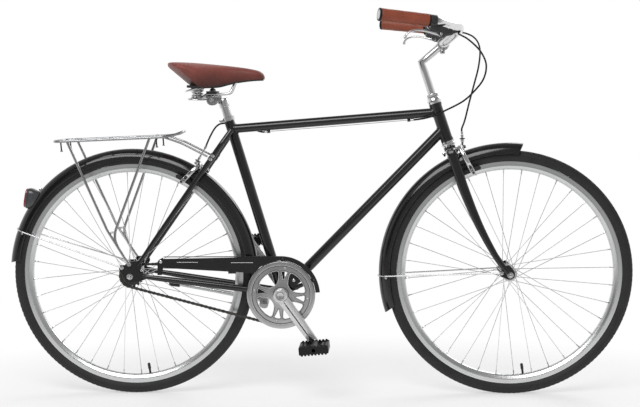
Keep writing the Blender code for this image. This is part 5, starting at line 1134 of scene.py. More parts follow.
def rack_piece():
    half = RACK_HALF
    corner = [
        deck(-0.216, 0), deck(-0.215, half * 0.35), deck(-0.21, half * 0.75), deck(-0.196, half),
        deck(-0.128, half), deck(-0.06, half), deck(0.01, half), deck(0.078, half),
        deck(0.105, half * 0.94, 0.001), deck(0.13, half * 0.68, 0.004),
        deck(0.147, half * 0.32, 0.01), deck(0.153, 0, 0.012),
    ]
    loop = [*corner, *[p * FLIP for p in reversed(corner[1:-1])]]
    shapes = [pipe(smooth(loop, 4, closed=True), ROD, 16, closed=True, start=Z)]
    bars = [(x, half) for x in (-0.158, -0.068, 0.012, 0.084)] + [(0.098, half * 0.95)]
    for x, reach in bars:
        shapes.append(rod(deck(x, -reach), deck(x, reach), ROD * 0.8, 16))
        for side in (-1, 1):
            shapes.append(ball(deck(x, side * (half - 0.0035)), 0.004, (1.05, 1, 0.9), 8))
    foot = REAR + Vector((-0.001, REAR_PLATE[1] + GAP, 0.036))
    rear_leg = [
        deck(-0.172, half), above_axle(-0.062, half + 0.005, 0.34),
        above_axle(-0.012, half + 0.01, 0.1355), foot + Vector((-0.001, 0.004, 0.003)),
    ]
    front_leg = [
        deck(0.064, half), above_axle(-0.04, half + 0.004, 0.325),
        above_axle(-0.04, half + 0.007, 0.263), above_axle(-0.028, half + 0.008, 0.199),
    ]
    share = stay_share_at(REAR_FENDER + 0.045)
    rest = stay_at(share) + REAR_BRAKE_WAY * (STAY + ROD * 0.8 + GAP)
    stay = [deck(0.098, half * 0.75), deck(0.15, half * 0.66, -0.02),
            rest + REAR_BRAKE_WAY * 0.0012]
    shapes += both(bent(rear_leg, ROD, 0.01), bent(front_leg, ROD, 0.012),
                   bent(stay, ROD * 0.8, 0.012))
    shapes += both(
        rod(front_leg[1] + Y * 0.0005, rear_leg[1].lerp(rear_leg[2], 0.1), ROD * 0.7, 12)
    )
    shapes += both(
        ball(deck(-0.172, half - 0.0005), 0.0052, (1.2, 0.9, 0.9), 8),
        ball(deck(0.064, half - 0.0005), 0.0052, (1.2, 0.9, 0.9), 8),
        sleeve(foot, Y, 0.0012, 0.0052, 0.003, 0.0066, 28),
    )
    add("rack_tubes", shapes, RACK_STEEL, "frame", "rack", crease=40)
    fixings = both(
        rod(foot, foot + Y * 0.0072, 0.0028, 16), hexagon(foot, Y, 0.0052, 0.0086, 0.008),
        turned([(0.0046, 0.0028), (0.0046, 0.0062), (0.0054, 0.0062), (0.0054, 0.0028)], foot, Y,
               24),
    )
    up = (STAY_TOP - STAY_FOOT).normalized()
    bands = []
    for height, depth in ((0.0, 0.0045), (0.011, 0.004)):
        clip = stay_at(share) + up * height
        bands += both(turned(
            [(-depth, STAY + 0.0002), (-depth, STAY + 0.0012), (depth, STAY + 0.0012),
             (depth, STAY + 0.0002)],
            clip, up, 32
        ))
        fixings += both(
            rod(clip + Y * (STAY - 0.0005), clip + Y * (STAY + 0.005), 0.0036, 20),
            turned([(STAY + 0.0045, 0.0), (STAY + 0.0045, 0.0052), (STAY + 0.0062, 0.005),
                    (STAY + 0.0078, 0.0034), (STAY + 0.0083, 0.0)], clip, Y, 28),
        )
    add("rack_bands", bands, BRACKET, "frame")
    add("rack_fixings", fixings, CHROME, "frame")
    pegs, feet = [], []
    for x, low in ((-0.189, 0.704), (0.083, 0.714)):
        top = deck(x - 0.002, half - 0.006)
        foot_at = Vector((x, half - 0.006, low))
        pegs += both(rod(top, foot_at, 0.0021, 14))
        feet += both(turned([(0.0, 0.0), (0.0, 0.0034), (0.0008, 0.0042), (0.0032, 0.0042),
                             (0.0044, 0.003), (0.0044, 0.0)], foot_at - Z * 0.0022, Z, 20))
    add("rack_pegs", pegs, PLASTIC, "frame")
    add("rack_peg_feet", feet, CHROME, "frame")


rack_piece()


# Chainguard

CHAIN_LINE = 0.044
PITCH = 0.0127
RING_TEETH = 44
COG_TEETH = 16
RING_PITCH = PITCH / (2 * math.sin(math.pi / RING_TEETH))
COG_PITCH = PITCH / (2 * math.sin(math.pi / COG_TEETH))
GUARD_RING = 0.097
GUARD_RADIUS = 0.11
GUARD_TOP = BB.z + GUARD_RADIUS
GUARD_Y = CHAIN_LINE + 0.012


def screw(spot, out, radius=0.0042, high=0.0026):
    """A screw's domed head."""
    dome = [(0.0, 0.0), (0.0, radius), (high * 0.35, radius), (high * 0.8, radius * 0.7),
            (high, 0.0)]
    return turned(dome, spot, out, 24)


def chainguard_piece():
    hook = GUARD_RING + 0.0015
    tab_foot = chainstay_at(0.084).z + 0.0085 + 0.0012
    rear, lip_deep = 0.096, 0.0014
    outline = [
        (0.077, tab_foot), (0.0775, tab_foot + 0.01),
        *rounded([(0.077, tab_foot), (0.078, GUARD_TOP - 0.011), (rear, GUARD_TOP)], 0.006)[5:],
        *arc(BB, GUARD_RADIUS, 90, 4, 40), *arc(BB, hook, 4, 140, 60), (0.094, GUARD_TOP - 0.0317),
        (0.09, tab_foot),
    ]
    cover = plate(outline, -GUARD_Y - 0.0015, -GUARD_Y, 0.0004)
    flat = (rear, 0.2, BB.x)
    lip_top = [*[(x, GUARD_TOP) for x in flat], *arc(BB, GUARD_RADIUS, 88, 4, 44)]
    lip_low = [*arc(BB, GUARD_RADIUS - lip_deep, 4, 88, 44),
               *[(x, GUARD_TOP - lip_deep) for x in reversed(flat)]]
    lip = plate(lip_top + lip_low, -GUARD_Y - 0.001, -GUARD_Y + 0.01, 0.0003)
    edge = [Vector((x, -GUARD_Y - 0.0006, z)) for x, z in lip_top]
    bead = pipe(edge, 0.0011, 10)
    inner = -0.034 - GAP
    clip = brick(Vector((0.29, -GUARD_Y - 0.0004, 0.357)), (0.011, 0.001, 0.0034), edge=0.0006)
    shapes = [cover, lip, bead, clip,
              sleeve(BB, Y, inner - 0.002, inner, 0.009, 0.0215, 56, 0.0003)]
    bolts = []
    for turn in (86.0, 24.0):
        out = around(Vector(), 1, turn)
        across = Vector((-out.z, 0, out.x))
        length = hook + 0.006 - 0.014
        middle = BB + out * (0.014 + length / 2) + Y * (inner - 0.001)
        shapes.append(brick(middle, (length / 2, 0.001, 0.006), (out, Y, across), 0.0004))
        reach = (GUARD_Y + inner) / 2
        tab = BB + out * (hook + 0.005) + Y * (inner - reach - 0.0005)
        shapes.append(brick(tab, (0.001, reach + 0.0005, 0.006), (out, Y, across), 0.0003))
        spot = BB + out * 0.048 + Y * (inner - 0.0022)
        shapes.append(rod(spot, BB + out * 0.048 + Y * (inner - 0.0008), 0.0075, 24))
        shapes.append(screw(spot, -Y, 0.0036))
        shapes.append(screw(BB + out * (hook + 0.0053) - Y * (GUARD_Y + 0.0014), -Y, 0.003, 0.0016))
    web = [(0.02, 15), (0.02, 70), (0.068, 68), (0.08, 52), (0.082, 31), (0.058, 33)]
    web = [around(BB, radius, turn) for radius, turn in web]
    web = [(p.x, p.z) for p in web]
    shapes.append(plate(rounded(web, 0.005), inner - 0.0019, inner - 0.0003, 0.0003))
    bolts.append(screw(around(BB, 0.053, 48, inner - 0.0019), -Y, 0.0052, 0.003))
    add("chainguard_shell", shapes, PAINT, "frame", "chainguard", crease=35)
    bolts.append(screw(Vector((0.087, -GUARD_Y - 0.0015, 0.388)), -Y, 0.0045, 0.0022))
    add("chainguard_bolts", bolts, CHROME, "frame")
    lines = []
    for x, z, half_long in ((0.1632, 0.3864, 0.03), (0.3187, 0.385, 0.0314)):
        lines.append(
            brick(Vector((x, -GUARD_Y - 0.00155, z)), (half_long, 0.00012, 0.0008), edge=0.0001)
        )
    add("chainguard_lines", lines, LINE, "frame")


chainguard_piece()


# Drive

CRANK_ANGLE = -54.4
CRANK = 0.168
CRANK_FACE = 0.0605
CRANK_THICK = 0.0135
PEDAL_WIDE = 0.088


def toothed_plate(teeth, pitch, centre, phase):
    """A sprocket's plate with rounded teeth. The rollers lie at whole steps from the phase."""
    found = []
    for k in range(teeth):
        for share, rise in (
            (0.0, -0.0039), (0.16, -0.0033), (0.27, -0.0012), (0.37, 0.0014), (0.45, 0.0032),
            (0.55, 0.0032), (0.63, 0.0014), (0.73, -0.0012), (0.84, -0.0033),
        ):
            turn = math.radians(phase) + 2 * math.pi * (k + share) / teeth
            found.append((centre.x + (pitch + rise) * math.cos(turn),
                          centre.z + (pitch + rise) * math.sin(turn)))
    return plate(found, -CHAIN_LINE - 0.0015, -CHAIN_LINE + 0.0015, 0.0004)


def chain_pins():
    """The pins' places round both sprockets and along the two straight runs, and the phases."""
    between = REAR - BB
    base = math.degrees(math.atan2(between.z, between.x))
    lean = math.degrees(math.acos((RING_PITCH - COG_PITCH) / between.length))
    ring_step, cog_step = 360 / RING_TEETH, 360 / COG_TEETH
    ring_count = int((360 - 2 * lean) / ring_step)
    cog_count = int(2 * lean / cog_step)
    ring_start = base + lean - 360 + ((360 - 2 * lean) - ring_count * ring_step) / 2
    cog_start = base - lean + (2 * lean - cog_count * cog_step) / 2
    ring = [around(BB, RING_PITCH, ring_start + ring_step * k, -CHAIN_LINE)
            for k in range(ring_count + 1)]
    cog = [around(REAR, COG_PITCH, cog_start + cog_step * k, -CHAIN_LINE)
           for k in range(cog_count + 1)]
    pins = [*ring]
    for a, b, following in ((ring[-1], cog[0], cog), (cog[-1], ring[0], None)):
        count = round((b - a).length / PITCH)
        if following is None and (len(pins) + count - 1) % 2:
            count += 1
        pins += [a.lerp(b, k / count) for k in range(1, count)]
        pins += following or []
    return pins, ring_start, cog_start


PINS, RING_PHASE, COG_PHASE = chain_pins()


def chain_piece():
    shapes = []
    count = len(PINS)
    outline = []
    for side in (1, -1):
        for angle in range(-80, 81, 20):
            t = math.radians(angle)
            outline.append(
                (side * (0.5 + 0.0041 / PITCH * math.cos(t)), side * 0.0041 * math.sin(t))
            )
        outline.append((0.0, side * 0.0029))
    for i, pin in enumerate(PINS):
        after = PINS[(i + 1) % count]
        along = after - pin
        up = along.normalized().cross(Y)
        middle = (pin + after) / 2
        low = 0.00255 if i % 2 else 0.00165
        for side in (-1, 1):
            rings = []
            for level, shrink in ((low, 1.0), (low + 0.0006, 1.0), (low + 0.0008, 0.93)):
                rings.append([middle + along * u * (1 if shrink == 1 else 0.985) + up * v * shrink
                              + Y * side * level for u, v in outline])
            shapes.append(loft(rings))
        shapes.append(rod(pin - Y * 0.0038, pin + Y * 0.0038, 0.0018, 10, 0.0003))
        shapes.append(rod(pin - Y * 0.00155, pin + Y * 0.00155, 0.0038, 14, 0.0002))
    add("chain_links", shapes, DARK_STEEL_AND_SHADE, "frame", "chain", crease=30)


def freewheel_piece():
    middle = REAR - Y * CHAIN_LINE
    bore = turned([(-0.02, 0.0), (-0.02, 0.0155), (0.02, 0.0155), (0.02, 0.0)], middle, Y, 48)
    teeth = cut(toothed_plate(COG_TEETH, COG_PITCH, REAR, COG_PHASE), bore)
    body = turned([
        (-0.006, 0.0155), (-0.006, 0.019), (-0.0054, 0.0196), (-0.0054, 0.0212), (-0.006, 0.0218),
        (-0.006, 0.024), (-0.0052, 0.025), (0.0072, 0.025), (0.008, 0.0242), (0.008, 0.0155),
    ], middle, Y, 64)
    shapes = [teeth, body]
    for k in range(2):
        spot = around(REAR, 0.0204, 20 + 180 * k, -CHAIN_LINE - 0.0057)
        shapes.append(rod(spot - Y * 0.0002, spot + Y * 0.0004, 0.0013, 10, 0.0001))
    add("freewheel_cog", shapes, DARK_STEEL_AND_SHADE, "freewheel", "rear_sprocket", crease=35)


def polar_outline(pairs, turn, steps=3):
    """A smooth window round the crank's axis: (radius, degrees) pairs mirrored about this angle."""
    full = pairs + [(r, -a) for r, a in reversed(pairs) if abs(a) > 0.01]
    places = [around(BB, r, turn + a) for r, a in full]
    return [(p.x, p.z) for p in smooth(places, steps, closed=True)]


def chainring_piece():
    face = CHAIN_LINE + 0.004
    hole = turned([(-0.1, 0.0), (-0.1, 0.076), (0.1, 0.076), (0.1, 0.0)], BB, Y, 120)
    teeth = cut(toothed_plate(RING_TEETH, RING_PITCH, BB, RING_PHASE), hole)
    disc = [
        (0.0, 0.0083), (0.0, 0.0865), (0.003, 0.0865), (0.0036, 0.083), (0.0034, 0.072),
        (0.0036, 0.056), (0.0042, 0.03), (0.0052, 0.02), (0.0058, 0.018), (0.0058, 0.0083),
    ]
    disc = turned([(-face - out, radius) for out, radius in disc], BB, Y, 144)
    big = [(0.031, 0.0), (0.0316, 9.0), (0.0345, 18.5), (0.041, 25.5), (0.05, 29.0), (0.059, 30.6),
           (0.065, 30.6), (0.0686, 28.2), (0.0698, 23.5), (0.07, 15.0), (0.07, 5.0)]
    small = [(0.0425, 0.0), (0.044, 2.2), (0.054, 5.0), (0.063, 7.4), (0.066, 7.6), (0.0676, 5.6),
             (0.068, 2.0)]
    windows = []
    for k in range(4):
        windows += [(big, CRANK_ANGLE + 90 * k, 1.09), (small, CRANK_ANGLE + 45 + 90 * k, 1.2)]
    disc = cut(disc,
               *[plate(polar_outline(window, turn), -0.09, -0.03) for window, turn, _ in windows])
    ring = [
        (0.0, 0.08), (0.0, 0.0965), (0.0006, GUARD_RING), (0.0026, GUARD_RING), (0.0044, 0.0958),
        (0.0054, 0.0935), (0.0055, 0.0885), (0.0055, 0.0846), (0.0049, 0.0838), (0.0036, 0.0832),
        (0.0036, 0.08),
    ]
    ring = turned([(-face - out, radius) for out, radius in ring], BB, Y, 180)
    joint = turned([(-face - 0.001, 0.072), (-face - 0.001, 0.082), (-CHAIN_LINE, 0.082),
                    (-CHAIN_LINE, 0.072)], BB, Y, 120)
    bolts = []
    for k in range(4):
        spot = around(BB, 0.0765, CRANK_ANGLE + 45 + 90 * k, -face - 0.0034)
        bolts.append(screw(spot, -Y, 0.003, 0.0014))
    # painted shade: dark lines round the windows, inside the teeth and round the boss stand for the
    # shade in grooves
    rims, groove_shade_lines = [], []
    for window, turn, wider in windows:
        places = [Vector((x, -face - 0.0033, z)) for x, z in polar_outline(window, turn, 2)]
        rims.append(pipe(places, 0.001, 8, closed=True, start=Y))
        middle = sum(places, Vector()) / len(places)
        wide = [middle + (p - middle) * wider - Y * 0.0001 for p in places]
        groove_shade_lines.append(pipe(wide, 0.0007, 6, closed=True, start=Y))
    for radius, level, size, sides, found in (
        (0.0826, 0.0038, 0.0008, 6, groove_shade_lines), (0.0222, 0.0052, 0.0008, 6, groove_shade_lines),
        (0.0846, 0.005, 0.001, 8, rims),
    ):
        circle = [around(BB, radius, 3 * k, -face - level) for k in range(120)]
        found.append(pipe(circle, size, sides, closed=True, start=Y))
    add("chainring_groove_shade", groove_shade_lines, DARK_STEEL_AND_SHADE, "crank")
    add("chainring_edges", rims, FORGED, "crank")
    add("chainring_disc", [disc, ring, joint, *bolts], RING_ALLOY, "crank", "chainring", crease=30)
    add("chainring_teeth", teeth, DARK_STEEL_AND_SHADE, "crank", crease=35)


def crank_piece(side):
    name = "right" if side < 0 else "left"
    turn = CRANK_ANGLE if side < 0 else CRANK_ANGLE + 180
    end = around(BB, CRANK, turn)
    along = (end - BB).normalized()
    across = along.cross(Y)
    sections = []
    for distance, half, lean, flute, thin in (
        (-0.002, 0.013, 0, 0.0, 0.9), (0.01, 0.0164, 0, 0.0, 1.0), (0.022, 0.0165, 0, 0.0, 1.0),
        (0.03, 0.016, 0, 0.1, 1.0), (0.04, 0.0157, 0, 0.26, 1.0), (0.07, 0.0151, 0.0006, 0.3, 1.0),
        (0.1, 0.0144, 0.0012, 0.3, 1.0), (0.128, 0.0137, 0.002, 0.26, 1.0),
        (0.136, 0.0135, 0.0024, 0.15, 0.98), (0.146, 0.0132, 0.0026, 0.0, 0.7),
        (0.158, 0.013, 0.0029, 0.0, 0.66), (0.17, 0.0126, 0.003, 0.0, 0.9),
        (0.176, 0.01, 0.003, 0.0, 0.9), (0.18, 0.006, 0.003, 0.0, 0.8),
    ):
        deep = CRANK_THICK / 2
        middle = BB + along * distance + Y * side * (CRANK_FACE + deep + lean)
        ring = []
        for a, b in (
            (-1, -0.45), (-0.93, -0.78), (-0.72, -1), (0.72, -1), (0.93, -0.78), (1, -0.45),
            (1, 0.4), (0.95, 0.76), (0.85, 0.94), (0.72, 1.0), (0.3, 1.0), (0.02, 0.97),
            (-0.06, 0.9), (-0.13, 0.88 - flute), (-0.24, 0.88 - flute), (-0.32, 0.84),
            (-0.62, 0.62), (-0.92, 0.38), (-1, 0.28),
        ):
            ring.append(middle + across * half * a + Y * side * deep * (b * thin if b > 0 else b))
        sections.append(ring)
    shapes = [loft(sections)]
    boss = [
        (-0.0055, 0.0084), (-0.0055, 0.0165), (-0.004, 0.019), (0.002, 0.0206), (0.011, 0.0206),
        (0.015, 0.019), (0.0172, 0.0162), (0.0175, 0.0132), (0.014, 0.0124), (0.014, 0.0084),
    ]
    shapes.append(turned([(CRANK_FACE + a, r) for a, r in boss], BB, Y * side, 64))
    surface = CRANK_FACE + CRANK_THICK / 2
    eye = end + Y * side * (surface + 0.003)
    shapes.append(turned([
        (-0.0066, 0.0062), (-0.0066, 0.0118), (-0.0054, 0.0132), (0.0054, 0.0132), (0.0066, 0.0118),
        (0.0066, 0.0062),
    ], eye, Y * side, 48))
    start, tip = CRANK_FACE + CRANK_THICK + 0.0024, CRANK_FACE + CRANK_THICK + 0.089
    shapes.append(turned([
        (CRANK_FACE + 0.004, 0.0), (CRANK_FACE + 0.004, 0.006), (start, 0.006), (start, 0.0078),
        (start + 0.001, 0.0082), (start + 0.004, 0.0082), (start + 0.0046, 0.006),
        (tip - 0.001, 0.006), (tip, 0.0052), (tip, 0.0),
    ], end, Y * side, 28))
    add(f"crank_arm_{name}", shapes, FORGED, "crank", f"crank_{name}", crease=28)
    # painted shade: a dark line along the crank's groove and a dark patch filling the recess before
    # the pedal eye stand for the shade in them
    hollow = [(0.136, -0.002), (0.16, -0.0112), (0.164, 0.01), (0.15, 0.002)]
    recess_shade_patch = [BB + along * a + across * b + Y * side * (surface + 0.0026)
             for a, b in rounded(hollow, 0.002)]
    groove_shade_line = [BB + along * a + across * b + Y * side * (surface + c * CRANK_THICK / 2 + 0.0002)
              for a, b, c in (
                  (0.0215, -0.0026, 0.88), (0.034, -0.0028, 0.74), (0.045, -0.0029, 0.62),
                  (0.07, -0.0028, 0.68), (0.1, -0.0027, 0.78), (0.128, -0.0025, 0.98),
                  (0.138, -0.0022, 1.0),
              )]
    dark = [pipe(smooth(groove_shade_line, 4), 0.0009, 8, start=across)]
    dark.append(loft([recess_shade_patch, [p + Y * side * CRANK_THICK * 0.385 for p in recess_shade_patch]]))
    add(f"crank_painted_shade_{name}", dark, DARK_STEEL_AND_SHADE, "crank")
    dust = [(0.0135, 0.0), (0.0135, 0.0106), (0.0166, 0.0106), (0.0176, 0.0098), (0.0172, 0.0086),
            (0.0168, 0.0)]
    cap = [turned([(CRANK_FACE + a, r) for a, r in dust], BB, Y * side, 48)]
    for k in range(3):
        spot = around(BB, 0.0055, 90 + 120 * k, side * (CRANK_FACE + 0.0169))
        cap.append(rod(spot - Y * 0.0004, spot + Y * 0.0004, 0.0014, 12, 0.0001))
    add(f"crank_cap_{name}", cap, CHROME, "crank")


def spindle_piece():
    half = CRANK_FACE + CRANK_THICK - 0.002
    add("crank_axle", rod(BB - Y * half, BB + Y * half, 0.008, 32), CHROME, "crank",
        "crank_spindle")


def pedal_piece(side):
    name = "right" if side < 0 else "left"
    end = around(BB, CRANK, CRANK_ANGLE if side < 0 else CRANK_ANGLE + 180)
    inner = CRANK_FACE + CRANK_THICK + 0.008
    outer = inner + PEDAL_WIDE
    half_long, half_high = 0.041, 0.014
    tilt = Matrix.Rotation(math.radians(-5), 3, "Y")

    def at(x, left, z):
        return end + tilt @ Vector((x, 0, z)) + Y * side * left

    teeth = []
    for k in range(8):
        x = -half_long + 0.003 + (2 * half_long - 0.006) * (k + 0.5) / 8
        teeth += [(x - 0.0038, 0.72), (x - 0.0022, 1.0), (x + 0.0022, 1.0), (x + 0.0038, 0.72)]
    outline = [(-half_long, 0.3), (-half_long, 0.66), (-half_long + 0.002, 0.8), *teeth,
               (half_long - 0.002, 0.8), (half_long, 0.66), (half_long, 0.3)]
    outline += [(x, -level) for x, level in reversed(outline)]
    shapes = []
    for low, high in ((inner, inner + 0.0055), (outer - 0.0055, outer)):
        levels = ((low, 0.985), (low + 0.0008, 1.0), (high - 0.0008, 1.0), (high, 0.985))
        shapes.append(loft([[
            at(x * shrink, left, level * half_high * shrink) for x, level in outline
        ] for left, shrink in levels]))
    axes = (tilt @ X, Y, tilt @ Z)
    middle = (inner + outer) / 2
    span = (outer - inner) / 2 - 0.003
    for fore in (-1, 1):
        for x, z, long, high, edge in (
            (0.0385, 0.0, 0.0024, 0.0098, 0.001), (0.03, 0.0078, 0.0075, 0.0014, 0.0006),
            (0.03, -0.0078, 0.0075, 0.0014, 0.0006), (0.0225, 0.0, 0.0014, 0.0088, 0.0006),
        ):
            shapes.append(brick(at(fore * x, middle, z), (long, span, high), axes, edge))
        for k in (-1, 0, 1):
            shapes.append(brick(at(fore * 0.017, middle + k * 0.022, 0), (0.0085, 0.0016, 0.0066),
                                axes, 0.0006))
        for k in range(-2, 3):
            for level in (-1, 1):
                stud = at(fore * 0.03, middle + k * 0.0165, level * 0.009)
                shapes.append(rod(stud, stud + axes[2] * level * 0.0034, 0.0019, 12))
    shapes.append(turned([
        (inner + 0.001, 0.0068), (inner + 0.001, 0.0112), (inner + 0.004, 0.0126),
        (inner + 0.012, 0.0122), (middle - 0.01, 0.0104), (middle + 0.01, 0.01),
        (outer - 0.01, 0.0104), (outer - 0.003, 0.0112), (outer - 0.001, 0.0104),
        (outer - 0.001, 0.0068),
    ], end, Y * side, 36))
    add(f"pedal_{name}_body", shapes, PLASTIC, f"pedal_{name}", f"pedal_{name}", crease=30)
    add(f"pedal_{name}_cap",
        turned([(outer - 0.0035, 0.0), (outer - 0.0035, 0.0066), (outer - 0.0006, 0.0064),
                (outer, 0.005), (outer, 0.0)], end, Y * side, 28), PLASTIC, f"pedal_{name}")


chain_piece()
freewheel_piece()
chainring_piece()
for side in (-1, 1):
    crank_piece(side)
    pedal_piece(side)
spindle_piece()


# Stand

STAND_PIVOT = BB + Vector((-0.056, 0.034, -0.036))
STOWED = Vector((-0.983, 0.05, 0.176)).normalized()
LOWERED = Vector((0.12, 0.48, -0.87)).normalized()
STAND_AXIS = STOWED.cross(LOWERED).normalized()


def stand_pieces():
    along = (CHAINSTAY_FRONT - CHAINSTAY_REAR) * FLAT
    along.normalize()
    up = Y.cross(along) * -1
    top = chainstay_at(STAND_PIVOT.x) - up * (0.009 + GAP)
    top.y = 0
    half = (top.z - STAND_PIVOT.z) / 2
    shapes = [
        brick(top - up * 0.006, (0.018, 0.033, 0.006), (along, Y, up), 0.0022),
        brick(top - up * 0.0015, (0.0145, 0.0325, 0.0014), (along, Y, up), 0.0005),
        brick(Vector((STAND_PIVOT.x, 0.022, top.z - half - 0.004)), (0.012, 0.009, half - 0.002),
              edge=0.0025),
        turned([(-0.004, 0.0), (-0.004, 0.0122), (-0.0032, 0.013), (0.0105, 0.013), (0.012, 0.0116),
                (0.012, 0.0)], STAND_PIVOT, STAND_AXIS, 40),
    ]
    head = top - up * 0.0125
    shapes.append(hexagon(head, -up, 0.0, 0.0062, 0.0125))
    shapes.append(rod(head - up * 0.006, head - up * 0.0095, 0.0038, 20))
    add("stand_bracket", shapes, GUNMETAL, "frame", "stand_mount", crease=35)
    start = STAND_PIVOT - STAND_AXIS * (0.004 + GAP)
    root = start - STAND_AXIS * 0.0085
    foot = root + STOWED * 0.285
    leg = [
        turned([(0.0, 0.0), (0.0, 0.0116), (0.001, 0.0125), (0.0155, 0.0125), (0.017, 0.0112),
                (0.017, 0.0)], start, -STAND_AXIS, 40),
        pipe(smooth([root, root.lerp(foot, 0.1), root.lerp(foot, 0.5), root.lerp(foot, 0.93)], 5),
             spread([0.0098, 0.0078, 0.0062, 0.0056], 5), 24),
    ]
    pin = start - STAND_AXIS * 0.017
    leg.append(
        turned([(0.0, 0.0), (0.0, 0.0052), (0.0016, 0.0046), (0.0022, 0.0)], pin, -STAND_AXIS, 24)
    )
    add("stand_tube", leg, BRUSHED, "stand", "stand_leg", crease=35)
    places, sizes = [], []
    for k in range(9):
        places.append(root.lerp(foot, 0.895 + 0.105 * k / 8))
        sizes.append(0.0086 + 0.0017 * k / 8 + (0.0004 if k % 2 else 0.0))
    add("stand_shoe", pipe([*places, foot + STOWED * 0.0008], [*sizes, 0.0086], 24), PAD, "stand",
        crease=35)


stand_pieces()


# Handlebar

BAR_BENDS = (
    (0.0, 0.024, 0.0), (0.006, 0.038, 0.004), (0.022, 0.054, 0.018), (0.036, 0.07, 0.03),
    (0.042, 0.092, 0.037), (0.04, 0.12, 0.041), (0.03, 0.152, 0.044), (0.012, 0.186, 0.0475),
    (-0.006, 0.214, 0.0505), (-0.018, 0.228, 0.0525),
)
GRIP_WAY = Vector((-0.944, -0.286, 0.112)).normalized()
BAR_TURN = BAR_CLAMP + Vector(BAR_BENDS[-1]) * FLIP
GRIP_START = BAR_TURN + GRIP_WAY * 0.03
GRIP_LENGTH = 0.131
GRIP_END = GRIP_START + GRIP_WAY * GRIP_LENGTH
GRIP = 0.017


def handlebar_piece():
    right = [BAR_CLAMP, *[BAR_CLAMP + Vector(p) * FLIP for p in BAR_BENDS]]
    right += [BAR_TURN + GRIP_WAY * 0.012, BAR_TURN + GRIP_WAY * 0.03, GRIP_END - GRIP_WAY * 0.002]
    places = [*reversed(right), *[p * FLIP for p in right[1:]]]
    shapes = [pipe(smooth(places, 5), 0.0111, 28, start=Z)]
    shapes.append(turned(
        [(-0.0245, 0.0108), (-0.0225, 0.0127), (0.0225, 0.0127), (0.0245, 0.0108)], BAR_CLAMP, Y, 40
    ))
    for k in range(-3, 4):
        shapes.append(turned(
            [(k * 0.0012 - 0.0003, 0.0126), (k * 0.0012, 0.01285), (k * 0.0012 + 0.0003, 0.0126)],
            BAR_CLAMP + Y * 0.0205, Y, 32
        ))
    add("bar_tube", shapes, POLISHED, "steering", "handlebar")


SEAM_TURN = 0.6  # how far the grips' seam lies outward from the bottom, clear of the levers


def grip_pieces(side, name):
    flip = Vector((1, -side, 1))
    way = GRIP_WAY * flip
    start = GRIP_START * flip
    end = GRIP_END * flip
    across = way.cross(Z).normalized()
    down = -across.cross(way).normalized()
    down = down if down.z < 0 else -down
    outside = across if across.y * start.y > 0 else -across
    down = down * math.cos(SEAM_TURN) + outside * math.sin(SEAM_TURN)
    across = way.cross(down).normalized()
    steps, sides = 64, 60
    sections = []
    for i in range(steps + 1):
        share = i / steps
        along = GRIP_LENGTH * share
        edge = min(1.0, min(along, GRIP_LENGTH - along) / 0.003)
        rounding = 0.0012 * (1 - math.sqrt(1 - (1 - edge) ** 2))
        size = GRIP - rounding - 0.00025 * math.sin(share * math.pi * 3) ** 2
        ring = []
        for t in turns(sides):
            seam = math.atan2(math.sin(t), math.cos(t))
            puckers = 0.00015 * math.cos(share * 2 * math.pi * 24) * math.exp(-((seam / 0.35) ** 2))
            radius = size - (0.0007 * math.exp(-((seam / 0.05) ** 2)) + puckers)
            ring.append(
                start + way * along + down * radius * math.cos(t) + across * radius * math.sin(t)
            )
        sections.append(ring)
    inner = [[start + way * along + (down * math.cos(t) + across * math.sin(t)) * 0.0116
              for t in turns(sides)] for along in (GRIP_LENGTH, 0.0)]
    add(f"grip_{name}_leather", loft([*sections, *inner], closed=True), GRIP_LEATHER, "steering",
        f"grip_{name}", crease=50)
    stitches = []
    count = 26
    for k in range(count):
        low, high = [0.006 + 0.119 * share / count for share in (k, k + 0.8)]
        for a, b in ((low, high), (high, low)):
            places = []
            for s in range(5):
                turn = -0.24 + 0.48 * s / 4
                along = a + (b - a) * s / 4
                lift = GRIP - 0.0001 - (0.0006 if s in (0, 4) else 0.0)
                places.append(
                    start + way * along + (down * math.cos(turn) + across * math.sin(turn)) * lift
                )
            stitches.append(pipe(places, 0.00042, 6))
    add(f"grip_{name}_stitches", stitches, THREAD, "steering")
    rings = [
        turned([(-0.0024, 0.0117), (-0.0024, 0.0158), (-0.0016, 0.0166), (-0.0002, 0.0166),
                (-0.0002, 0.0117)], start, way, 48),
        turned([(0.0003, 0.0), (0.0003, 0.0168), (0.0012, 0.0175), (0.0042, 0.0175),
                (0.0056, 0.0166), (0.006, 0.0146), (0.0053, 0.0136), (0.005, 0.0)], end, way, 48),
    ]
    add(f"grip_{name}_ends", rings, PLASTIC, "steering", crease=30)
    disc = turned([(0.0046, 0.0), (0.0046, 0.0132), (0.0054, 0.0132), (0.0062, 0.012),
                   (0.0064, 0.006), (0.0062, 0.0)], end, way, 48)
    add(f"grip_{name}_disc", disc, BRUSHED, "steering", crease=30)


# Brake levers, worked out for the right hand and mirrored

BRACKET_PLACE = BAR_TURN + GRIP_WAY * 0.017
LEVER_DOWN = (-Z - GRIP_WAY * (-Z).dot(GRIP_WAY)).normalized()
LEVER_AXIS = GRIP_WAY.cross(LEVER_DOWN)
LEVER_PIVOT = BRACKET_PLACE + LEVER_DOWN * 0.0315 - GRIP_WAY * 0.024


def by_lever(out, down, side=0.0):
    return LEVER_PIVOT + GRIP_WAY * out + LEVER_DOWN * down + LEVER_AXIS * side


CABLE_MOUTH = by_lever(-0.033, -0.009)
CABLE_AWAY = (CABLE_MOUTH - by_lever(-0.022, -0.007)).normalized()


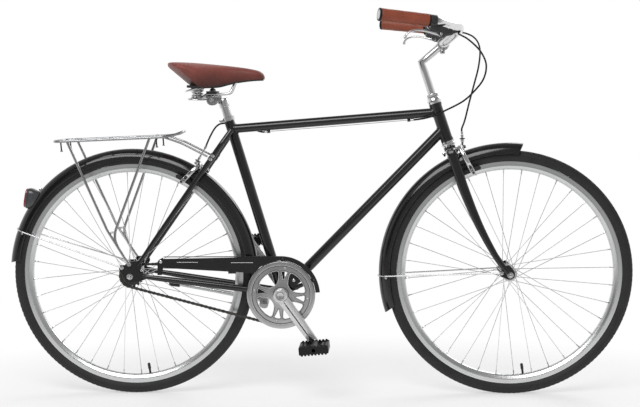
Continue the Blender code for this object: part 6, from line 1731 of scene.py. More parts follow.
def lever_pieces():
    ring = turned([(-0.0092, 0.0117), (-0.0092, 0.015), (-0.008, 0.0163), (0.008, 0.0163),
                   (0.0092, 0.015), (0.0092, 0.0117)], BRACKET_PLACE, GRIP_WAY, 48)
    neck = smooth([
        BRACKET_PLACE + LEVER_DOWN * 0.0105 + GRIP_WAY * 0.002,
        BRACKET_PLACE + LEVER_DOWN * 0.018 - GRIP_WAY * 0.004, by_lever(-0.013, -0.0085),
        by_lever(-0.02, -0.0068),
    ], 5)
    neck = pipe(neck, spread([0.0115, 0.0108, 0.0104, 0.0085], 5), 28,
                spread([0.0085, 0.0092, 0.0098, 0.008], 5), start=LEVER_AXIS, power=0.85)
    barrel = [(-0.033, -0.009), (-0.0318, -0.0088), (-0.027, -0.008), (-0.015, -0.006),
              (-0.004, -0.0046), (-0.0012, -0.0042)]
    barrel = smooth([by_lever(*place) for place in barrel], 4)
    barrel = pipe(barrel, spread([0.0066, 0.008, 0.0092, 0.0106, 0.0104, 0.008], 4), 28,
                  spread([0.0066, 0.008, 0.0092, 0.01, 0.0096, 0.0074], 4), start=LEVER_AXIS,
                  power=0.85)
    body = [ring, neck, barrel]
    for side in (-1, 1):
        sections = []
        for level, shrink in ((0.0051, 0.94), (0.0056, 1.0), (0.0074, 1.0), (0.0081, 0.9)):
            oval = [(0.002 + 0.0118 * math.cos(t) * shrink, 0.0082 * math.sin(t) * shrink)
                    for t in turns(28)]
            sections.append(
                [by_lever(out - 0.004, -0.0015 + down, side * level) for out, down in oval]
            )
        body.append(loft(sections))
    lug = BRACKET_PLACE + LEVER_DOWN * 0.004
    body.append(rod(lug + LEVER_AXIS * 0.0135, lug + LEVER_AXIS * 0.0185, 0.0052, 24, 0.001))
    bolt_at = BRACKET_PLACE + LEVER_DOWN * 0.0165 + GRIP_WAY * 0.0068
    screws = [
        rod(by_lever(0, 0, -0.0092), by_lever(0, 0, 0.0092), 0.0022, 16),
        *[turned(
            [(0.0078, 0.0), (0.0078, 0.0042), (0.0086, 0.0042), (0.0096, 0.0032), (0.0098, 0.0)],
            LEVER_PIVOT, axis, 28
        ) for axis in (LEVER_AXIS, -LEVER_AXIS)],
        rod(bolt_at - LEVER_AXIS * 0.007, bolt_at + LEVER_AXIS * 0.007, 0.0031, 20),
        turned([(0.006, 0.0), (0.006, 0.0048), (0.01, 0.0048), (0.0108, 0.004), (0.0108, 0.0)],
               bolt_at, -LEVER_AXIS, 28),
    ]
    tip, away = CABLE_MOUTH, CABLE_AWAY
    adjuster = [turned([(-0.003, 0.0027), (-0.003, 0.005), (0.001, 0.005), (0.0014, 0.0044),
                        (0.0062, 0.0042), (0.0068, 0.0036), (0.011, 0.0034), (0.0114, 0.0027)], tip,
                       away, 28)]
    for t in turns(14, 0):
        side_way = LEVER_AXIS * math.cos(t) + away.cross(LEVER_AXIS) * math.sin(t)
        adjuster.append(brick(tip + away * 0.0037 + side_way * 0.0043, (0.0022, 0.0004, 0.0004),
                              (away, away.cross(side_way), side_way), 0.0001))
    blade_path = [(-0.002, 0.0), (0.006, 0.0004), (0.014, 0.0), (0.024, -0.0012), (0.037, -0.0026),
                  (0.05, -0.0035), (0.064, -0.0025), (0.075, 0.0), (0.084, 0.004), (0.0905, 0.009),
                  (0.094, 0.0145), (0.0952, 0.019)]
    thick = [0.0052, 0.005, 0.0042, 0.0036, 0.0032, 0.003, 0.0029, 0.0029, 0.0028, 0.0028, 0.0036,
             0.004]
    wide = [0.004, 0.0042, 0.0046, 0.0055, 0.0062, 0.0066, 0.0066, 0.0064, 0.006, 0.0056, 0.0056,
            0.0048]
    blade = pipe(smooth([by_lever(out, down) for out, down in blade_path], 4), spread(thick, 4), 24,
                 spread(wide, 4), start=LEVER_AXIS, power=0.8)
    boss = rod(by_lever(0, 0, -0.0047), by_lever(0, 0, 0.0047), 0.0064, 32, 0.0008)
    knob = ball(by_lever(0.0953, 0.0195), 0.005, steps=12)
    for name, copied in (("right", lambda m: m.copy()), ("left", mirrored)):
        hand, lever = f"brake_bracket_{name}", f"brake_lever_{name}"
        add(f"lever_body_{name}", [copied(m) for m in body], BRACKET, "steering", hand, crease=32)
        add(f"lever_screws_{name}", [copied(m) for m in screws], CHROME, "steering")
        add(f"lever_adjuster_{name}", [copied(m) for m in adjuster], DARK_STEEL_AND_SHADE, "steering")
        add(f"lever_blade_{name}", [copied(m) for m in (blade, boss, knob)], POLISHED, lever, lever,
            crease=40)


handlebar_piece()
grip_pieces(-1, "right")
grip_pieces(1, "left")
lever_pieces()


# Rim brakes

PAD_TURN = {"front": 109.7, "rear": 60.6}
REACH = {"front": 0.022, "rear": 0.0145}
INNER_ARM, OUTER_ARM = 0.004, 0.0115  # how far the two arms lie out on the bolt
ANCHOR_RISE = {"front": 0.004, "rear": 0.002}
PAD_FACE = 0.0145  # from the bike's middle plane
PAD_HALF = 0.004  # half its thickness
PAD_RADIUS = RIM - RIM_DEPTH * 0.24
CABLE_WAY = {"front": Vector((-0.05, 0, 1)).normalized(),
             "rear": Vector((0.51, 0, 0.86)).normalized()}
CABLE_OFFSET = {"front": Vector((0, -0.02, 0.021)), "rear": Vector((0, -0.02, 0.006))}
BRAKE_AXIS = {"front": STEER_AHEAD, "rear": REAR_BRAKE_WAY}
ARM_BODY = {"front": "steering", "rear": "frame"}


def brake_place(which, out=0.0):
    if which == "front":
        return on_steering(FORK - 0.0135, out)
    place = stay_at(BRIDGE_SHARE)
    return Vector((place.x, 0, place.z)) + REAR_BRAKE_WAY * out


def cable_entry(which):
    return brake_place(which, REACH[which] + OUTER_ARM) + CABLE_OFFSET[which]


def cable_end(which):
    """Where the housing stops, over the adjuster."""
    return cable_entry(which) + CABLE_WAY[which] * (0.016 + 0.0009)


def cable_anchor(which):
    """Where the bare wire is clamped to the inner arm."""
    return brake_place(which, REACH[which] + INNER_ARM) - Y * 0.02 + Z * ANCHOR_RISE[which]


def pad_place(which, side):
    return around(AXLES[which], PAD_RADIUS, PAD_TURN[which], side * (PAD_FACE + PAD_HALF))


def brake_arm(which, side, name):
    """A cast arm from the centre bolt out over the fender, and down beside it to a slotted foot."""
    axis = BRAKE_AXIS[which]
    boss = brake_place(which, REACH[which] + (INNER_ARM if side < 0 else OUTER_ARM))
    stud = pad_place(which, side) + Y * side * (PAD_HALF + GAP)
    shoulder = boss + Y * side * 0.026 + Z * 0.001
    elbow, knee = shoulder.lerp(stud, 0.3), shoulder.lerp(stud, 0.66)
    elbow.y = knee.y = side * 0.0392
    foot = stud + Y * side * 0.01
    lay = ((shoulder - stud) * FLAT).normalized()
    end = foot - lay * 0.0115
    path = [boss - Y * side * 0.003, boss + Y * side * 0.012 + Z * 0.0015, shoulder, elbow, knee,
            foot + lay * 0.015, foot, end]
    high = [0.0064, 0.007, 0.0068, 0.0054, 0.0042, 0.0032, 0.003, 0.0024]
    wide = [0.0034, 0.0036, 0.0048, 0.0064, 0.0066, 0.007, 0.0072, 0.0046]
    arm = pipe(smooth(path, 5), spread(high, 5), 28, spread(wide, 5), axis, power=0.75)
    shapes = [
        arm,
        rod(boss - axis * 0.0036, boss + axis * 0.0036, 0.0084 if which == "front" else 0.0062, 40,
            0.0008),
        rod(stud - Y * side * 0.0004, foot, 0.0048, 24, 0.0004),
    ]
    entry, anchor, way = cable_entry(which), cable_anchor(which), CABLE_WAY[which]
    if side > 0:
        shapes.append(pipe([boss, boss.lerp(entry, 0.5), entry], [0.0055, 0.0044, 0.0048], 20,
                           0.0033, axis, power=0.8))
        shapes.append(rod(entry - way * 0.004, entry + way * 0.0035, 0.0052, 24, 0.0006))
    else:
        shapes.append(pipe([boss, boss.lerp(anchor, 0.5), anchor], [0.0055, 0.0045, 0.005], 20,
                           0.0032, axis, power=0.8))
    add(f"{which}_brake_{name}_caliper", shapes, POLISHED, f"{which}_brake_{name}",
        f"{which}_brake_arm_{name}", crease=40)
    # painted shade: the dark patch in the foot's slot and the dark hexagon on the pad bolt's end
    # stand for the shade in the slot and the bolt's socket; the ring on the cable stop is a real
    # dark part
    dark, bright = [], []
    face = foot + Y * side * 0.003
    fore = lay.cross(Y).normalized()
    slot = []
    for t in turns(28):
        slot.append(
            (math.cos(t) * 0.0031, math.sin(t) * 0.0031 + math.copysign(0.0098, math.sin(t)))
        )
    middle = face + lay * 0.002
    dark.append(loft([[middle + fore * a + lay * b + Y * side * level for a, b in slot]
                      for level in (-0.0015, 0.00025)]))
    head = face + Y * side * 0.0002
    bright.append(turned([(0.0, 0.0), (0.0, 0.005), (0.0008, 0.005), (0.0008, 0.0042),
                          (0.004, 0.0042), (0.0046, 0.0036), (0.0046, 0.0)], head, Y * side, 28))
    dark.append(hexagon(head, Y * side, 0.0044, 0.0048, 0.004, 0.0001))
    if side > 0:
        dark.append(turned([(0.0034, 0.003), (0.0034, 0.0074), (0.0042, 0.008), (0.0052, 0.008),
                            (0.006, 0.0074), (0.006, 0.003)], entry, way, 20))
        bright.append(turned([(0.0, 0.0012), (0.0, 0.0034), (0.01, 0.0034), (0.0104, 0.0042),
                              (0.0158, 0.0042), (0.016, 0.0036), (0.016, 0.0012)], entry, way, 28))
        for k in range(4):
            bright.append(turned([(0.0065 + 0.0009 * k, 0.0033), (0.0069 + 0.0009 * k, 0.0037),
                                  (0.0073 + 0.0009 * k, 0.0033)], entry, way, 20))
    else:
        bright.append(turned([(0.003, 0.0), (0.003, 0.0056), (0.004, 0.0056), (0.004, 0.0036),
                              (0.0052, 0.0036), (0.0052, 0.0)], anchor, axis, 28))
        bright.append(hexagon(anchor, axis, 0.005, 0.0088, 0.0082))
    add(f"{which}_brake_{name}_slot", dark, DARK_STEEL_AND_SHADE, f"{which}_brake_{name}")
    add(f"{which}_brake_{name}_bolts", bright, CHROME, f"{which}_brake_{name}")


def brake_pad(which, side, name):
    """The curved block and the holder behind it that its stud stands in."""
    axle = AXLES[which]
    inner, outer = 0.015, 0.0225
    turn = PAD_TURN[which]
    half = math.degrees(0.0262 / PAD_RADIUS)
    shapes = []
    for low, high, tall, share in ((inner, outer - 0.002, 0.0052, 0.955),
                                   (outer - 0.0024, outer + 0.0012, 0.006, 1.0)):
        sections = []
        for k in range(21):
            angle = turn + half * share * (k / 10 - 1)
            end = min(1.0, (10 - abs(k - 10)) / 1.6 + 0.25)
            ring = []
            for t in turns(20):
                c, s = squared(t, 0.45)
                left = (low + high) / 2 + (high - low) / 2 * c
                ring.append(around(axle, PAD_RADIUS + tall * s * end, angle, side * left))
            sections.append(ring)
        shapes.append(loft(sections))
    for k in (-1, 0, 1):
        spot = around(axle, PAD_RADIUS, turn + half * 0.5 * k, side * (inner + 0.0012))
        fore = around(Vector(), 1, turn + half * 0.5 * k + 90)
        shapes.append(brick(spot, (0.001, 0.0012, 0.0048), (fore, Y, fore.cross(Y)), 0.0002))
    shapes.append(turned(
        [(outer, 0.0), (outer, 0.0076), (outer + 0.003, 0.0062), (outer + 0.0032, 0.0)],
        pad_place(which, side) * FLAT, Y * side, 32
    ))
    add(f"{which}_brake_{name}_pad", shapes, PAD, f"{which}_brake_{name}",
        f"{which}_brake_pad_{name}", crease=35)


def brake_bolt(which):
    axis, centre, reach = BRAKE_AXIS[which], brake_place(which), REACH[which]
    behind = -0.017 if which == "front" else -0.0075
    shapes = [
        rod(centre + axis * (behind - 0.006), centre + axis * (reach + 0.02), 0.0029, 20),
        hexagon(centre, axis, behind - 0.0058, behind - 0.0006, 0.0096),
        turned([(behind - 0.0006, 0.003), (behind - 0.0006, 0.0068), (behind + 0.0006, 0.0068),
                (behind + 0.0006, 0.003)], centre, axis, 28),
        hexagon(centre, axis, reach + 0.0158, reach + 0.0198, 0.0096),
        turned([(reach + 0.0198, 0.0), (reach + 0.0198, 0.0046), (reach + 0.0222, 0.004),
                (reach + 0.023, 0.002), (reach + 0.0232, 0.0)], centre, axis, 28),
        turned([(reach - 0.0008, 0.003), (reach - 0.0008, 0.0062), (reach + 0.0002, 0.0062),
                (reach + 0.0002, 0.003)], centre, axis, 28),
    ]
    spacer = 0.0148 if which == "front" else 0.007
    shapes.append(turned(
        [(spacer, 0.003), (spacer, 0.007), (reach - 0.0012, 0.006), (reach - 0.0012, 0.003)],
        centre, axis, 28
    ))
    add(f"{which}_brake_spindle", shapes, CHROME, ARM_BODY[which], f"{which}_brake_bolt")
    springs = []
    for side in (-1, 1):
        root = brake_place(which, reach - 0.0012)
        places = [
            root + Z * 0.005, root + Y * side * 0.008 + Z * 0.007,
            root + Y * side * 0.019 + Z * 0.003, root + Y * side * 0.0285 - Z * 0.01,
            root + Y * side * 0.0318 - Z * 0.022,
        ]
        springs.append(pipe(smooth(places, 5), 0.0011, 10))
    add(f"{which}_brake_spring", springs, SPOKE_STEEL, ARM_BODY[which])


for which in ("front", "rear"):
    for side, name in ((-1, "right"), (1, "left")):
        brake_arm(which, side, name)
        brake_pad(which, side, name)
    brake_bolt(which)


# Brake cables

CABLE = 0.0025  # the housing's radius
INNER_WIRE = 0.0008
FRONT_HOUSING = (
    (0.036, 0.21, 0.032), (0.06, 0.194, 0.039), (0.086, 0.168, 0.03), (0.102, 0.14, 0.014),
    (0.109, 0.115, -0.008), (0.108, 0.09, -0.034), (0.101, 0.06, -0.07), (0.089, 0.032, -0.11),
    (0.074, 0.006, -0.16), (0.06, -0.012, -0.212),
)
REAR_HOUSING = (
    (0.034, 0.206, 0.021), (0.059, 0.18, 0.008), (0.089, 0.15, -0.017), (0.107, 0.12, -0.042),
    (0.114, 0.098, -0.066), (0.109, 0.08, -0.095), (0.093, 0.062, -0.121), (0.056, 0.038, -0.158),
    (0.001, 0.026, -0.187), (-0.022, 0.0225, -0.198), (-0.052, 0.012, -0.2065),
    (-0.078, 0.003, -0.2105),
)


def ferrule(place, way, length=0.009, radius=0.0034):
    return turned([(0.0, 0.0024), (0.0, radius - 0.0004), (0.0004, radius),
                   (length - 0.001, radius), (length, 0.0026)], place, way, 24)


def cable_pieces():
    start, ahead = (CABLE_MOUTH + CABLE_AWAY * GAP) * FLIP, CABLE_AWAY * FLIP
    end, way = cable_end("front"), CABLE_WAY["front"]
    route = [start + ahead * 0.0095, start + ahead * 0.02]
    route += [BAR_CLAMP + Vector(p) for p in FRONT_HOUSING]
    route += [end + way * 0.016, end + way * 0.006]
    add("front_cable_housing", pipe(smooth(route, 7), CABLE, 14), HOUSING, "steering",
        "front_brake_cable", crease=60)
    tail = cable_anchor("front")
    tail_places = [cable_entry("front") - Z * 0.002, tail + BRAKE_AXIS["front"] * 0.006,
                   tail + Vector((0.016, -0.004, -0.03)), tail + Vector((0.026, -0.01, -0.052)),
                   tail + Vector((0.04, -0.012, -0.072))]
    bare = [pipe(smooth(tail_places, 6), INNER_WIRE, 10)]
    caps = [rod(tail_places[-1],
                tail_places[-1] + (tail_places[-1] - tail_places[-2]).normalized() * 0.009, 0.0013,
                14)]
    ends = [ferrule(end + way * 0.0002, way), ferrule(start + ahead * 0.0015, ahead)]
    add("front_cable_ends", ends, CHROME, "steering")
    add("front_cable_cap", caps, CHROME, "front_brake_right")
    add("front_cable_wire", bare, WIRE, "front_brake_right")

    start, ahead = CABLE_MOUTH + CABLE_AWAY * GAP, CABLE_AWAY
    drop = STOP_DROP
    stop, before = on_top_tube(0.87, drop), on_top_tube(0.878, drop)
    route = [start + ahead * 0.0095, start + ahead * 0.02]
    route += [BAR_CLAMP + Vector(p) * FLIP for p in REAR_HOUSING]
    route += [before, stop + (before - stop) * 0.3]
    housing = add("rear_cable_front_housing", pipe(smooth(route, 7), CABLE, 14), HOUSING, None,
                  "rear_brake_cable_front", crease=60)
    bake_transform(housing)
    add("rear_cable_lever_end", ferrule(start + ahead * 0.0015, ahead), CHROME, "steering")

    begin, low = on_top_tube(0.17, drop), on_top_tube(0.162, drop)
    seat = TOP_START
    end, way = cable_end("rear"), CABLE_WAY["rear"]
    beside = TOP_TUBE + CABLE + 0.0012
    over = []
    for share, angle in ((0.15, 12), (0.125, 42), (0.095, 75)):
        t = math.radians(angle)
        over.append(on_top_tube(share, beside * math.cos(t), beside * math.sin(t)))
    route = [
        begin + (low - begin) * 0.3, low, *over, seat + Vector((0.034, 0.0195, 0.004)),
        seat + Vector((0.01, 0.0215, 0.0115)), seat + Vector((-0.014, 0.0215, 0.015)),
        seat + Vector((-0.026, 0.0195, 0.0155)), seat + Vector((-0.0377, 0.015, 0.0128)),
        seat + Vector((-0.0485, 0.007, 0.0028)), seat + Vector((-0.0595, -0.003, -0.0168)),
        seat + Vector((-0.0678, -0.013, -0.0364)), end + way * 0.034,
    ]
    add("rear_cable_housing", pipe(smooth(route, 7), CABLE, 14), HOUSING, "frame",
        "rear_brake_cable_rear", crease=60)
    noodle = [end + way * 0.0335, end + way * 0.03, end + way * 0.02, end + way * 0.012,
              end + way * 0.001]
    metal = [
        pipe(smooth(noodle, 4), 0.0022, 16), ferrule(end + way * 0.028, way, 0.01, 0.0036),
        ferrule(stop - (before - stop).normalized() * 0.001, (before - stop).normalized(), 0.008),
        ferrule(begin + (begin - low).normalized() * 0.001, (low - begin).normalized(), 0.008),
        turned([(0.0, 0.0012), (0.0, 0.0034), (0.004, 0.0034), (0.005, 0.0024), (0.005, 0.0012)],
               end, way, 24),
    ]
    add("rear_cable_metal", metal, CHROME, "frame")
    fore, aft = on_top_tube(0.8505, drop), on_top_tube(0.1903, drop)
    wire = [fore, fore.lerp(aft, 0.5) - Z * 0.0006, aft]
    add("rear_cable_wire", pipe(smooth(wire, 6), INNER_WIRE, 10), WIRE, "frame")


cable_pieces()


# Saddle

SPRING_X = -0.048
SPRING_SIDE = 0.045
SPRING_SEAT = -0.013
SPRING_BASE = SPRING_SEAT + 0.0015 + GAP


def by_clamp(x, left, z):
    return SADDLE + Vector((x, left, z))


CHEEK = by_clamp(-0.006, 0, -0.015)  # the middle of the clamp's toothed joint


def saddle_post():
    low, high = on_seat(0.3825), on_seat(POST_TOP)
    length = (high - low).length
    post = turned([
        (0.0, 0.0), (0.0, 0.012), (0.0008, 0.0127), (length - 0.012, 0.0127),
        (length - 0.006, 0.0121), (length - 0.002, 0.0098), (length, 0.005), (length, 0.0),
    ], low, SEAT_UP, 48)
    add("saddle_post", post, POLISHED, "saddle", "seatpost", crease=40)


def saddle_clamp():
    """The clamp on the post: its toothed round cheeks, the plates on the rails and their bolts."""
    top = on_seat(POST_TOP)
    body = [
        brick(by_clamp(0.001, 0, -0.0125), (0.0185, 0.015, 0.008), edge=0.003),
        brick(by_clamp(-0.002, 0, -0.0066), (0.019, 0.0285, 0.0034), edge=0.0012),
    ]
    for side in (-1, 1):
        cheek = [(0.008, 0.0), (0.008, 0.0135), (0.0096, 0.015), (0.015, 0.015), (0.0168, 0.0136),
                 (0.0172, 0.0)]
        body.append(turned(cheek, CHEEK, Y * side, 40))
        for k in range(28):
            spot = around(CHEEK, 0.0148, 360 * k / 28, side * 0.0155)
            way = (spot - CHEEK) * FLAT
            way.normalize()
            body.append(brick(spot, (0.0006, 0.0018, 0.0008), (way.cross(Y), Y, way), 0.0002))
    collar = turned([(-0.024, 0.0129), (-0.024, 0.014), (-0.0232, 0.0146), (-0.005, 0.0146),
                     (-0.0018, 0.0136), (-0.0006, 0.0129)], top, SEAT_UP, 48)
    add("saddle_clamp_collar", collar, POLISHED, "saddle")
    add("saddle_clamp_body", body, GUNMETAL, "saddle", "seat_clamp", crease=32)
    plate_top = [
        brick(by_clamp(-0.005, 0, 0.0072), (0.015, 0.0292, 0.0026), edge=0.001),
        *both(brick(by_clamp(-0.005, 0.022, 0.0042), (0.015, 0.0052, 0.0028), edge=0.001)),
    ]
    add("saddle_clamp_plate", plate_top, BRACKET, "saddle", crease=32)
    spot = by_clamp(-0.005, 0, 0.0)
    bolts = [
        turned([(0.0098, 0.0), (0.0098, 0.0098), (0.0112, 0.0098), (0.015, 0.0078),
                (0.0176, 0.0044), (0.0184, 0.0)], spot, Z, 36),
        rod(spot - Z * 0.028, spot + Z * 0.011, 0.0042, 24),
        hexagon(spot, -Z, 0.0232, 0.029, 0.013, 0.001),
        turned([(0.0214, 0.0042), (0.0214, 0.0082), (0.023, 0.0082), (0.023, 0.0042)], spot, -Z,
               32),
    ]
    bolts += both(hexagon(CHEEK, Y, 0.017, 0.0218, 0.011),
                  rod(CHEEK + Y * 0.02, CHEEK + Y * 0.0246, 0.0032, 20))
    add("saddle_clamp_bolts", bolts, CHROME, "saddle", crease=30)


def saddle_wires():
    """The rails with the hoops that hold the springs above and below."""
    half = [
        (0.062, 0.01, 0.035), (0.058, 0.013, 0.028), (0.0525, 0.017, 0.015),
        (0.0455, 0.0205, 0.0045), (0.034, 0.022, 0.0012), (0.015, 0.022, 0.001),
        (-0.005, 0.022, 0.001), (-0.02, 0.0222, 0.0004), (-0.028, 0.0245, -0.005),
        (-0.036, 0.03, SPRING_SEAT + 0.002), (-0.044, 0.034, SPRING_SEAT - 0.0006),
    ]
    shapes = both(pipe(smooth([by_clamp(*place) for place in half], 5), 0.0035, 20))
    shapes.append(rod(by_clamp(0.062, -0.013, 0.0345), by_clamp(0.062, 0.013, 0.0345), 0.004, 20))
    hoops = []
    for centre, along, across, tip, size in (
        (by_clamp(SPRING_X + 0.002, SPRING_SIDE, SPRING_SEAT), 0.0215, 0.0145, -0.06, 0.0024),
        (by_clamp(SPRING_X - 0.004, SPRING_SIDE, SPRING_SEAT + 0.029), 0.0225, 0.015, 0.24, 0.0022),
    ):
        ring = []
        for t in turns(40):
            x = along * math.cos(t)
            ring.append(centre + Vector((x, across * math.sin(t), tip * x)))
        hoops += both(pipe(ring, size, 12, closed=True, start=Z))
    hoops.append(rod(by_clamp(SPRING_X - 0.018, -SPRING_SIDE + 0.006, SPRING_SEAT),
                     by_clamp(SPRING_X - 0.018, SPRING_SIDE - 0.006, SPRING_SEAT), 0.0024, 16))
    add("saddle_wire_rails", [*shapes, *hoops], CHROME, "saddle", "saddle_rails",
        crease=50)
    for side, name in ((-1, "right"), (1, "left")):
        places = []
        rise = 0.031 - 0.0042 - 0.0006
        steps = 24
        count = int(4.5 * steps)
        for k in range(count + 1):
            turn = 2 * math.pi * k / steps
            share = k / count
            radius = 0.01 + 0.0012 * math.cos(2 * math.pi * share)
            height = SPRING_BASE + 0.0024 + rise * (share - 0.06 * math.sin(2 * math.pi * share))
            places.append(by_clamp(SPRING_X + radius * math.cos(turn),
                                   side * SPRING_SIDE + radius * math.sin(turn), height))
        base = by_clamp(SPRING_X, side * SPRING_SIDE, SPRING_BASE)
        seats = [
            turned([(-0.0026, 0.0), (-0.0026, 0.0118), (-0.0014, 0.0128), (-0.0002, 0.0128),
                    (-0.0002, 0.007), (0.003, 0.0066), (0.0034, 0.0)], base, Z, 36),
            turned([(0.0276, 0.0), (0.028, 0.0066), (0.0312, 0.007), (0.0312, 0.0126),
                    (0.033, 0.0126), (0.034, 0.0)], base, Z, 36),
            hexagon(base, Z, 0.0028, 0.0062, 0.009),
        ]
        add(f"saddle_coil_{name}", pipe(places, 0.002, 12, start=Z), CHROME, "saddle",
            f"saddle_spring_{name}", crease=60)
        add(f"saddle_coil_{name}_seats", seats, DARK_STEEL_AND_SHADE, "saddle")


# The cover's outline as (x from the clamp, half-width, top of the middle, bottom of the side)
COVER_STATIONS = (
    (-0.1255, 0.034, 0.087, 0.079), (-0.123, 0.054, 0.0908, 0.066), (-0.115, 0.07, 0.0922, 0.05),
    (-0.1015, 0.082, 0.0922, 0.035), (-0.085, 0.0895, 0.0912, 0.0262),
    (-0.066, 0.092, 0.0896, 0.0226), (-0.04, 0.0875, 0.0872, 0.0205), (-0.015, 0.073, 0.085, 0.02),
    (0.01, 0.056, 0.0828, 0.0222), (0.035, 0.0425, 0.0802, 0.0282), (0.06, 0.0345, 0.0774, 0.0335),
    (0.085, 0.03, 0.0742, 0.0372), (0.105, 0.0275, 0.0708, 0.0392), (0.122, 0.025, 0.067, 0.0402),
    (0.133, 0.0215, 0.0625, 0.0405), (0.14, 0.0165, 0.0565, 0.0408),
    (0.1432, 0.0095, 0.0495, 0.042),
)
SIDE_SHAPE = (
    (0.0, 1.0), (0.22, 1.0), (0.42, 0.985), (0.6, 0.955), (0.76, 0.905), (0.885, 0.82),
    (0.965, 0.7), (1.0, 0.555), (0.998, 0.42), (0.982, 0.28), (0.955, 0.14), (0.925, 0.0),
)


def panel_height(x, left):
    """The slanted rear panel's height, above the clamp, over this place."""
    return 0.0788 - (x - 4.6 * left * left + 0.1296) * 0.86


def cover_stations():
    """The cover's outline drawn fine: its stations and the bottoms of their sides."""
    stations = smooth([Vector(s[:3]) for s in COVER_STATIONS], 5)
    return zip(stations, smooth([Vector((s[0], s[3], 0)) for s in COVER_STATIONS], 5))


def cover_rings():
    """Rings of points round the saddle, and how many points lie on the padded side of each."""
    rings = []
    for (x, half, top), low in cover_stations():
        middle_dip = 0.0016 * math.exp(-(((x + 0.045) / 0.06) ** 2))
        corner = max(low.y, panel_height(x, half * 0.93))
        height = max(top - corner, 0.004)
        side = smooth([Vector((0, y, z)) for y, z in SIDE_SHAPE], 2)
        half_ring = []
        for p in side:
            dip = middle_dip * math.exp(-((p.y * half / 0.018) ** 2))
            half_ring.append((p.y * half, corner + height * p.z - dip))
        edge = half_ring[-1]
        half_ring[-1:] = [(edge[0] - 0.0002, edge[1] + 0.0006),
                          (edge[0] - 0.0012, edge[1] - 0.0001)]
        under = []
        for k in range(1, 7):
            share = 1 - k / 6
            left = half_ring[-1][0] * share
            hollow = low.y + 0.004 * min(1.0, (1 - share) * 4)
            z = max(panel_height(x, left), hollow)
            under.append((left, min(z, half_ring[-1][1] + 0.004)))
        padded = len(half_ring)
        right = half_ring + under
        ring = [by_clamp(x, -y, z) for y, z in right]
        ring += [by_clamp(x, y, z) for y, z in reversed(right[1:-1])]
        rings.append(ring)
    return rings, padded


MOST_PUFF = 0.005  # how far the cloth may leave the cover's shape


def saddle_cover():
    """The padded cover, its upper side filled out by air pressure under a cloth with held edges."""
    rings, padded = cover_rings()
    count = len(rings[0])
    mesh = loft(rings)
    body = placed("cover", mesh)
    held = body.vertex_groups.new(name="held")
    places = {}
    for ring in rings:
        for i, p in enumerate(ring):
            around_top = min(i, count - i)
            places[(round(p.x, 5), round(p.y, 5), round(p.z, 5))] = around_top
    rear, nose = rings[0][0].x + 0.006, rings[-1][0].x - 0.006
    rest = [v.co.copy() for v in mesh.vertices]
    for v in mesh.vertices:
        step = places[(round(v.co.x, 5), round(v.co.y, 5), round(v.co.z, 5))]
        free = step < padded - 4 and rear < v.co.x < nose
        near = min(1.0, max(0.0, (padded - 4 - step) / 6)) if free else 0.0
        held.add([v.index], 1.0 - near, "REPLACE")
    cloth = body.modifiers.new("Cloth", "CLOTH")
    settings = cloth.settings
    settings.quality = 6
    settings.mass = 0.3
    settings.tension_stiffness = settings.compression_stiffness = 40
    settings.shear_stiffness = 20
    settings.bending_stiffness = 8
    settings.vertex_group_mass = "held"
    settings.pin_stiffness = 4
    settings.use_pressure = True
    settings.uniform_pressure_force = 4
    settings.effector_weights.gravity = 0
    cloth.collision_settings.use_self_collision = False
    cloth.collision_settings.use_collision = False
    for step in range(1, 21):
        bpy.context.scene.frame_set(step)
    graph = bpy.context.evaluated_depsgraph_get()
    puffed = [v.co.copy() for v in body.evaluated_get(graph).data.vertices]
    body.modifiers.remove(cloth)
    for v, old, new in zip(mesh.vertices, rest, puffed):
        move = new - old
        if move.length > MOST_PUFF:
            move *= MOST_PUFF / move.length
        v.co = old + move
    bpy.context.scene.frame_set(1)
    bpy.data.objects.remove(body)
    cover = add("saddle_leather", mesh, LEATHER_WITH_SHADE, "saddle", "saddle_cover", crease=75, subdivide=1)
    return cover


def saddle_pan():
    """The dark shell under the cover, with the lip that shows below the leather, the cups over the
    springs and a block at the front where the rails end.
    """
    rings = []
    for (x, half, _), low in cover_stations():
        if x < -0.07 or x > 0.1395:
            continue
        half = half * 0.915
        lip = low.y - 0.0022 - 0.0008 * min(1.0, max(0.0, x / 0.08))
        inner = half - 0.005
        points = [(half, lip + 0.003), (half - 0.0004, lip + 0.0004), (half - 0.0014, lip),
                  (half - 0.0034, lip + 0.0002), (inner, lip + 0.0036),
                  (inner * 0.75, lip + 0.0052), (inner * 0.4, lip + 0.0058), (0.0, lip + 0.006)]
        bottom = [by_clamp(x, -y, z) for y, z in points] + [
            by_clamp(x, y, z) for y, z in reversed(points[:-1])
        ]
        rings.append([*bottom, by_clamp(x, half, lip + 0.007), by_clamp(x, -half, lip + 0.007)])
    shapes = [loft(rings)]
    for side in (-1, 1):
        base = by_clamp(SPRING_X, side * SPRING_SIDE, SPRING_BASE + 0.0342)
        shapes.append(rod(base, base + Z * 0.012, 0.0112, 32, 0.001))
    shapes.append(brick(by_clamp(0.062, 0, 0.0405), (0.012, 0.017, 0.0045), edge=0.0015))
    add("saddle_pan_shell", shapes, PAN, "saddle", crease=40)


saddle_post()
saddle_clamp()
saddle_wires()
saddle_cover()
saddle_pan()


# Camera, floor and light

FOCAL = 75.92  # in millimetres, on a sensor 36 mm wide
CAMERA = Vector((0.7572, -3.8226, 0.8806))
CAMERA_RIGHT = Vector((0.99836, 0.05636, -0.01035)).normalized()
CAMERA_AHEAD = Vector((-0.05704, 0.99458, -0.08691)).normalized()
DIM = 0.34  # how bright the room is on the camera's side
ROOF = 0.32  # how bright it is overhead
FLOOR_NEAR = 0.5  # the share of plain white in the floor round the bike, where its shadow falls
FLAG_TURN = 0.72  # a dark screen left of the camera, seen from the bike, in radians
FLAG_HALF = 0.24  # half its width


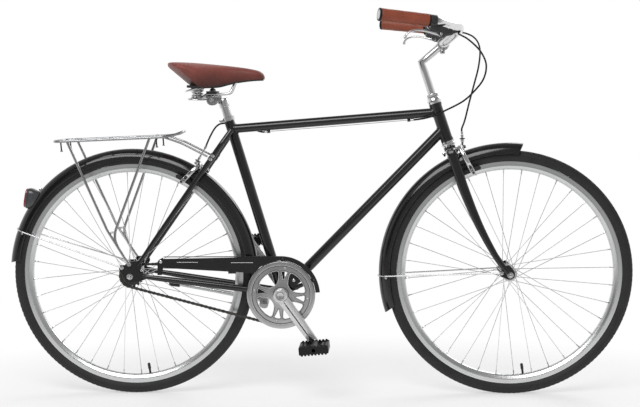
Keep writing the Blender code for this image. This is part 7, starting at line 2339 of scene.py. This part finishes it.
def camera():
    data = bpy.data.cameras.new("camera")
    data.sensor_width = 36.0
    data.lens = FOCAL
    made = placed("camera", data)
    turn = Matrix((CAMERA_RIGHT, CAMERA_RIGHT.cross(CAMERA_AHEAD), -CAMERA_AHEAD)).transposed()
    made.matrix_world = Matrix.Translation(CAMERA - X * CENTRE) @ turn.to_4x4()
    bpy.context.scene.camera = made


def stage():
    bm = bmesh.new()
    bmesh.ops.create_grid(bm, x_segments=1, y_segments=1, size=14)
    mesh = bpy.data.meshes.new("floor")
    bm.to_mesh(mesh)
    bm.free()
    floor = placed("floor", mesh)
    paint = bpy.data.materials.new("floor")
    paint.use_nodes = True
    tree = paint.node_tree
    shader = tree.nodes["Principled BSDF"]
    shader.inputs["Base Color"].default_value = (0.93, 0.93, 0.93, 1)
    shader.inputs["Roughness"].default_value = 0.9
    shader.inputs["Specular IOR Level"].default_value = 0.0
    place = wired(tree, "ShaderNodeTexCoord").outputs["Object"]
    flat = wired(tree, "ShaderNodeVectorMath", {0: place, 1: (1.0, 1.6, 0.0)},
                 operation="MULTIPLY").outputs[0]
    away = wired(tree, "ShaderNodeVectorMath", {0: flat}, operation="LENGTH").outputs["Value"]
    far = mapped(tree, away, 0.75, 1.45, FLOOR_NEAR)
    path = wired(tree, "ShaderNodeLightPath").outputs
    seen = sums(tree, "MAXIMUM", path["Is Camera Ray"], sums(tree, "MAXIMUM", path["Is Glossy Ray"],
                path["Is Transmission Ray"]))
    depth = wired(tree, "ShaderNodeSeparateXYZ", {0: place}).outputs[1]
    tone = mapped(tree, depth, -2.2, -0.5, DIM)
    white = wired(tree, "ShaderNodeEmission", {"Color": tone, "Strength": 1.0}).outputs[0]
    mix = wired(tree, "ShaderNodeMixShader",
                {0: sums(tree, "MULTIPLY", far, seen), 1: shader.outputs[0], 2: white})
    tree.links.new(mix.outputs[0], tree.nodes["Material Output"].inputs["Surface"])
    mesh.materials.append(paint)


def lamp(name, place, aim, size, power):
    data = bpy.data.lights.new(name, "AREA")
    data.shape = "RECTANGLE"
    data.size, data.size_y = size
    data.energy = power
    made = placed(name, data)
    made.location = place
    made.rotation_euler = (Vector(aim) - Vector(place)).to_track_quat("-Z", "Y").to_euler()


def light():
    world = bpy.data.worlds.new("studio")
    bpy.context.scene.world = world
    world.use_nodes = True
    tree = world.node_tree
    back = tree.nodes["Background"]
    way = wired(tree, "ShaderNodeTexCoord").outputs["Generated"]
    parts = wired(tree, "ShaderNodeSeparateXYZ", {0: way}).outputs
    ramp = mapped(tree, parts[2], 0.25, 0.9, 1.0, ROOF)
    side = mapped(tree, parts[1], -0.75, 0.3, DIM)
    turn = sums(tree, "ARCTAN2", parts[0], sums(tree, "MULTIPLY", parts[1], -1.0))
    off = sums(tree, "ABSOLUTE", sums(tree, "ADD", turn, FLAG_TURN))
    flag = mapped(tree, off, FLAG_HALF - 0.05, FLAG_HALF + 0.05, 0.1)
    room = sums(tree, "MULTIPLY", flag, sums(tree, "MULTIPLY", ramp, side))
    tree.links.new(room, back.inputs["Color"])
    back.inputs["Strength"].default_value = 1.0
    lamp("key", (-1.0, -2.8, 3.4), (0, 0, 0.5), (3.2, 2.2), 105)
    lamp("rim", (2.0, 2.4, 2.8), (0, 0, 0.5), (2.4, 1.6), 45)


camera()
stage()
light()
bpy.context.scene.view_settings.view_transform = "Standard"
